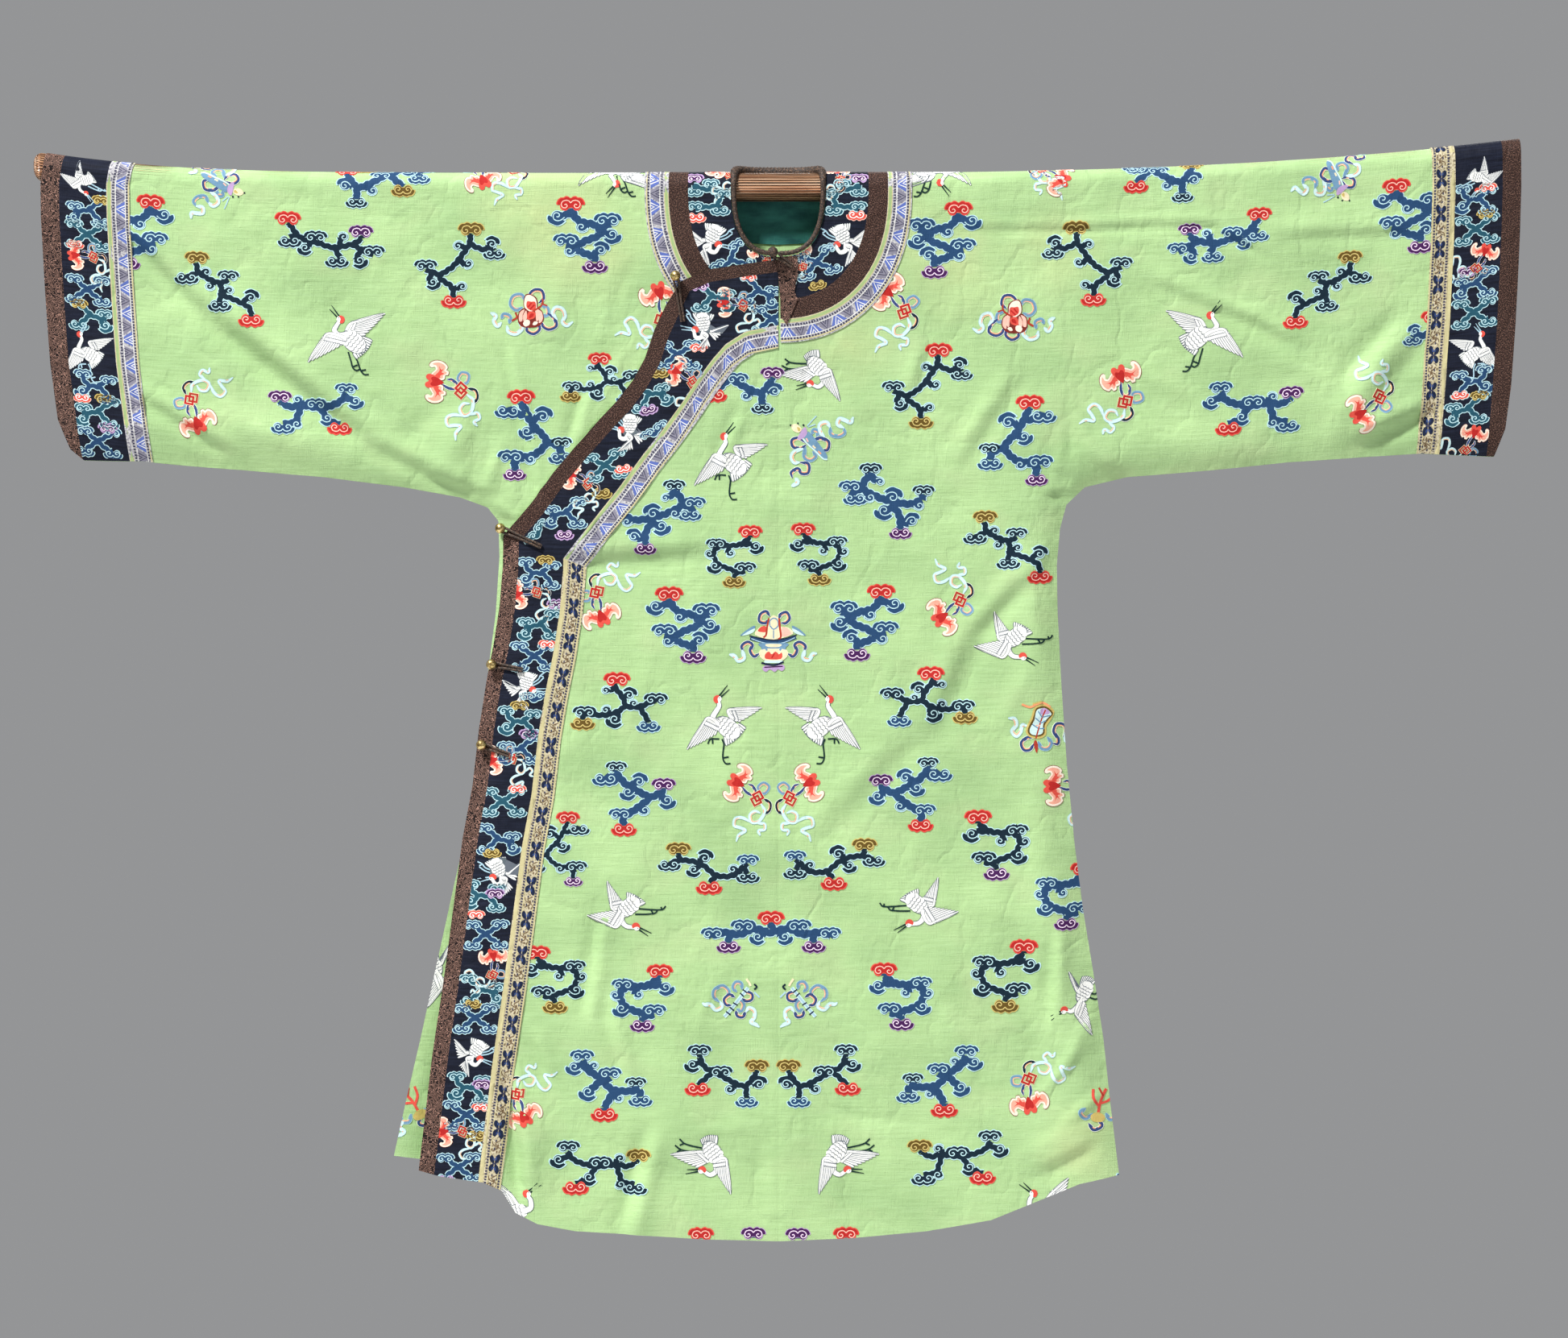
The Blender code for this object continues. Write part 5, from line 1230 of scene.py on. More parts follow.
batShape = {
    "wing":  [(2.5, 5), (7, 6.6), (11, 4), (14, 1.6), (16.6, 3.2), (15.4, 6.8), (17.4, 9.4), (21.6, 7.4),
             (24.2, 1), (23, -6.6), (18.4, -11.6), (14.8, -10.4), (13.4, -13.4), (9.4, -13), (8.6, -9.8),
             (5.2, -10), (2.6, -7)],
    "inner":  [(3.6, 3.2), (7.4, 4.4), (11.4, 1.8), (14.4, -0.4), (18.4, 1.6), (19.2, 6.4), (22, 0.8),
              (21, -5.8), (17.8, -9.2), (13.6, -8.2), (12.4, -11.2), (10.2, -10.8), (8, -7.6), (4.6, -7.2)],
    "patch":  [(5, 1.6), (8.6, 0.4), (13, -2.8), (18.8, -1.6), (14.2, -4.6), (16.2, -7.6), (11.4, -5.4),
              (10.4, -8.8), (7.4, -4.6), (5, -4.6)],
    "body":  [(0, 7.6), (2.4, 10.8), (5.8, 11.2), (8, 8), (7.2, 3), (4.8, -2.6), (0, -8.4), (-4.8, -2.6),
             (-7.2, 3), (-8, 8), (-5.8, 11.2), (-2.4, 10.8)],
    "belly":  [(0, 3.6), (3, 5.4), (5.4, 3), (4.6, -2), (2.2, -6.8), (0, -9.6), (-2.2, -6.8), (-4.6, -2),
              (-5.4, 3), (-3, 5.4)],
}


# A bat's ribbons: tone, half width, line.
batRibbons = [
    ("navy", 1.5, [(4, -7), (6, -14), (11, -19), (16, -17), (15, -10), (11, -6)]),
    ("slate", 1.6, [(19, -21), (26, -22), (32, -17), (28, -11), (21, -13), (20, -19)]),
    ("deep", 1.6, [(22, -28), (27, -35), (24, -42), (17, -45)]),
    ("white", 1.6, [(17, -32), (18, -42), (8, -50), (0, -48), (1, -40), (8, -38), (13, -42)]),
    ("white", 1.4, [(6, -52), (13, -55), (11, -61), (4, -60), (4, -66)]),
    ("white", 1.5, [(-1, -48), (-8, -40), (-16, -38), (-20, -45), (-14, -50), (-10, -55), (-19, -57),
                    (-24, -63)]),
]


# A bat that carries a knot on ribbons.
def bat(size=1, lean=42):
    body = []
    for side in (1, -1):
        for level, (silk, key) in enumerate((("wingEdge", "wing"), ("pink", "inner"), ("coral", "patch"))):
            shape = spline(batShape[key], 3, closed=True) * (side, 1)
            if key == "wing":
                body.append((4, "brownLine", (shape - shape.mean(axis=0)) * 1.05 + shape.mean(axis=0)))
            body.append((5 + level, silk, shape))
    body += [(9, "coral", spline(batShape["body"], 3, closed=True)),
             (10, "deepRed", spline(batShape["belly"], 3, closed=True))]
    shapes = placed(body, 0, 0, lean, 0.95)
    for tone, half, points in batRibbons:
        shapes += ribbonShapes(tone, points, half)
    return placed(shapes + knotShapes(15, -25, 0.92), 0, 13, 0, size)


# Emblems: ribbons (tone, lines), then shapes (silk, half width or 0 for filled ones, lines or outlines).
emblems = {
    "lotus": (
        [("navy", [(-4, 13), (-10, 17), (-8, 24), (-1, 27), (5, 21), (3, 14)]), ("slate", [(-10, 8),
         (-18, 12), (-25, 6), (-23, -3), (-15, -5), (-10, 1)], [(6, 13), (14, 14), (18, 8), (13, 3)]),
         ("navy", [(17, 9), (26, 8), (32, 2), (28, -5), (21, -6), (15, -2)],
         [(14, -5), (18, -11), (15, -18), (8, -19), (4, -15)]), ("white", [(30, 8), (22, 12), (22, 19),
         (29, 21), (35, 16), (36, 9), (42, 8), (46, 15)],
         [(-6, -15), (1, -19), (-2, -28), (-10, -30), (-15, -25)]),
         ("slate", [(-14, -22), (-17, -15), (-24, -16), (-24, -22)]),
         ("white", [(-22, -25), (-24, -31), (-30, -28), (-31, -22), (-38, -22)])],
        [("brownLine", 0, [(-13, 8), (-14, 15), (-9, 18), (-1, 17), (5, 8), (5, 3), (0, 0), (-8, 1)]),
         ("wingEdge", 0, [(-12, 8), (-13, 14), (-9, 17), (-2, 16), (4, 8), (4, 4), (0, 1), (-8, 2)]),
         ("coral", 0, [(-9, 9), (-5, 11), (-1, 13), (3, 8), (1, 3), (-6, 3)]),
         ("deepRed", 0.8, [(-5, 4), (-4, 10)], [(-2, 3), (0, 10)]), ("brownLine", 0, [(-8, 1), (-11, -6),
         (-7, -15), (0, -18), (9, -14), (16, -8), (17, 1), (11, 8), (4, 8), (0, 1)]),
         ("rose", 0, [(-7, 0), (-10, -6), (-6, -14), (-3, -12), (-6, -6)],
         [(-5, 0), (-5, -7), (-1, -12), (0, -7)], [(4, 7), (9, 4), (14, -5), (16, 0), (11, 7)],
         [(3, 6), (6, 2), (11, -5), (12, 1), (8, 6)]), ("coral", 0, [(-2, 0), (1, -8), (7, -3), (5, 3)]),
         ("deepRed", 0, [(1, -1), (2, -6), (5, -2), (4, 1)]),
         ("wingEdge", 0, [(0, -9), (4, -8), (6, -12), (3, -16), (-1, -14)],
         [(9, -6), (13, -5), (12, -9), (9, -10)]), ("brick", 1, [(5, 20), (7, 13), (2, 3)]),
         ("brick", 0.8, [(7, 15), (13, 16)]), ("brick", 1.1, [(-14, -8), (-10, -12), (-13, -18)])]),
    "basket": (
        [("navy", [(-5, 24), (-9, 20), (-15, 22), (-14, 29), (-8, 32), (-4, 27)],
         [(6, 24), (8, 29), (14, 31), (17, 25), (13, 20), (8, 20)], [(-15, -13), (-21, -16), (-25, -10),
         (-23, -4), (-28, -1), (-34, -5), (-33, -12)], [(15, -13), (21, -16), (25, -10), (23, -4), (28, -1),
         (34, -5), (33, -12)]), ("white", [(-34, -9), (-32, -18), (-38, -21), (-42, -16), (-48, -14)],
         [(34, -9), (32, -18), (38, -20), (42, -14), (47, -13)])],
        [("slate", 0, [(-20, 17), (-23, 10), (-36, 6), (-28, 13)]),
         ("whiteSilk", 0, [(-20, 14), (-23, 9), (-34, 6), (-27, 11)]),
         ("slate", 0, [(20, 17), (23, 10), (35, 6), (28, 13)]),
         ("whiteSilk", 0, [(20, 14), (23, 9), (33, 6), (27, 11)]), ("cream", 0, [(-20, 7), (-14, 16),
         (-7, 17), (-4, 25), (0, 28), (5, 25), (8, 16), (16, 15), (21, 8), (0, 2)]),
         ("coral", 0, [(-17, 11), (-13, 16), (-8, 16), (-8, 10)]),
         ("rose", 0, [(9, 15), (15, 14), (19, 8), (9, 5)]), ("slate", 0.7, [(-4, 17), (0, 13), (5, 17),
         (4, 23), (0, 25), (-4, 22), (-4, 17)]), ("brick", 1, [(-5, 25), (-7, 15), (-8, 7), (-11, 4)],
         [(6, 25), (7, 15), (8, 5), (5, 2)]), ("slate", 0.6, [(0, 12), (0, 3)]),
         ("cloudBlue", 2.4, [(-25, 4), (-14, 1), (0, -1), (13, 1), (24, 5)]),
         ("navyLine", 0.7, [(-26, 6), (-14, 3), (0, 1), (13, 3), (25, 7)]),
         ("paleBlue", 0.5, [(-24, 3), (-13, -1), (0, -3), (12, -1), (23, 4)]), ("slate", 0, [(-15, -2),
         (15, -2), (13, -7), (11, -12), (-11, -12), (-13, -7)]),
         ("cream", 0, [(-8, -3), (8, -3), (6, -6), (-6, -6)], [(-14, -9), (14, -9), (11, -20), (-11, -20)]),
         ("coral", 0, [(-9, -14), (-5, -11), (-2, -14), (2, -11), (6, -14), (9, -12), (8, -19), (-8, -19)]),
         ("deepRed", 0.7, [(-2, -18), (1, -13)]), ("slate", 1, [(-13, -8), (-9, -7), (-7, -10)],
         [(13, -8), (9, -7), (7, -10)]), ("whiteSilk", 1.4, [(-10, -22), (10, -22)]),
         ("navyLine", 1, [(-13, -23), (-6, -25), (4, -25), (11, -22)]), ("lilac", 0, [(-9, -26), (0, -27),
         (10, -25), (12, -29), (9, -32), (5, -30), (1, -33), (-4, -30), (-8, -33), (-12, -30)]),
         ("plum", 0.7, [(-10, -28), (10, -27)])]),
    "fan": (
        [("navy", [(11, -12), (17, -9), (25, -11), (26, -19), (20, -22), (13, -18)]),
         ("slate", [(-3, -18), (-4, -26), (2, -30), (8, -26), (8, -18)]), ("navy", [(-5, -27), (-10, -30),
         (-13, -25), (-12, -16), (-18, -10), (-25, -14), (-25, -21), (-19, -26)]),
         ("white", [(-23, -22), (-20, -31), (-27, -34), (-32, -29), (-41, -33)], [(11, 2), (16, 6), (21, 0),
         (27, -2), (29, 5), (22, 9), (21, 16), (27, 20)])],
        [("gold", 0, [(-22, 4), (-18, 14), (-10, 18), (-3, 17), (4, 9), (14, 1), (16, -6), (12, -12),
         (5, -16), (-3, -15), (-7, -7), (-14, -3)]), ("goldDark", 0, [(-20, 3), (-16, 13), (-9, 16),
         (-4, 15), (3, 7), (12, 0), (14, -6), (10, -11), (4, -14), (-2, -13), (-6, -5), (-13, -1)]),
         ("whiteSilk", 0, [(-18, 3), (-15, 11), (-9, 14), (-4, 13), (2, 5), (10, -1), (12, -6), (9, -10),
         (4, -12), (-1, -11), (-5, -3), (-13, 1)]),
         ("lilac", 0, [(-17, 5), (-15, 11), (-10, 13), (-7, 8), (-12, 5)]),
         ("brick", 0.8, [(-14, 10), (-4, 1), (9, -14)]), ("slate", 0.7, [(-7, 4), (-6, 12)],
         [(-3, 0), (0, 7)], [(2, -5), (6, 2)], [(-8, 4), (-16, 2)], [(-3, -1), (-9, -1)],
         [(1, -6), (-4, -8)]), ("rose", 0.8, [(-1, -3), (3, -1)]),
         ("orange", 1.2, [(-20, 10), (-15, 18), (-8, 20), (0, 20), (7, 27)]),
         ("gold", 0.8, [(-14, 20), (-4, 22)]), ("brick", 0, [(10, -15), (14, -19), (15, -29), (10, -22)])]),
    "pipes": (
        [("slate", [(-9, 2), (-6, 10), (-13, 16), (-22, 12), (-23, 4), (-17, -2)]),
         ("navy", [(1, 3), (-5, 6), (-11, 1), (-9, -5), (-3, -6)],
         [(9, 4), (13, 9), (20, 7), (20, 1), (14, -1), (9, 2)]),
         ("slate", [(3, 9), (-1, 14), (2, 20), (8, 19), (9, 12)],
         [(2, -2), (8, -1), (11, -6), (8, -12), (3, -10)]),
         ("navy", [(2, -12), (4, -18), (10, -19), (13, -13)]), ("white", [(13, -14), (17, -9), (23, -12),
         (23, -20), (19, -25), (25, -28), (29, -31)], [(-16, -1), (-14, -8), (-21, -11), (-27, -5),
         (-33, -5), (-36, -3)])],
        [("whiteSilk", 2.2, [(-11, -19), (-4, -11), (4, -1), (12, 9), (16, 14)]),
         ("paleBlue", 1.2, [(-11, -19), (4, -1), (16, 14)]), ("navyLine", 0.8, [(-9, -13), (-4, -17)],
         [(-5, -8), (0, -12)], [(-1, -3), (4, -6)], [(7, 8), (11, 4)], [(10, 12), (15, 8)]),
         ("cream", 1.2, [(14, 24), (17, 20), (19, 16)]), ("cloudDark", 1, [(23, 18), (26, 15), (23, 12)]),
         ("paleBlue", 0.9, [(23, 9), (29, 3)])]),
    "scroll": (
        [("navy", [(-11, 3), (-17, 8), (-25, 6), (-24, -1), (-16, -3), (-10, 1)],
         [(-3, 6), (6, 8), (14, 4), (13, -4), (7, -5)]),
         ("slate", [(-11, -1), (-12, -12), (-6, -16), (0, -12), (-3, -6)],
         [(-4, 12), (-2, 17), (3, 15), (1, 10)]),
         ("white", [(10, 9), (5, 15), (5, 23), (12, 25), (16, 19)]),
         ("slate", [(16, 20), (17, 12), (25, 10), (31, 13), (31, 19)]),
         ("white", [(31, 19), (24, 23), (26, 29), (33, 27), (38, 25), (41, 31)],
         [(-13, -3), (-22, -6), (-26, -12), (-23, -18), (-17, -18)]), ("navy", [(-17, -18), (-8, -20),
         (-8, -29), (-15, -30), (-19, -25), (-26, -29), (-25, -35)]),
         ("white", [(-22, -35), (-19, -40), (-26, -44)])],
        [("slate", 0, [(-9, 13), (-6, 14), (10, -6), (13, -13), (9, -14), (-3, -3), (-12, 8)]),
         ("whiteSilk", 0.8, [(-15, 9), (-9, 2), (0, -6), (8, -14), (13, -15)]),
         ("lilac", 0, [(-20, 7), (-12, 20), (-9, 14), (-13, 8)]), ("rose", 0.8, [(-10, 8), (-8, 4)]),
         ("cream", 0.9, [(-3, 0), (0, -3)]), ("orange", 0.8, [(3, -6), (6, -9)]),
         ("cream", 0, [(-26, 22), (-20, 23), (-15, 18), (-18, 14), (-24, 16)]),
         ("gold", 0, [(-20, 20), (-16, 18), (-18, 15)]), ("cloudDark", 0, disc(-27, 22, 1, 6),
         disc(-19, 24, 1, 6), disc(-13, 22, 1.2, 6)), ("paleBlue", 0.6, [(-9, 21), (-3, 28), (1, 32)],
         [(-8, 20), (0, 23)])]),
    "coral": (
        [("slate", [(-8, -8), (-14, -14), (-21, -10), (-18, -4)],
         [(6, -10), (13, -16), (20, -11), (15, -5)]),
         ("white", [(-18, -10), (-26, -14), (-24, -21), (-33, -22)]),
         ("navy", [(0, -14), (-6, -22), (2, -27), (9, -21)])],
        [("coral", 1.5, [(0, -12), (0, 4), (-4, 18)]), ("coral", 1.4, [(0, -2), (8, 6), (10, 16)]),
         ("coral", 1.3, [(-1, 2), (-9, 6), (-14, 14)]), ("brick", 1, [(-2, 10), (4, 18)]),
         ("gold", 0, [(-8, -12), (0, -8), (8, -12), (5, -18), (-5, -18)])]),
}


def emblem(name, size=1):
    ribbons, drawn = emblems[name]
    shapes = [shape for tone, *rows in ribbons for points in rows for shape in ribbonShapes(tone, points)]
    for number, (silk, half, *rows) in enumerate(drawn):
        for points in rows:
            line = spline(points, 3, closed=not half) if len(points) > 2 else np.array(points, float)
            shapes.append((6 + number, silk, stroke(line, half) if half else line))
    return placed(shapes, size=size)


def signedArea(shape):
    x, y = shape[:, 0], shape[:, 1]
    return 0.5 * float((x * np.roll(y, -1) - np.roll(x, -1) * y).sum())


# Motifs worked into a panel or a band. rows are (shapes, x, w, face); each owner is (outline, lapped).
def workedPiece(name, rows, owners, height, spacing, skirt, tolerance, side=1):
    colours, points, flats, faces, slots, count = {}, [], [], [], [], 0
    for shapes, x, w, face in rows:
        flat = [(colour, shape * (1, -face) + (x, w)) for _, colour, shape in shapes]
        low = np.min([shape.min(axis=0) for _, shape in flat], axis=0)
        high = np.max([shape.max(axis=0) for _, shape in flat], axis=0)
        sides = (np.linspace(low[k], high[k], 7) for k in range(2))
        corners = np.array(np.meshgrid(*sides, indexing="ij")).reshape(2, -1).T
        for outline, lapped in owners:
            within = inside(outline, corners)
            if not within.any() or (outline.max(axis=0) <= low).any() or (outline.min(axis=0) >= high).any():
                continue
            made = workedMotif(flat, None if within.all() else outline, low, high, spacing, tolerance)
            if made is None:
                continue
            cut, triangles, colourOf = made
            edges = edgesOf(triangles)
            known = {tuple(edge) for edge in edges}
            rim = [edge for edge in known if (edge[1], edge[0]) not in known]
            owner = {tuple(edge): k % len(triangles) for k, edge in enumerate(edges)}
            ends = sorted({end for edge in rim for end in edge})
            lower = {end: count + len(cut) + k for k, end in enumerate(ends)}
            points.append(laidOn(cut, side * height, lapped))
            points.append(laidOn(cut[ends], side * (height - skirt), lapped))
            flats += [cut, cut[ends]]
            faces += (triangles + count).tolist()
            faces += [(b + count, a + count, lower[a], lower[b]) for a, b in rim]
            silks = list(colourOf) + [colourOf[owner[edge]] for edge in rim]
            slots += [colours.setdefault(colour, len(colours)) for colour in silks]
            count += len(cut) + len(ends)
    faces = [face[::side] for face in faces]
    used = [finishes[colour] for colour in colours]
    piece = meshFrom(name, np.vstack(points), faces, used, slots, np.vstack(flats))
    print(f"{name}: {len(faces)} faces, {len(colours)} silks")
    return piece


# The topmost silk over each place of a motif, cut off at an outline: points, triangles and their silks.
def silkRegions(flat, outline, low, high):
    points, shapes, edges, start = [], [], [], 0
    for _, shape in flat:
        if signedArea(shape) < 0:
            shape = shape[::-1]
        points.append(shape)
        shapes.append(list(range(start, start + len(shape))))
        start += len(shape)
    if outline is not None:
        for a, b in zip(outline, np.roll(outline, -1, axis=0)):
            if (np.maximum(a, b) > low).all() and (np.minimum(a, b) < high).all():
                points.append(np.array([a, b]))
                edges.append((start, start + 1))
                start += 2
    made = delaunay_2d_cdt(np.vstack(points).tolist(), edges, shapes, 0, 0.01)
    places = placesOf(made)
    fans = [((face[0], b, c), owners) for face, owners in zip(made[2], made[5])
            for b, c in zip(face[1:], face[2:])]
    triangles = np.array([fan for fan, _ in fans])
    boxes = [(shape.min(axis=0) - 0.05, shape.max(axis=0) + 0.05) for _, shape in flat]
    middles = places[triangles].mean(axis=1)
    within = np.ones(len(triangles), bool) if outline is None else inside(outline, middles)
    silks = []
    for (_, faces), (x, w), kept in zip(fans, middles.tolist(), within):
        silk = None
        for face in sorted(faces, reverse=True):
            (x0, w0), (x1, w1) = boxes[face]
            if kept and x0 < x < x1 and w0 < w < w1:
                silk = flat[face][0]
                break
        silks.append(silk)
    return places, triangles, silks


# Which points of a line to keep so that it strays no further than the tolerance.
def keptPoints(line, tolerance):
    keep, spans = {0, len(line) - 1}, [(0, len(line) - 1)]
    while spans:
        a, b = spans.pop()
        if b - a < 2:
            continue
        way, away = line[b] - line[a], line[a + 1:b] - line[a]
        size = math.hypot(*way)
        off = np.hypot(away[:, 0], away[:, 1])
        if size > 1e-6:
            off = np.abs(away[:, 0] * way[1] - away[:, 1] * way[0]) / size
        far = int(np.argmax(off))
        if off[far] > tolerance:
            keep.add(a + 1 + far)
            spans += [(a, a + 1 + far), (a + 1 + far, b)]
    return sorted(keep)


# The borders between silks as chains of point numbers, each with the silk on its left and on its right.
def borderChains(triangles, silks):
    leftOf = {}
    for (a, b, c), silk in zip(triangles.tolist(), silks):
        if silk:
            leftOf.update({(a, b): silk, (b, c): silk, (c, a): silk})
    beside = {}
    for (a, b), silk in leftOf.items():
        if leftOf.get((b, a)) != silk:
            beside.setdefault(a, set()).add(b)
            beside.setdefault(b, set()).add(a)
    chains, used = [], set()
    forks = [point for point, ends in beside.items() if len(ends) != 2]
    for start in forks + list(beside):
        for follow in beside[start]:
            if (start, follow) in used:
                continue
            chain = [start, follow]
            used.update({(start, follow), (follow, start)})
            while len(beside[chain[-1]]) == 2 and chain[-1] != start:
                later = [point for point in beside[chain[-1]] if point != chain[-2]][0]
                if (chain[-1], later) in used:
                    break
                used.update({(chain[-1], later), (later, chain[-1])})
                chain.append(later)
            chains.append((chain, leftOf.get((start, follow)), leftOf.get((follow, start))))
    return chains


# One motif: its borders with no more points than they need, and the cloth between them in triangles.
def workedMotif(flat, outline, low, high, spacing, tolerance):
    places, triangles, silks = silkRegions(flat, outline, low, high)
    if not any(silks):
        return None
    edges, sides = [], []
    for chain, left, right in borderChains(triangles, silks):
        kept = keptPoints(places[chain], tolerance)
        for a, b in zip(kept, kept[1:]):
            edges.append((chain[a], chain[b]))
            sides.append((left, right))
    used, numbers = np.unique(np.array(edges), return_inverse=True)
    numbers = numbers.reshape(-1, 2)
    rows, w = [places[used]], low[1]
    while w < high[1] + spacing:
        xs = np.arange(low[0] + (len(rows) % 2) * spacing / 2, high[0] + spacing, spacing)
        rows.append(np.stack([xs, np.full(len(xs), w)], axis=1))
        w += density["rodMotif"] if abs(w) < quarter + density["rodMotifReach"] else spacing * density["row"]
    made = delaunay_2d_cdt(np.vstack(rows).tolist(), numbers.tolist(), [], 0, 0.02)
    cut = placesOf(made)
    triangles = np.array([(face[0], b, c) for face in made[2] for b, c in zip(face[1:], face[2:])])
    faceOn = {}
    for number, (a, b, c) in enumerate(triangles.tolist()):
        faceOn.update({(a, b): number, (b, c): number, (c, a): number})
    walls, votes = set(), {}
    for (a, b), origins in zip(made[1], made[4]):
        origins = [k for k in origins if k < len(sides)]
        if origins:
            walls.update({(a, b), (b, a)})
            ends = places[list(edges[origins[0]])]
            along = float(((cut[b] - cut[a]) * (ends[1] - ends[0])).sum())
            left, right = sides[origins[0]] if along > 0 else sides[origins[0]][::-1]
            for key, silk in (((a, b), left), ((b, a), right)):
                if key in faceOn:
                    votes.setdefault(faceOn[key], []).append((silk, float(np.hypot(*(cut[b] - cut[a])))))
    silkOf = [None] * len(triangles)
    seen = np.zeros(len(triangles), bool)
    rowsOf = triangles.tolist()
    for first in range(len(triangles)):
        if seen[first]:
            continue
        seen[first] = True
        group, waiting, tally = [first], [first], {}
        while waiting:
            at = waiting.pop()
            for silk, size in votes.get(at, ()):
                tally[silk] = tally.get(silk, 0) + size
            a, b, c = rowsOf[at]
            for key in ((a, b), (b, c), (c, a)):
                other = faceOn.get((key[1], key[0]))
                if key not in walls and other is not None and not seen[other]:
                    seen[other] = True
                    group.append(other)
                    waiting.append(other)
        silk = max(tally, key=tally.get) if tally else None
        for at in group:
            silkOf[at] = silk
    kept = np.array([silk is not None for silk in silkOf])
    if not kept.any():
        return None
    used, triangles = np.unique(wound(triangles[kept], cut), return_inverse=True)
    return cut[used], triangles.reshape(-1, 3), [silk for silk in silkOf if silk is not None]


# Where the motifs lie, in steps of 0.871 mm counted from the chart's corner, as seen from the front.
# Clouds: layout, across, down, flipped, tone with upper and lower accent, size.
chart = {"step": 0.871, "neck": (966, 231)}
cloudRows = [
    ("zigzag", 168, 290, 1, "blue red plum", 1), ("banner", 415, 305, 0, "dark red plum", 1),
    ("falling", 270, 355, 0, "dark gold red", 1), ("swag", 470, 222, 1, "blue red gold", 0.95),
    ("forked", 570, 330, 0, "dark gold red", 1), ("rising", 395, 510, 1, "blue plum red", 0.95),
    ("zigzag", 728, 294, 0, "blue red plum", 1), ("spread", 752, 474, 0, "dark red gold", 0.85),
    ("stepped", 665, 538, 1, "blue red plum", 1), ("zigzag", 1170, 300, 1, "blue red plum", 1),
    ("forked", 1350, 328, 1, "dark gold red", 1), ("forked", 1150, 480, 0, "dark red gold", 1),
    ("stepped", 1260, 545, 0, "blue red plum", 1), ("swag", 918, 476, 0, "blue plum red", 0.98),
    ("branch", 1098, 620, 0, "blue red plum", 1), ("falling", 1248, 675, 0, "dark gold red", 1),
    ("branch", 820, 640, 1, "blue red plum", 0.98), ("crook", 910, 690, 0, "dark red gold", 0.92),
    ("crook", 1018, 687, 1, "dark red gold", 0.92), ("zigzag", 850, 778, 0, "blue red plum", 1),
    ("zigzag", 1074, 775, 1, "blue red plum", 1), ("spread", 775, 877, 0, "dark red gold", 1),
    ("spread", 1146, 870, 1, "dark red gold", 1), ("leaning", 787, 990, 0, "blue plum red", 1),
    ("leaning", 1130, 985, 1, "blue plum red", 1), ("stepped", 690, 1052, 0, "dark red plum", 0.82),
    ("long", 880, 1077, 0, "dark gold red", 1), ("long", 1035, 1072, 1, "dark gold red", 1),
    ("crook", 1238, 1048, 1, "dark red plum", 1.05), ("crook", 1322, 1112, 0, "blue red plum", 1),
    ("arch", 957, 1155, 0, "blue red plum", 1), ("crook", 690, 1215, 1, "dark red gold", 1),
    ("crook", 796, 1238, 0, "blue red plum", 1), ("crook", 1120, 1236, 1, "blue red plum", 1),
    ("crook", 1246, 1211, 0, "dark red gold", 1.08), ("cross", 757, 1345, 0, "blue red red", 1),
    ("swag", 898, 1336, 0, "dark gold red", 1), ("swag", 1020, 1336, 1, "dark gold red", 1),
    ("cross", 1165, 1340, 1, "blue red red", 1), ("rising", 742, 1452, 0, "dark gold red", 1),
    ("rising", 1192, 1440, 1, "dark gold red", 1), ("swag", 1440, 216, 0, "blue gold red", 0.95),
    ("banner", 1508, 300, 1, "blue red plum", 0.95), ("zigzag", 1752, 270, 0, "blue red plum", 1),
    ("falling", 1650, 355, 1, "dark gold red", 1), ("rising", 1552, 508, 0, "blue plum red", 1),
    ("single", 870, 1531, 0, "blue red red", 1), ("single", 935, 1530, 0, "blue plum red", 1),
    ("single", 990, 1531, 0, "blue plum red", 1), ("single", 1050, 1531, 0, "blue red red", 1),
    ("zigzag", 1430, 1480, 0, "blue plum red", 0.9), ("forked", 1792, 432, 1, "blue red red", 0.9),
]
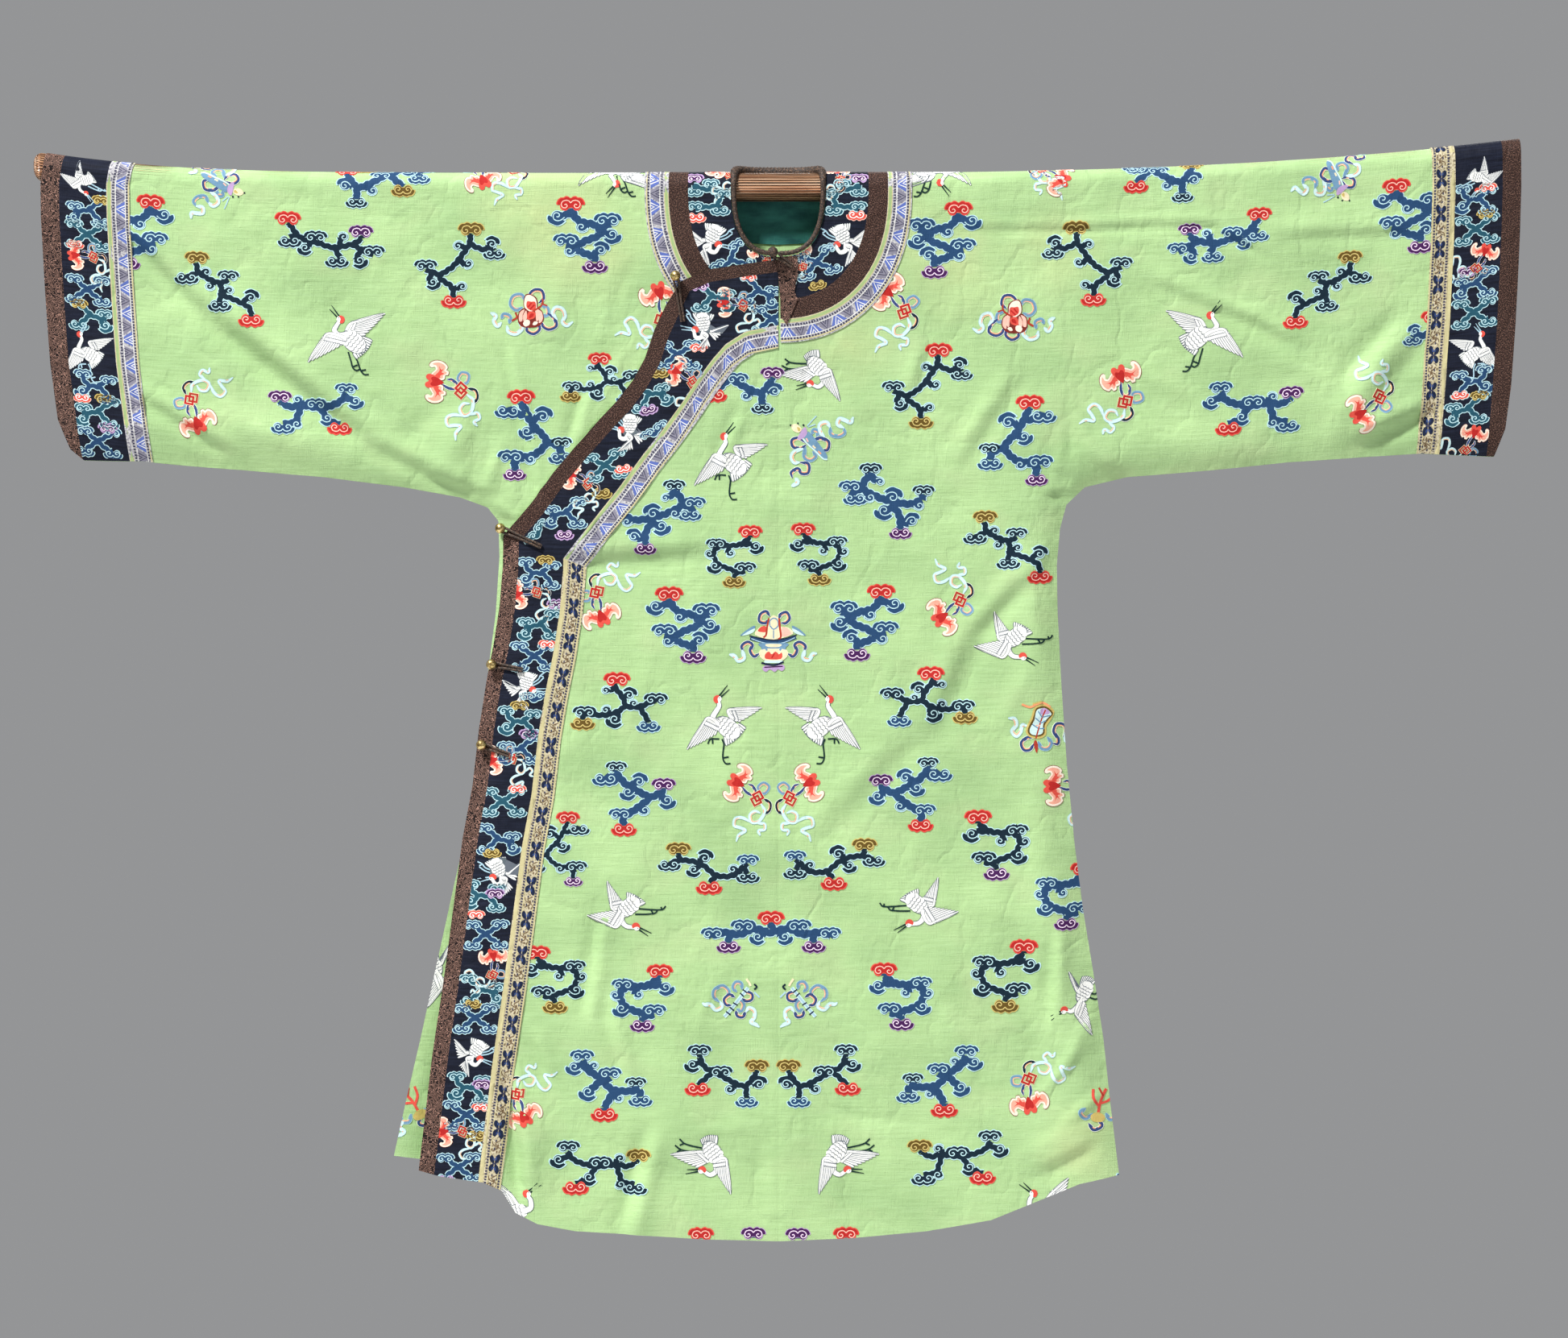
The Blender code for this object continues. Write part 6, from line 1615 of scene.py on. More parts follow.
# Other motifs: kind, across, down, turn, flipped, size.
motifRows = [
    ("stepping", 430, 430, 0, 1, 1), ("stepping", 1495, 425, 0, 0, 1), ("standing", 910, 575, 0, 0, 1),
    ("diving", 1010, 467, 10, 0, 0.92), ("standing", 902, 902, 0, 0, 1.02),
    ("standing", 1018, 902, 0, 1, 1.02), ("flying", 1258, 795, 0, 0, 1), ("flying", 778, 1130, 0, 0, 1),
    ("flying", 1140, 1126, 0, 1, 1), ("diving", 878, 1443, 0, 0, 1), ("diving", 1045, 1443, 0, 1, 1),
    ("swooping", 1338, 1245, 0, 0, 0.95), ("swooping", 545, 1212, 0, 1, 0.95),
    ("soaring", 645, 1492, 0, 1, 1), ("soaring", 1292, 1492, 0, 0, 1), ("stepping", 1160, 211, 0, 0, 0.95),
    ("stepping", 763, 211, 0, 1, 0.95), ("bat", 550, 485, 40, 0, 1), ("bat", 250, 512, 165, 0, 0.95),
    ("bat", 812, 376, -25, 0, 1), ("bat", 1103, 376, 10, 0, 1), ("bat", 752, 752, 160, 0, 0.95),
    ("bat", 1172, 752, 165, 1, 0.95), ("bat", 1385, 480, -20, 0, 1), ("bat", 1692, 500, 160, 1, 0.95),
    ("bat", 920, 985, 20, 0, 0.95), ("bat", 1000, 985, -20, 1, 0.95), ("bat", 1318, 985, 50, 0, 0.95),
    ("bat", 655, 1372, 165, 0, 0.9), ("bat", 1285, 1358, 150, 0, 0.95), ("bat", 605, 210, 160, 0, 0.9),
    ("bat", 1312, 208, 200, 0, 0.9), ("lotus", 658, 388, -30, 0, 0.98), ("lotus", 1260, 395, 30, 1, 0.98),
    ("scroll", 268, 226, 200, 0, 0.95), ("scroll", 1655, 218, 160, 0, 0.95), ("scroll", 1012, 553, 0, 0, 1),
    ("basket", 960, 796, 0, 0, 1), ("fan", 1288, 898, 25, 1, 0.98), ("pipes", 911, 1241, 0, 0, 0.95),
    ("pipes", 1000, 1241, 0, 1, 0.95), ("coral", 512, 1372, 30, 0, 1), ("coral", 1365, 1372, -10, 1, 1),
]
# On the navy bands: kind or layout, across, down, turn, flipped, tone or size, and an accent with its place.
bandRows = [
    ("bandStep", 668, 712, 0, 0, "blue", "gold", 8, 15), ("bat", 656, 744, 65, 0, 0.72),
    ("bandFork", 671, 776, 0, 0, "teal", "lilac", 17, 23),
    ("bandCross", 662, 815, 0, 1, "blue", "rose", -15, 14), ("hovering", 652, 853, 10, 0, 0.86),
    ("bandSmall", 664, 866, 0, 0, "blue"), ("bandStep", 645, 896, 0, 0, "teal", "gold", 0, 18),
    ("bandFork", 647, 930, 0, 0, "blue", "lilac", 8, 17), ("bat", 625, 950, 65, 0, 0.72),
    ("bandCross", 625, 995, 0, 0, "teal", "rose", 15, 14),
    ("bandFork", 618, 1042, 0, 1, "blue", "gold", 6, -15), ("hovering", 621, 1084, 0, 1, 0.9),
    ("bandStep", 600, 1112, 0, 0, "teal", "lilac", 13, 3),
    ("bandCross", 604, 1160, 0, 0, "blue", "rose", -11, 22), ("bat", 604, 1198, -35, 0, 0.72),
    ("bandFork", 598, 1229, 0, 1, "teal", "gold", 10, -15), ("bandCross", 591, 1264, 0, 0, "blue"),
    ("hovering", 588, 1308, -10, 0, 0.86), ("bandStep", 582, 1350, 0, 0, "teal", "lilac", 14, 4),
    ("bandCross", 578, 1384, 0, 1, "blue", "rose", -16, 9), ("bat", 563, 1412, 60, 0, 0.72),
    ("bandCross", 570, 1449, 0, 0, "blue", "lilac", -14, -14), ("single", 592, 1410, 180, 0, "gold"),
    ("bandFork", 941, 362, -10, 1, "blue", "rose", 14, 14),
    ("bandFork", 884, 369, 0, 1, "teal", "lilac", 14, 12), ("bat", 910, 385, 50, 0, 0.72),
    ("hovering", 873, 408, -20, 1, 0.9), ("bandCross", 842, 441, 0, 0, "blue", "rose", 22, 8),
    ("single", 818, 463, 180, 0, "gold"), ("bat", 845, 474, 25, 0, 0.74),
    ("bandFork", 806, 490, 15, 1, "teal", "lilac", 5, -16), ("hovering", 781, 534, -30, 1, 0.9),
    ("bandSmall", 812, 536, 30, 0, "blue"), ("bandCross", 752, 578, 10, 0, "teal", "rose", 18, -7),
    ("single", 747, 613, 180, 0, "gold"), ("bat", 716, 602, 30, 0, 0.72),
    ("bandFork", 703, 637, 0, 0, "blue", "lilac", -2, -24), ("bandSmall", 666, 662, 50, 0, "teal"),
    ("bandCross", 959, 397, 0, 0, "blue", "gold", 2, -16),
    ("bandCrook", 879, 244, 0, 0, "teal", "lilac", -15, 20), ("single", 864, 271, 180, 0, "rose"),
    ("hovering", 882, 299, 0, 0, 0.95), ("bandFork", 908, 324, 30, 0, "blue"),
    ("bat", 892, 216, 20, 0, 0.66), ("bat", 941, 322, 0, 0, 0.62),
    ("bandCrook", 1049, 244, 0, 1, "teal", "lilac", -15, 20), ("single", 1063, 268, 180, 0, "rose"),
    ("hovering", 1048, 299, 0, 1, 0.95), ("bandCross", 1014, 326, 15, 0, "blue", "gold", -6, -24),
    ("bat", 1033, 216, -20, 0, 0.66), ("bat", 987, 326, -20, 0, 0.6), ("flying", 105, 226, -20, 0, 0.62),
    ("bandFork", 112, 262, 0, 0, "blue", "gold", 12, 13),
    ("bandCross", 110, 292, 0, 0, "teal", "rose", -14, -12), ("bat", 106, 326, 60, 0, 0.7),
    ("bandCross", 110, 360, 0, 0, "blue"), ("bandFork", 112, 392, 0, 1, "teal", "gold", 12, 12),
    ("standing", 112, 440, 10, 0, 0.76), ("bandStep", 118, 480, 0, 0, "blue", "rose", -14, -14),
    ("bandFork", 122, 512, 0, 0, "teal", "gold", 6, 16),
    ("bandCross", 122, 548, 0, 0, "blue", "lilac", 10, 16), ("flying", 1835, 222, 20, 1, 0.62),
    ("bandStep", 1830, 248, 0, 0, "blue", "rose", 14, 12),
    ("bandCross", 1832, 285, 0, 0, "teal", "gold", 10, 16), ("bat", 1830, 320, -60, 0, 0.7),
    ("bandFork", 1832, 352, 0, 0, "blue", "lilac", -10, 14), ("bandCross", 1830, 388, 0, 0, "teal"),
    ("standing", 1828, 440, -6, 1, 0.76), ("bandStep", 1828, 474, 0, 1, "blue", "rose", 14, -13),
    ("bandFork", 1822, 508, 0, 0, "teal", "gold", 12, 14), ("bat", 1818, 545, -60, 0, 0.7),
]


def seenAt(across, down):
    return (across - chart["neck"][0]) * chart["step"], (chart["neck"][1] - down) * chart["step"]


# The cut's w under a seen place, carried on over the rod where the place lies above it.
def toW(x, z, face=1):
    return face * (quarter - (z - float(rodHeight(x))))


def turnedShapes(shapes, turn, flip):
    return sorted(placed(shapes, turn=turn, flip=flip), key=lambda row: row[0])


def motifShapes(kind, size):
    if kind in cranePoses:
        return crane(kind, size)
    return bat(size) if kind == "bat" else emblem(kind, size)


def bandShapes(kind, tone, accent):
    if kind == "bat":
        return bat(tone)
    if kind in cranePoses:
        return crane(kind, tone, 0.45, 0.7, "paleBlue")
    if kind == "single":
        return cloud("single", 0.8, upper=tone)
    shapes = cloud(kind, 1, tone, stemHalf=2.3)
    if accent:
        silk, x, y = accent
        shapes += placed(headShapes(silk, 0.62), x, y, 180 if y < 0 else 0, raised=4)
    return shapes


# Turns (along, across) in millimetres on a band into places on the cut.
def bandFrame(outer, inner, count=240):
    a, b = resampled(outer, count), resampled(inner, count)
    middle = (a + b) / 2
    along = np.concatenate([[0], np.cumsum(np.linalg.norm(np.diff(middle, axis=0), axis=1))])
    width = np.linalg.norm(b - a, axis=1)

    def place(points):
        points = np.asarray(points, float)
        at = lambda values: np.interp(points[:, 0], along, values)
        ax, aw, bx, bw, wide = at(a[:, 0]), at(a[:, 1]), at(b[:, 0]), at(b[:, 1]), at(width)
        share = points[:, 1] / wide
        return np.stack([ax + (bx - ax) * share, aw + (bw - aw) * share], axis=1)

    return place, along[-1]


# The ribbons' charted repeats, in millimetres along the ribbon and across from the middle of its figure.
ribbonChart = {
    "edge": 4.3, "dotPitch": 3.1, "dot": 0.9, "line": 0.4,
    "keys": {"repeat": 28, "long": 9, "short": 3, "peak": [(-4.6, 5), (0, -4.4), (4.6, 5)],
             "small": [(-1.9, 5), (0, 0.9), (1.9, 5)]},
    "butterflies": {
        "repeat": 38, "wing": [(0.2, 0.5), (2.4, 4.4), (7.4, 5.7), (10.8, 4.2), (8.6, 1.2), (4.6, 0.5)],
        "hindWing": [(0.2, -0.6), (4.2, -0.8), (8.6, -2.4), (8, -5.2), (4, -5.5), (1.4, -3.6)],
        "stems": [[(12, 4), (16, -1), (20, 2), (25, -3.4)], [(14, -4.6), (18, -3.2), (21, 4.6), (26, 3.4)]],
        "leaves": [(13, -1), (18, 1.8), (22, -1.8), (25, 1), (16.5, 4.4), (23, -4.6)]},
}


def strip(start, end, low, high):
    return np.array([(start, low), (end, low), (end, high), (start, high)])


# One length of ribbon as (silk, outline): dotted edges, then keys in turn or butterflies among stems.
def ribbonRepeat(start, end, inner, outer, kind):
    middle, edge, line = (inner + outer) / 2, ribbonChart["edge"], ribbonChart["line"]
    half = (outer - inner) / 2 - edge
    pale = "ribbonWhite" if kind == "keys" else "selvedge"
    shapes = [("selvedge", strip(start, end, outer - 1.5, outer))]
    for row in (inner + edge / 2 - 0.3, outer - 1.5 - (edge - 1.5) / 2 + 0.3):
        for x in np.arange(start + ribbonChart["dotPitch"] / 2, end, ribbonChart["dotPitch"]):
            dot = strip(x - ribbonChart["dot"], x + ribbonChart["dot"], row - 1.1, row + 1.1)
            shapes.append(("ribbonInk", dot))
    for row in (middle - half, middle + half):
        shapes.append((pale, strip(start, end, row - line, row + line)))
    chart = ribbonChart[kind]
    for x in np.arange(start + chart["repeat"] / 4, end, chart["repeat"]):
        shapes += (keyShapes if kind == "keys" else butterflyShapes)(chart, x, middle, half)
    return [(silk, np.column_stack([np.clip(shape[:, 0], start, end), shape[:, 1]]))
            for silk, shape in shapes]


def keyShapes(chart, x, middle, half):
    shapes, wide, narrow, reach = [], chart["long"], chart["short"], half - 0.7
    for shift, side, silk, drawn in ((0, 1, "ribbonBlue", "ribbonWhite"),
                                     (chart["repeat"] / 2, -1, "ribbonGrey", "ribbonInk")):
        key = np.array([(-wide, reach), (wide, reach), (narrow, -reach), (-narrow, -reach)]) * (1, side)
        shapes.append((silk, key + (x + shift, middle)))
        for line in (chart["peak"], chart["small"]):
            shapes.append((drawn, stroke(np.array(line) * (1, side) + (x + shift, middle), 0.6)))
    return shapes


def butterflyShapes(chart, x, middle, half):
    shapes = []
    for side in (1, -1):
        for key in ("wing", "hindWing"):
            wing = spline(chart[key], 2, closed=True) * (side, 1)
            shapes.append(("navyLine", wing + (x, middle)))
            shapes.append(("ribbonNavy", wing * 0.4 + (x + side * 3.2, middle)))
    shapes.append(("ribbonInk", disc(x, middle, 1, 6, 2.6)))
    for stem in chart["stems"]:
        shapes.append(("ribbonBrown", stroke(spline(stem, 3), 0.45) + (x, middle)))
    for number, (leafX, leafY) in enumerate(chart["leaves"]):
        leaf = disc(0, 0, 1.5, 6, 0.55) + (x + leafX, middle + leafY)
        shapes.append(("ribbonBrown" if number % 2 else "ribbonInk", leaf))
    return shapes


# Buttons, loops, binding and rod
# name, ball's x and z, loop's end x and z, what the ball is sewn on, extra height, finish
fastenings = [
    ("collar", -6, -72.5, 15, -87, "binding", 1.3, "brownCord"),
    ("neck", -111, -98, -103, -147, "ring", 0, "dulledBrass"),
    ("underarm", -300.5, -370, -256, -390, "cloth", 0, "dulledBrass"),
    ("side_upper", -310, -517, -276, -523, "lap", 0, "dulledBrass"),
    ("side_lower", -321, -604, -291, -615, "lap", 0, "dulledBrass"),
]
fastening = {
    "ball": 5.5, "shank": 1.6, "girdle": 0.5, "clearance": 0.5, "loop": 1.3, "slack": 0.3, "layer": 1.9,
    "clothLayer": 1.1, "bindingRadius": 2.5, "bindingProud": 2.3, "bindingInset": 3.3, "bindingBack": 3,
}


# A cord through rings about a path, with turning lobes where it is braided.
def tubeMesh(name, path, radius, sides, finish, twist=0, lobes=0, depth=0):
    path = np.asarray(path, float)
    ahead = np.gradient(path, axis=0)
    ahead /= np.linalg.norm(ahead, axis=1)[:, None]
    first = np.cross(ahead, (0, 1, 0))
    first /= np.maximum(np.linalg.norm(first, axis=1), 1e-6)[:, None]
    second = np.cross(ahead, first)
    along = np.concatenate([[0], np.cumsum(np.linalg.norm(np.diff(path, axis=0), axis=1))])
    turn = 2 * np.pi * np.arange(sides) / sides
    lobe, wound = lobes / 2 * turn[None, :], twist * along[:, None]
    wave = 1 + depth * np.abs(np.sin(lobe + wound)) + depth * np.abs(np.sin(lobe - wound))
    reach = (np.broadcast_to(radius, len(path))[:, None] * wave / (1 + depth))[:, :, None]
    cos, sin = np.cos(turn)[None, :, None], np.sin(turn)[None, :, None]
    rings = path[:, None, :] + reach * (first[:, None, :] * cos + second[:, None, :] * sin)
    faces = []
    for i in range(len(path) - 1):
        low, high = i * sides, (i + 1) * sides
        faces += [(low + k, low + (k + 1) % sides, high + (k + 1) % sides, high + k) for k in range(sides)]
    faces.append(tuple(range(sides))[::-1])
    faces.append(tuple(range((len(path) - 1) * sides, len(path) * sides)))
    return meshFrom(name, rings.reshape(-1, 3), faces, [finish])


def frontDepth(x, z, lapped, reach):
    near = [(0, 0), (reach, 0), (-reach, 0), (0, reach), (0, -reach)]
    cut = toCut([(x + dx, z + dz) for dx, dz in near])
    return float((-clothPlace(cut[:, 0], cut[:, 1], lapped)[:, 1]).max())


# A ball button with its collar and shank, turned about an axis that points to the front.
def makeBall(name, x, z, sewnAt, centre, finish):
    size, toFront = fastening["ball"], (math.pi / 2, 0, 0)
    middle = (x / 1000, -centre / 1000, z / 1000)
    bpy.ops.mesh.primitive_uv_sphere_add(segments=28, ring_count=18, radius=size / 1000, location=middle,
                                         rotation=toFront)
    ball = bpy.context.object
    behind = (x / 1000, -(sewnAt + centre - size * 0.9) / 2000, z / 1000)
    bpy.ops.mesh.primitive_cylinder_add(vertices=16, radius=fastening["shank"] / 1000, location=behind,
                                        depth=(centre - size * 0.9 - sewnAt) / 1000, rotation=toFront)
    shank = bpy.context.object
    bpy.ops.mesh.primitive_torus_add(major_radius=size * 0.93 / 1000,
                                     minor_radius=fastening["girdle"] / 1000,
                                     major_segments=28, minor_segments=8, location=middle, rotation=toFront)
    girdle = bpy.context.object
    for part in (ball, shank, girdle):
        part.select_set(True)
    bpy.context.view_layer.objects.active = ball
    bpy.ops.object.join()
    bpy.ops.object.transform_apply(location=True, rotation=True, scale=True)
    ball.name = name
    return finishSolid(ball, finish)


def finishSolid(piece, finish):
    piece.data.materials.clear()
    piece.data.materials.append(finish)
    bpy.ops.object.shade_smooth()
    piece.select_set(False)
    return piece


def makeFastenings():
    shank, cord = fastening["shank"], fastening["loop"]
    layer = fastening["layer"] + fastening["clearance"]
    for name, x, z, tailX, tailZ, sewnOn, over, finish in fastenings:
        bare, lapped = frontDepth(x, z, False, shank), frontDepth(x, z, True, shank)
        rolled = bare + fastening["bindingProud"] + fastening["bindingRadius"] + fastening["clearance"]
        sewnAt = {"ring": bare + layer, "cloth": bare + fastening["clothLayer"], "lap": lapped + layer,
                  "binding": rolled}[sewnOn]
        loopOver = layer + over + cord
        centre = lapped + loopOver + cord + fastening["slack"] + fastening["ball"]
        ball = makeBall(f"{name}_ball", x, z, sewnAt, centre, finishes[finish])
        declare(ball, f"{name}_button")
        length = math.hypot(tailX - x, tailZ - z)
        run, rise = (tailX - x) / length, (tailZ - z) / length
        bend = shank + fastening["slack"] + cord
        rows = [(length, 1.5), (length * 0.7, 1.6), (length * 0.4, 1.8), (bend + 2.5, 2.6)]
        turns = [math.radians(t) for t in range(90, 271, 30)]
        flat = rows + [(bend * math.cos(t), bend * math.sin(t)) for t in turns]
        flat += [(s, -t) for s, t in rows[::-1]]
        flat = spline([(x + run * s - rise * t, z + rise * s + run * t) for s, t in flat], 4)
        path = [(px, -(frontDepth(px, pz, True, cord) + loopOver), pz) for px, pz in flat]
        loop = tubeMesh(f"{name}_cord", path, cord, 12, finishes["brownCord"], twist=1.1, lobes=4,
                        depth=0.16)
        declare(loop, f"{name}_loop")


# The turned rod: a cylinder with rounded ends, cut along its length and then bowed.
def makeRod():
    length = rod["rightEnd"] - rod["leftEnd"]
    bpy.ops.mesh.primitive_cylinder_add(vertices=rod["sides"], radius=rod["radius"] / 1000,
                                        depth=length / 1000,
                                        location=((rod["leftEnd"] + rod["rightEnd"]) / 2000, 0, 0),
                                        end_fill_type="NGON", rotation=(0, math.pi / 2, 0))
    piece = bpy.context.object
    piece.name = "rod_varnished"
    bpy.ops.object.transform_apply(location=True, rotation=True, scale=True)
    bpy.ops.object.mode_set(mode="EDIT")
    pickEdges(piece, -1, 1e-5)
    bpy.ops.mesh.select_mode(type="EDGE")
    bpy.ops.mesh.bevel(offset=rod["rounding"] / 1000, segments=6, affect="EDGES")
    pickEdges(piece, 0.5, 2)
    bpy.ops.mesh.subdivide(number_cuts=20)
    bpy.ops.object.mode_set(mode="OBJECT")
    for vertex in piece.data.vertices:
        vertex.co.z += float(rodHeight(vertex.co.x * 1000)) / 1000
    declare(finishSolid(piece, finishes["varnishedRod"]), "hanging_rod")
    print(f"rod: {len(piece.data.polygons)} faces")


# Selects the edges that reach this far along the rod, in metres.
def pickEdges(piece, least, most):
    bpy.ops.mesh.select_all(action="DESELECT")
    bpy.ops.object.mode_set(mode="OBJECT")
    for edge in piece.data.edges:
        a, b = (piece.data.vertices[k].co.x for k in edge.vertices)
        edge.select = least < abs(a - b) < most
    bpy.ops.object.mode_set(mode="EDIT")


def makeBinding():
    flat = spline(neckCurve(-fastening["bindingInset"]), 4)
    path = laidOn(flat, fastening["bindingProud"], False)
    radius = fastening["bindingRadius"] + fastening["bindingBack"] * smooth((30 - flat[:, 1]) / 40)
    piece = tubeMesh("binding_braid", path, radius, 16, finishes["brownCord"], twist=0.75, lobes=4,
                     depth=0.14)
    declare(piece, "neck_binding")


# The robe


# Each panel's outline, and whether it laps over the front.
panelKeys = {"half_wearers_right": ("left", False), "half_wearers_left": ("right", False),
             "front_overlap": ("lap", True)}
# Trims: their two lines, finish and the panel that cuts them off, if any.
trimRows = {
    "collar_band": ("ring0", "ring1", "navySilk", None),
    "collar_edging": ("ring1", "ring2", "brocadeFine", None),
    "collar_ribbon": ("ring2", "ring3", "ribbonSilk", None),
    "closure_edging_top": ("closureTop", "edgingTop", "brocadeFine", "lap"),
    "closure_edging_slant": ("closureSlant", "edgingSlant", "brocadeFine", "lap"),
    "closure_edging_side": ("closureSide", "edgingSide", "brocadeBold", "lap"),
    "closure_band_slant": ("edgingBoth", "navySlant", "navySilk", "lap"),
    "closure_band_side": ("edgingSide", "navySide", "navySilk", "lap"),
    "closure_ribbon_slant": ("navySlant", "ribbonSlant", "ribbonSilk", "lap"),
    "closure_ribbon_side": ("navySide", "ribbonSide", "ribbonCream", "lap"),
}
for side, edging, ribbon in (("left", "brocadeBold", "ribbonSilk"),
                             ("right", "brocadeFine", "ribbonCream")):
    for number, (kind, finish) in enumerate((("edging", edging), ("band", "navySilk"), ("ribbon", ribbon))):
        trimRows[f"cuff_{kind}_{side}"] = (f"{side}Cuff{number}", f"{side}Cuff{number + 1}", finish, side)
# Small sewn parts: outline and layer, spacing, finish, slot.
tabRows = {
    "closure_edging_end": ("endStrip", 3, "brocadeBold", "brown_edging"),
    "neck_facing": ("facing", 4, "tealSilk", "teal_lining"),
}


def makePanels():
    lap = outlines["lap"]
    # 0 where the front shows, 1 on the back, 2 under the lapping front
    covered = lambda points: np.where(inside(lap, points) & (points[:, 0] < -8), 2, 0)
    few = lambda points: np.where(points[:, 1] < -quarter - 15, 1, covered(points))
    made = {}
    for name, (key, lapped) in panelKeys.items():
        piece = clothShell(name + "_silk", outlines[key], density["panel"], lapped, *layers["silk"],
                           finishes["greenKesi"], None if lapped else few)
        made[key] = declare(piece, name)
        print(f"{name}: {len(piece.data.polygons)} faces")
    return made


def makeTrims():
    for name, (outer, inner, finish, owner) in trimRows.items():
        outlines[name] = clippedTo(np.vstack([outlines[outer], outlines[inner][::-1]]), owner)
        piece = clothShell(name + "_silk", outlines[name], density["trim"], owner == "lap", *layers["trim"],
                           finishes[finish])
        trimPieces[name] = declare(piece, name)
    for name, (key, spacing, finish, slot) in tabRows.items():
        piece = clothShell(name + "_silk", outlines[key], spacing, False, *layers[key], finishes[finish])
        trimPieces[name] = declare(piece, name)
    print(f"trims: {len(trimPieces)} pieces")


# A trim's outline cut off at the edge of the panel that carries it, by walking both outlines as a mesh cut.
def clippedTo(outline, owner):
    if owner is None:
        return outline
    panel = outlines[owner]
    shapes = [orderedFace(outline, 0), orderedFace(panel, len(outline))]
    made = delaunay_2d_cdt(np.vstack([outline, panel]).tolist(), [], shapes, 0, 0.01)
    flat, triangles = placesOf(made), np.array([list(face) for face in made[2]])
    kept = [k for k, faces in enumerate(made[5]) if 0 in faces and 1 in faces]
    triangles = wound(triangles[kept], flat, -1)
    known = {(face[i], face[(i + 1) % 3]) for face in triangles.tolist() for i in range(3)}
    after = {a: b for a, b in known if (b, a) not in known}
    loops = []
    while after:
        at, loop = next(iter(after)), []
        while at in after:
            loop.append(at)
            at = after.pop(at)
        loops.append(loop)
    return flat[max(loops, key=len)]


def orderedFace(outline, start):
    order = list(range(start, start + len(outline)))
    return order if signedArea(np.asarray(outline)) > 0 else order[::-1]


# Motif layers: height above the middle of the wall, points' spacing, depth of the turned edge, tolerance.
worked = {
    "front": {"height": 0.55 + 0.45, "spacing": 6.4, "skirt": 0.75, "tolerance": 0.15},
    "back": {"height": 0.55 + 0.45, "spacing": 6.4, "skirt": 0.75, "tolerance": 0.45},
    "inside": {"height": 0.5 + 0.4, "spacing": 6.4, "skirt": 0.7, "tolerance": 0.15, "side": -1},
    "band": {"height": 1.62 + 0.16, "spacing": 5, "skirt": 0.45, "tolerance": 0.12},
    "ribbon": {"height": 1.62 + 0.14, "spacing": 7, "skirt": 0.3, "tolerance": 0.1},
}
# Where motifs count as being on the right, under the lapping front or near the middle seam, and on a cuff.
reaches = {
    "middle": 8, "overMiddle": 60, "rightFrom": -80, "cuff": 600, "collarLeft": -120, "collarDown": 345,
}


# A motif and its mirror image on the back, clear of the middle seam.
def mirrored(shapes, x, z, nearest=44):
    x = max(x, nearest)
    return [(shapes, x, toW(x, z, -1), -1), (turnedShapes(shapes, 0, True), -x, toW(-x, z, -1), -1)]


def makeMotifs():
    charted = [(cloud(layout, size, *silks.split()), "cloud", across, down, 0, flip)
               for layout, across, down, flip, silks, size in cloudRows]
    charted += [(motifShapes(kind, size), kind, across, down, turn, flip)
                for kind, across, down, turn, flip, size in motifRows]
    front, back, inner = [], [], []
    for shapes, kind, across, down, turn, flip in charted:
        x, z = seenAt(across, down)
        shapes = turnedShapes(shapes, turn, flip)
        front.append((shapes, x, toW(x, z), 1))
        if x > reaches["middle"]:
            back += mirrored(shapes, x, z)
        elif kind == "basket":
            back.append((shapes, 0, toW(0, z, -1), -1))
        # the back's inner face shows past the closure where the side is open
        if kind != "cloud" and x < lines["leftVent"][0][0] and z < hang["ventTop"]:
            inner.append((shapes, x, toW(x, z, -1), -1))
    lap, left, right = ((outlines[key], key == "lap") for key in ("lap", "left", "right"))
    hidden = [inside(lap[0], np.array([(x, w)]))[0] and x < -reaches["middle"] for _, x, w, _ in front]
    frontLeft = [row for row, covered in zip(front, hidden) if not covered and row[1] < 0]
    frontLap = [row for row, covered in zip(front, hidden)
                if covered or abs(row[1]) < reaches["overMiddle"]]
    frontRight = [row for row in front if row[1] > reaches["rightFrom"]]
    for name, rows, owners, layer in (
            ("worked_front_left", frontLeft, [left], "front"),
            ("worked_front_overlap", frontLap, [lap], "front"),
            ("worked_front_right", frontRight, [right], "front"),
            ("worked_back", back, [left, right], "back"),
            ("worked_back_inside", inner, [left], "inside")):
        workedPieces[name] = declare(workedPiece(name, rows, owners, **worked[layer]))


def makeBandMotifs():
    groups = {
        "worked_closure_band": ([], ["closure_band_slant", "closure_band_side"]),
        "worked_collar_band": ([], ["collar_band"]), "worked_cuff_left": ([], ["cuff_band_left"]),
        "worked_cuff_right": ([], ["cuff_band_right"]),
    }
    for kind, across, down, turn, flip, tone, *accent in bandRows:
        x, z = seenAt(across, down)
        shapes = turnedShapes(bandShapes(kind, tone, accent), turn, flip)
        if abs(x) > reaches["cuff"]:
            name = "worked_cuff_left" if x < 0 else "worked_cuff_right"
        else:
            collar = down < reaches["collarDown"] and x > reaches["collarLeft"]
            name = "worked_collar_band" if collar else "worked_closure_band"
        groups[name][0].append((shapes, x, toW(x, z), 1))
        if name != "worked_closure_band":
            groups[name][0].append((shapes, x, toW(x, z, -1), -1))
    for name, (rows, keys) in groups.items():
        owners = [(outlines[key], name == "worked_closure_band") for key in keys]
        workedPieces[name] = declare(workedPiece(name, rows, owners, **worked["band"]))


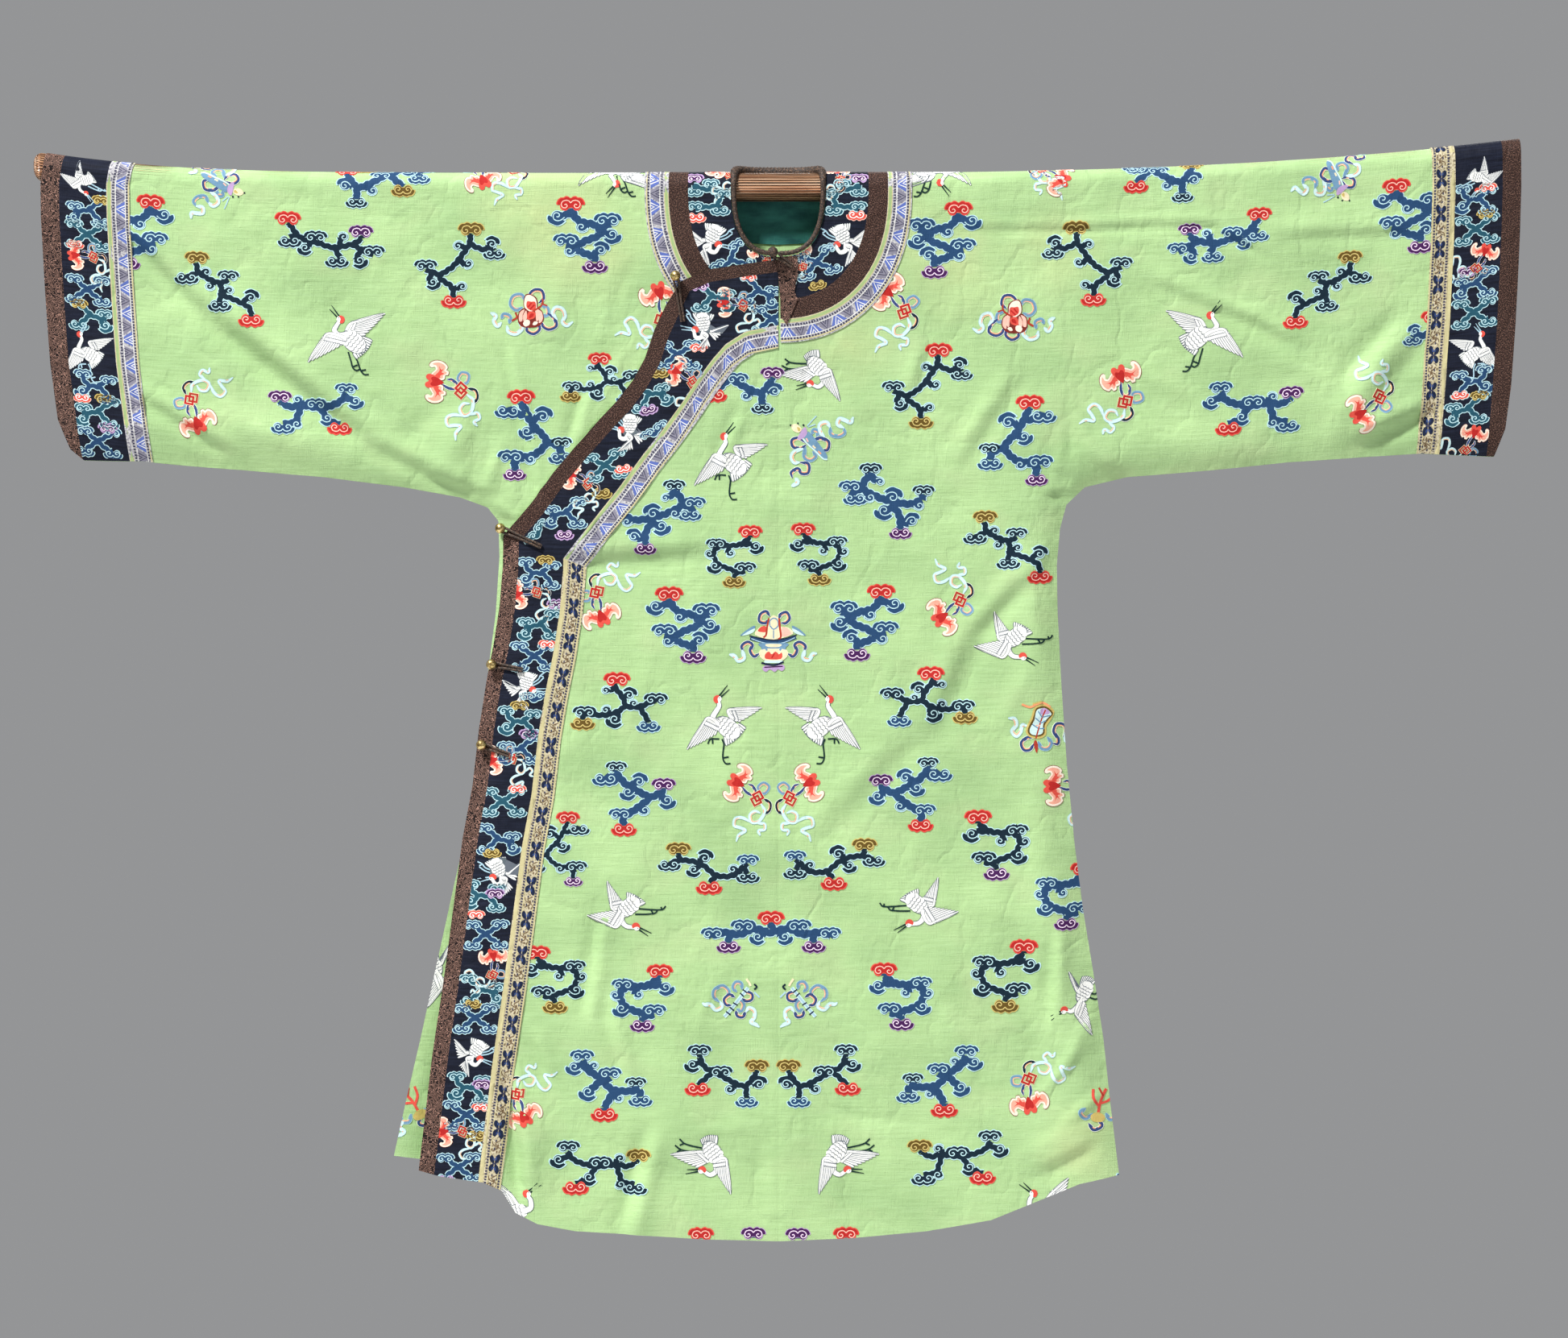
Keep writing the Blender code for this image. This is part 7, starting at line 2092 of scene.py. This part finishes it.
# Worked ribbons: the trim below, and its chart.
ribbonRows = {
    "worked_ribbon_slant": ("closure_ribbon_slant", "keys"),
    "worked_ribbon_side": ("closure_ribbon_side", "butterflies"),
    "worked_ribbon_collar": ("collar_ribbon", "keys"),
    "worked_ribbon_cuff_left": ("cuff_ribbon_left", "keys"),
    "worked_ribbon_cuff_right": ("cuff_ribbon_right", "butterflies"),
}


def makeRibbonWork():
    width, piping = widths["ribbon"], widths["piping"]
    for name, (key, kind) in ribbonRows.items():
        outer, inner, _, owner = trimRows[key]
        place, length = bandFrame(outlines[outer], outlines[inner])
        step, rows = ribbonChart[kind]["repeat"] * 3, []
        for start in np.arange(0, length - 6, step):
            end = min(start + step, length)
            flat = [("pipingGreen" if kind == "keys" else "selvedge", strip(start, end, 0.3, piping - 0.6))]
            flat += [("selvedge", strip(start, end, at, at + 0.9)) for at in (0.3, piping - 1)]
            flat += ribbonRepeat(start, end, piping + 0.4, width - 0.3, kind)
            flat = [(silk, shape) for silk, shape in flat if abs(signedArea(shape)) > 0.1]
            flat = [(0, silk, place(dividedLine(shape, 6) if len(shape) == 4 else shape))
                    for silk, shape in flat]
            rows.append((flat, 0, 0, -1))
        piece = workedPiece(name, rows, [(outlines[key], owner == "lap")], **worked["ribbon"])
        workedPieces[name] = declare(piece)


def declareCloth(panels):
    for key, piece in panels.items():
        wide, long = np.ptp(outlines[key], axis=0) / 1000
        area = abs(signedArea(outlines[key])) / 1e6
        print(f"{piece.name}: cut {wide:.3f} by {long:.3f} m, {area:.3f} square metres")


addCamera()
addStudio()
for key, face in (("front", "front"), ("lapped", "front"), ("back", "back")):
    field[key] = depthField(face, key == "lapped")
print("cloth's shape worked out")
outlines = makeOutlines()
finishes = {name: silkFinish(name) for name in silkColours}
finishes.update({name: groundFinish(name) for name in groundSilks})
finishes.update(greenKesi=greenFinish(), brownCord=cordFinish(), dulledBrass=brassFinish(),
                varnishedRod=woodFinish(),
                brocadeBold=brocadeFinish("brocadeBold", 0.95),
                brocadeFine=brocadeFinish("brocadeFine", 0.05))
trimPieces, workedPieces = {}, {}
panels = makePanels()
makeTrims()
makeMotifs()
makeBandMotifs()
makeRibbonWork()
makeRod()
makeBinding()
makeFastenings()
declareCloth(panels)
print("robe hung")
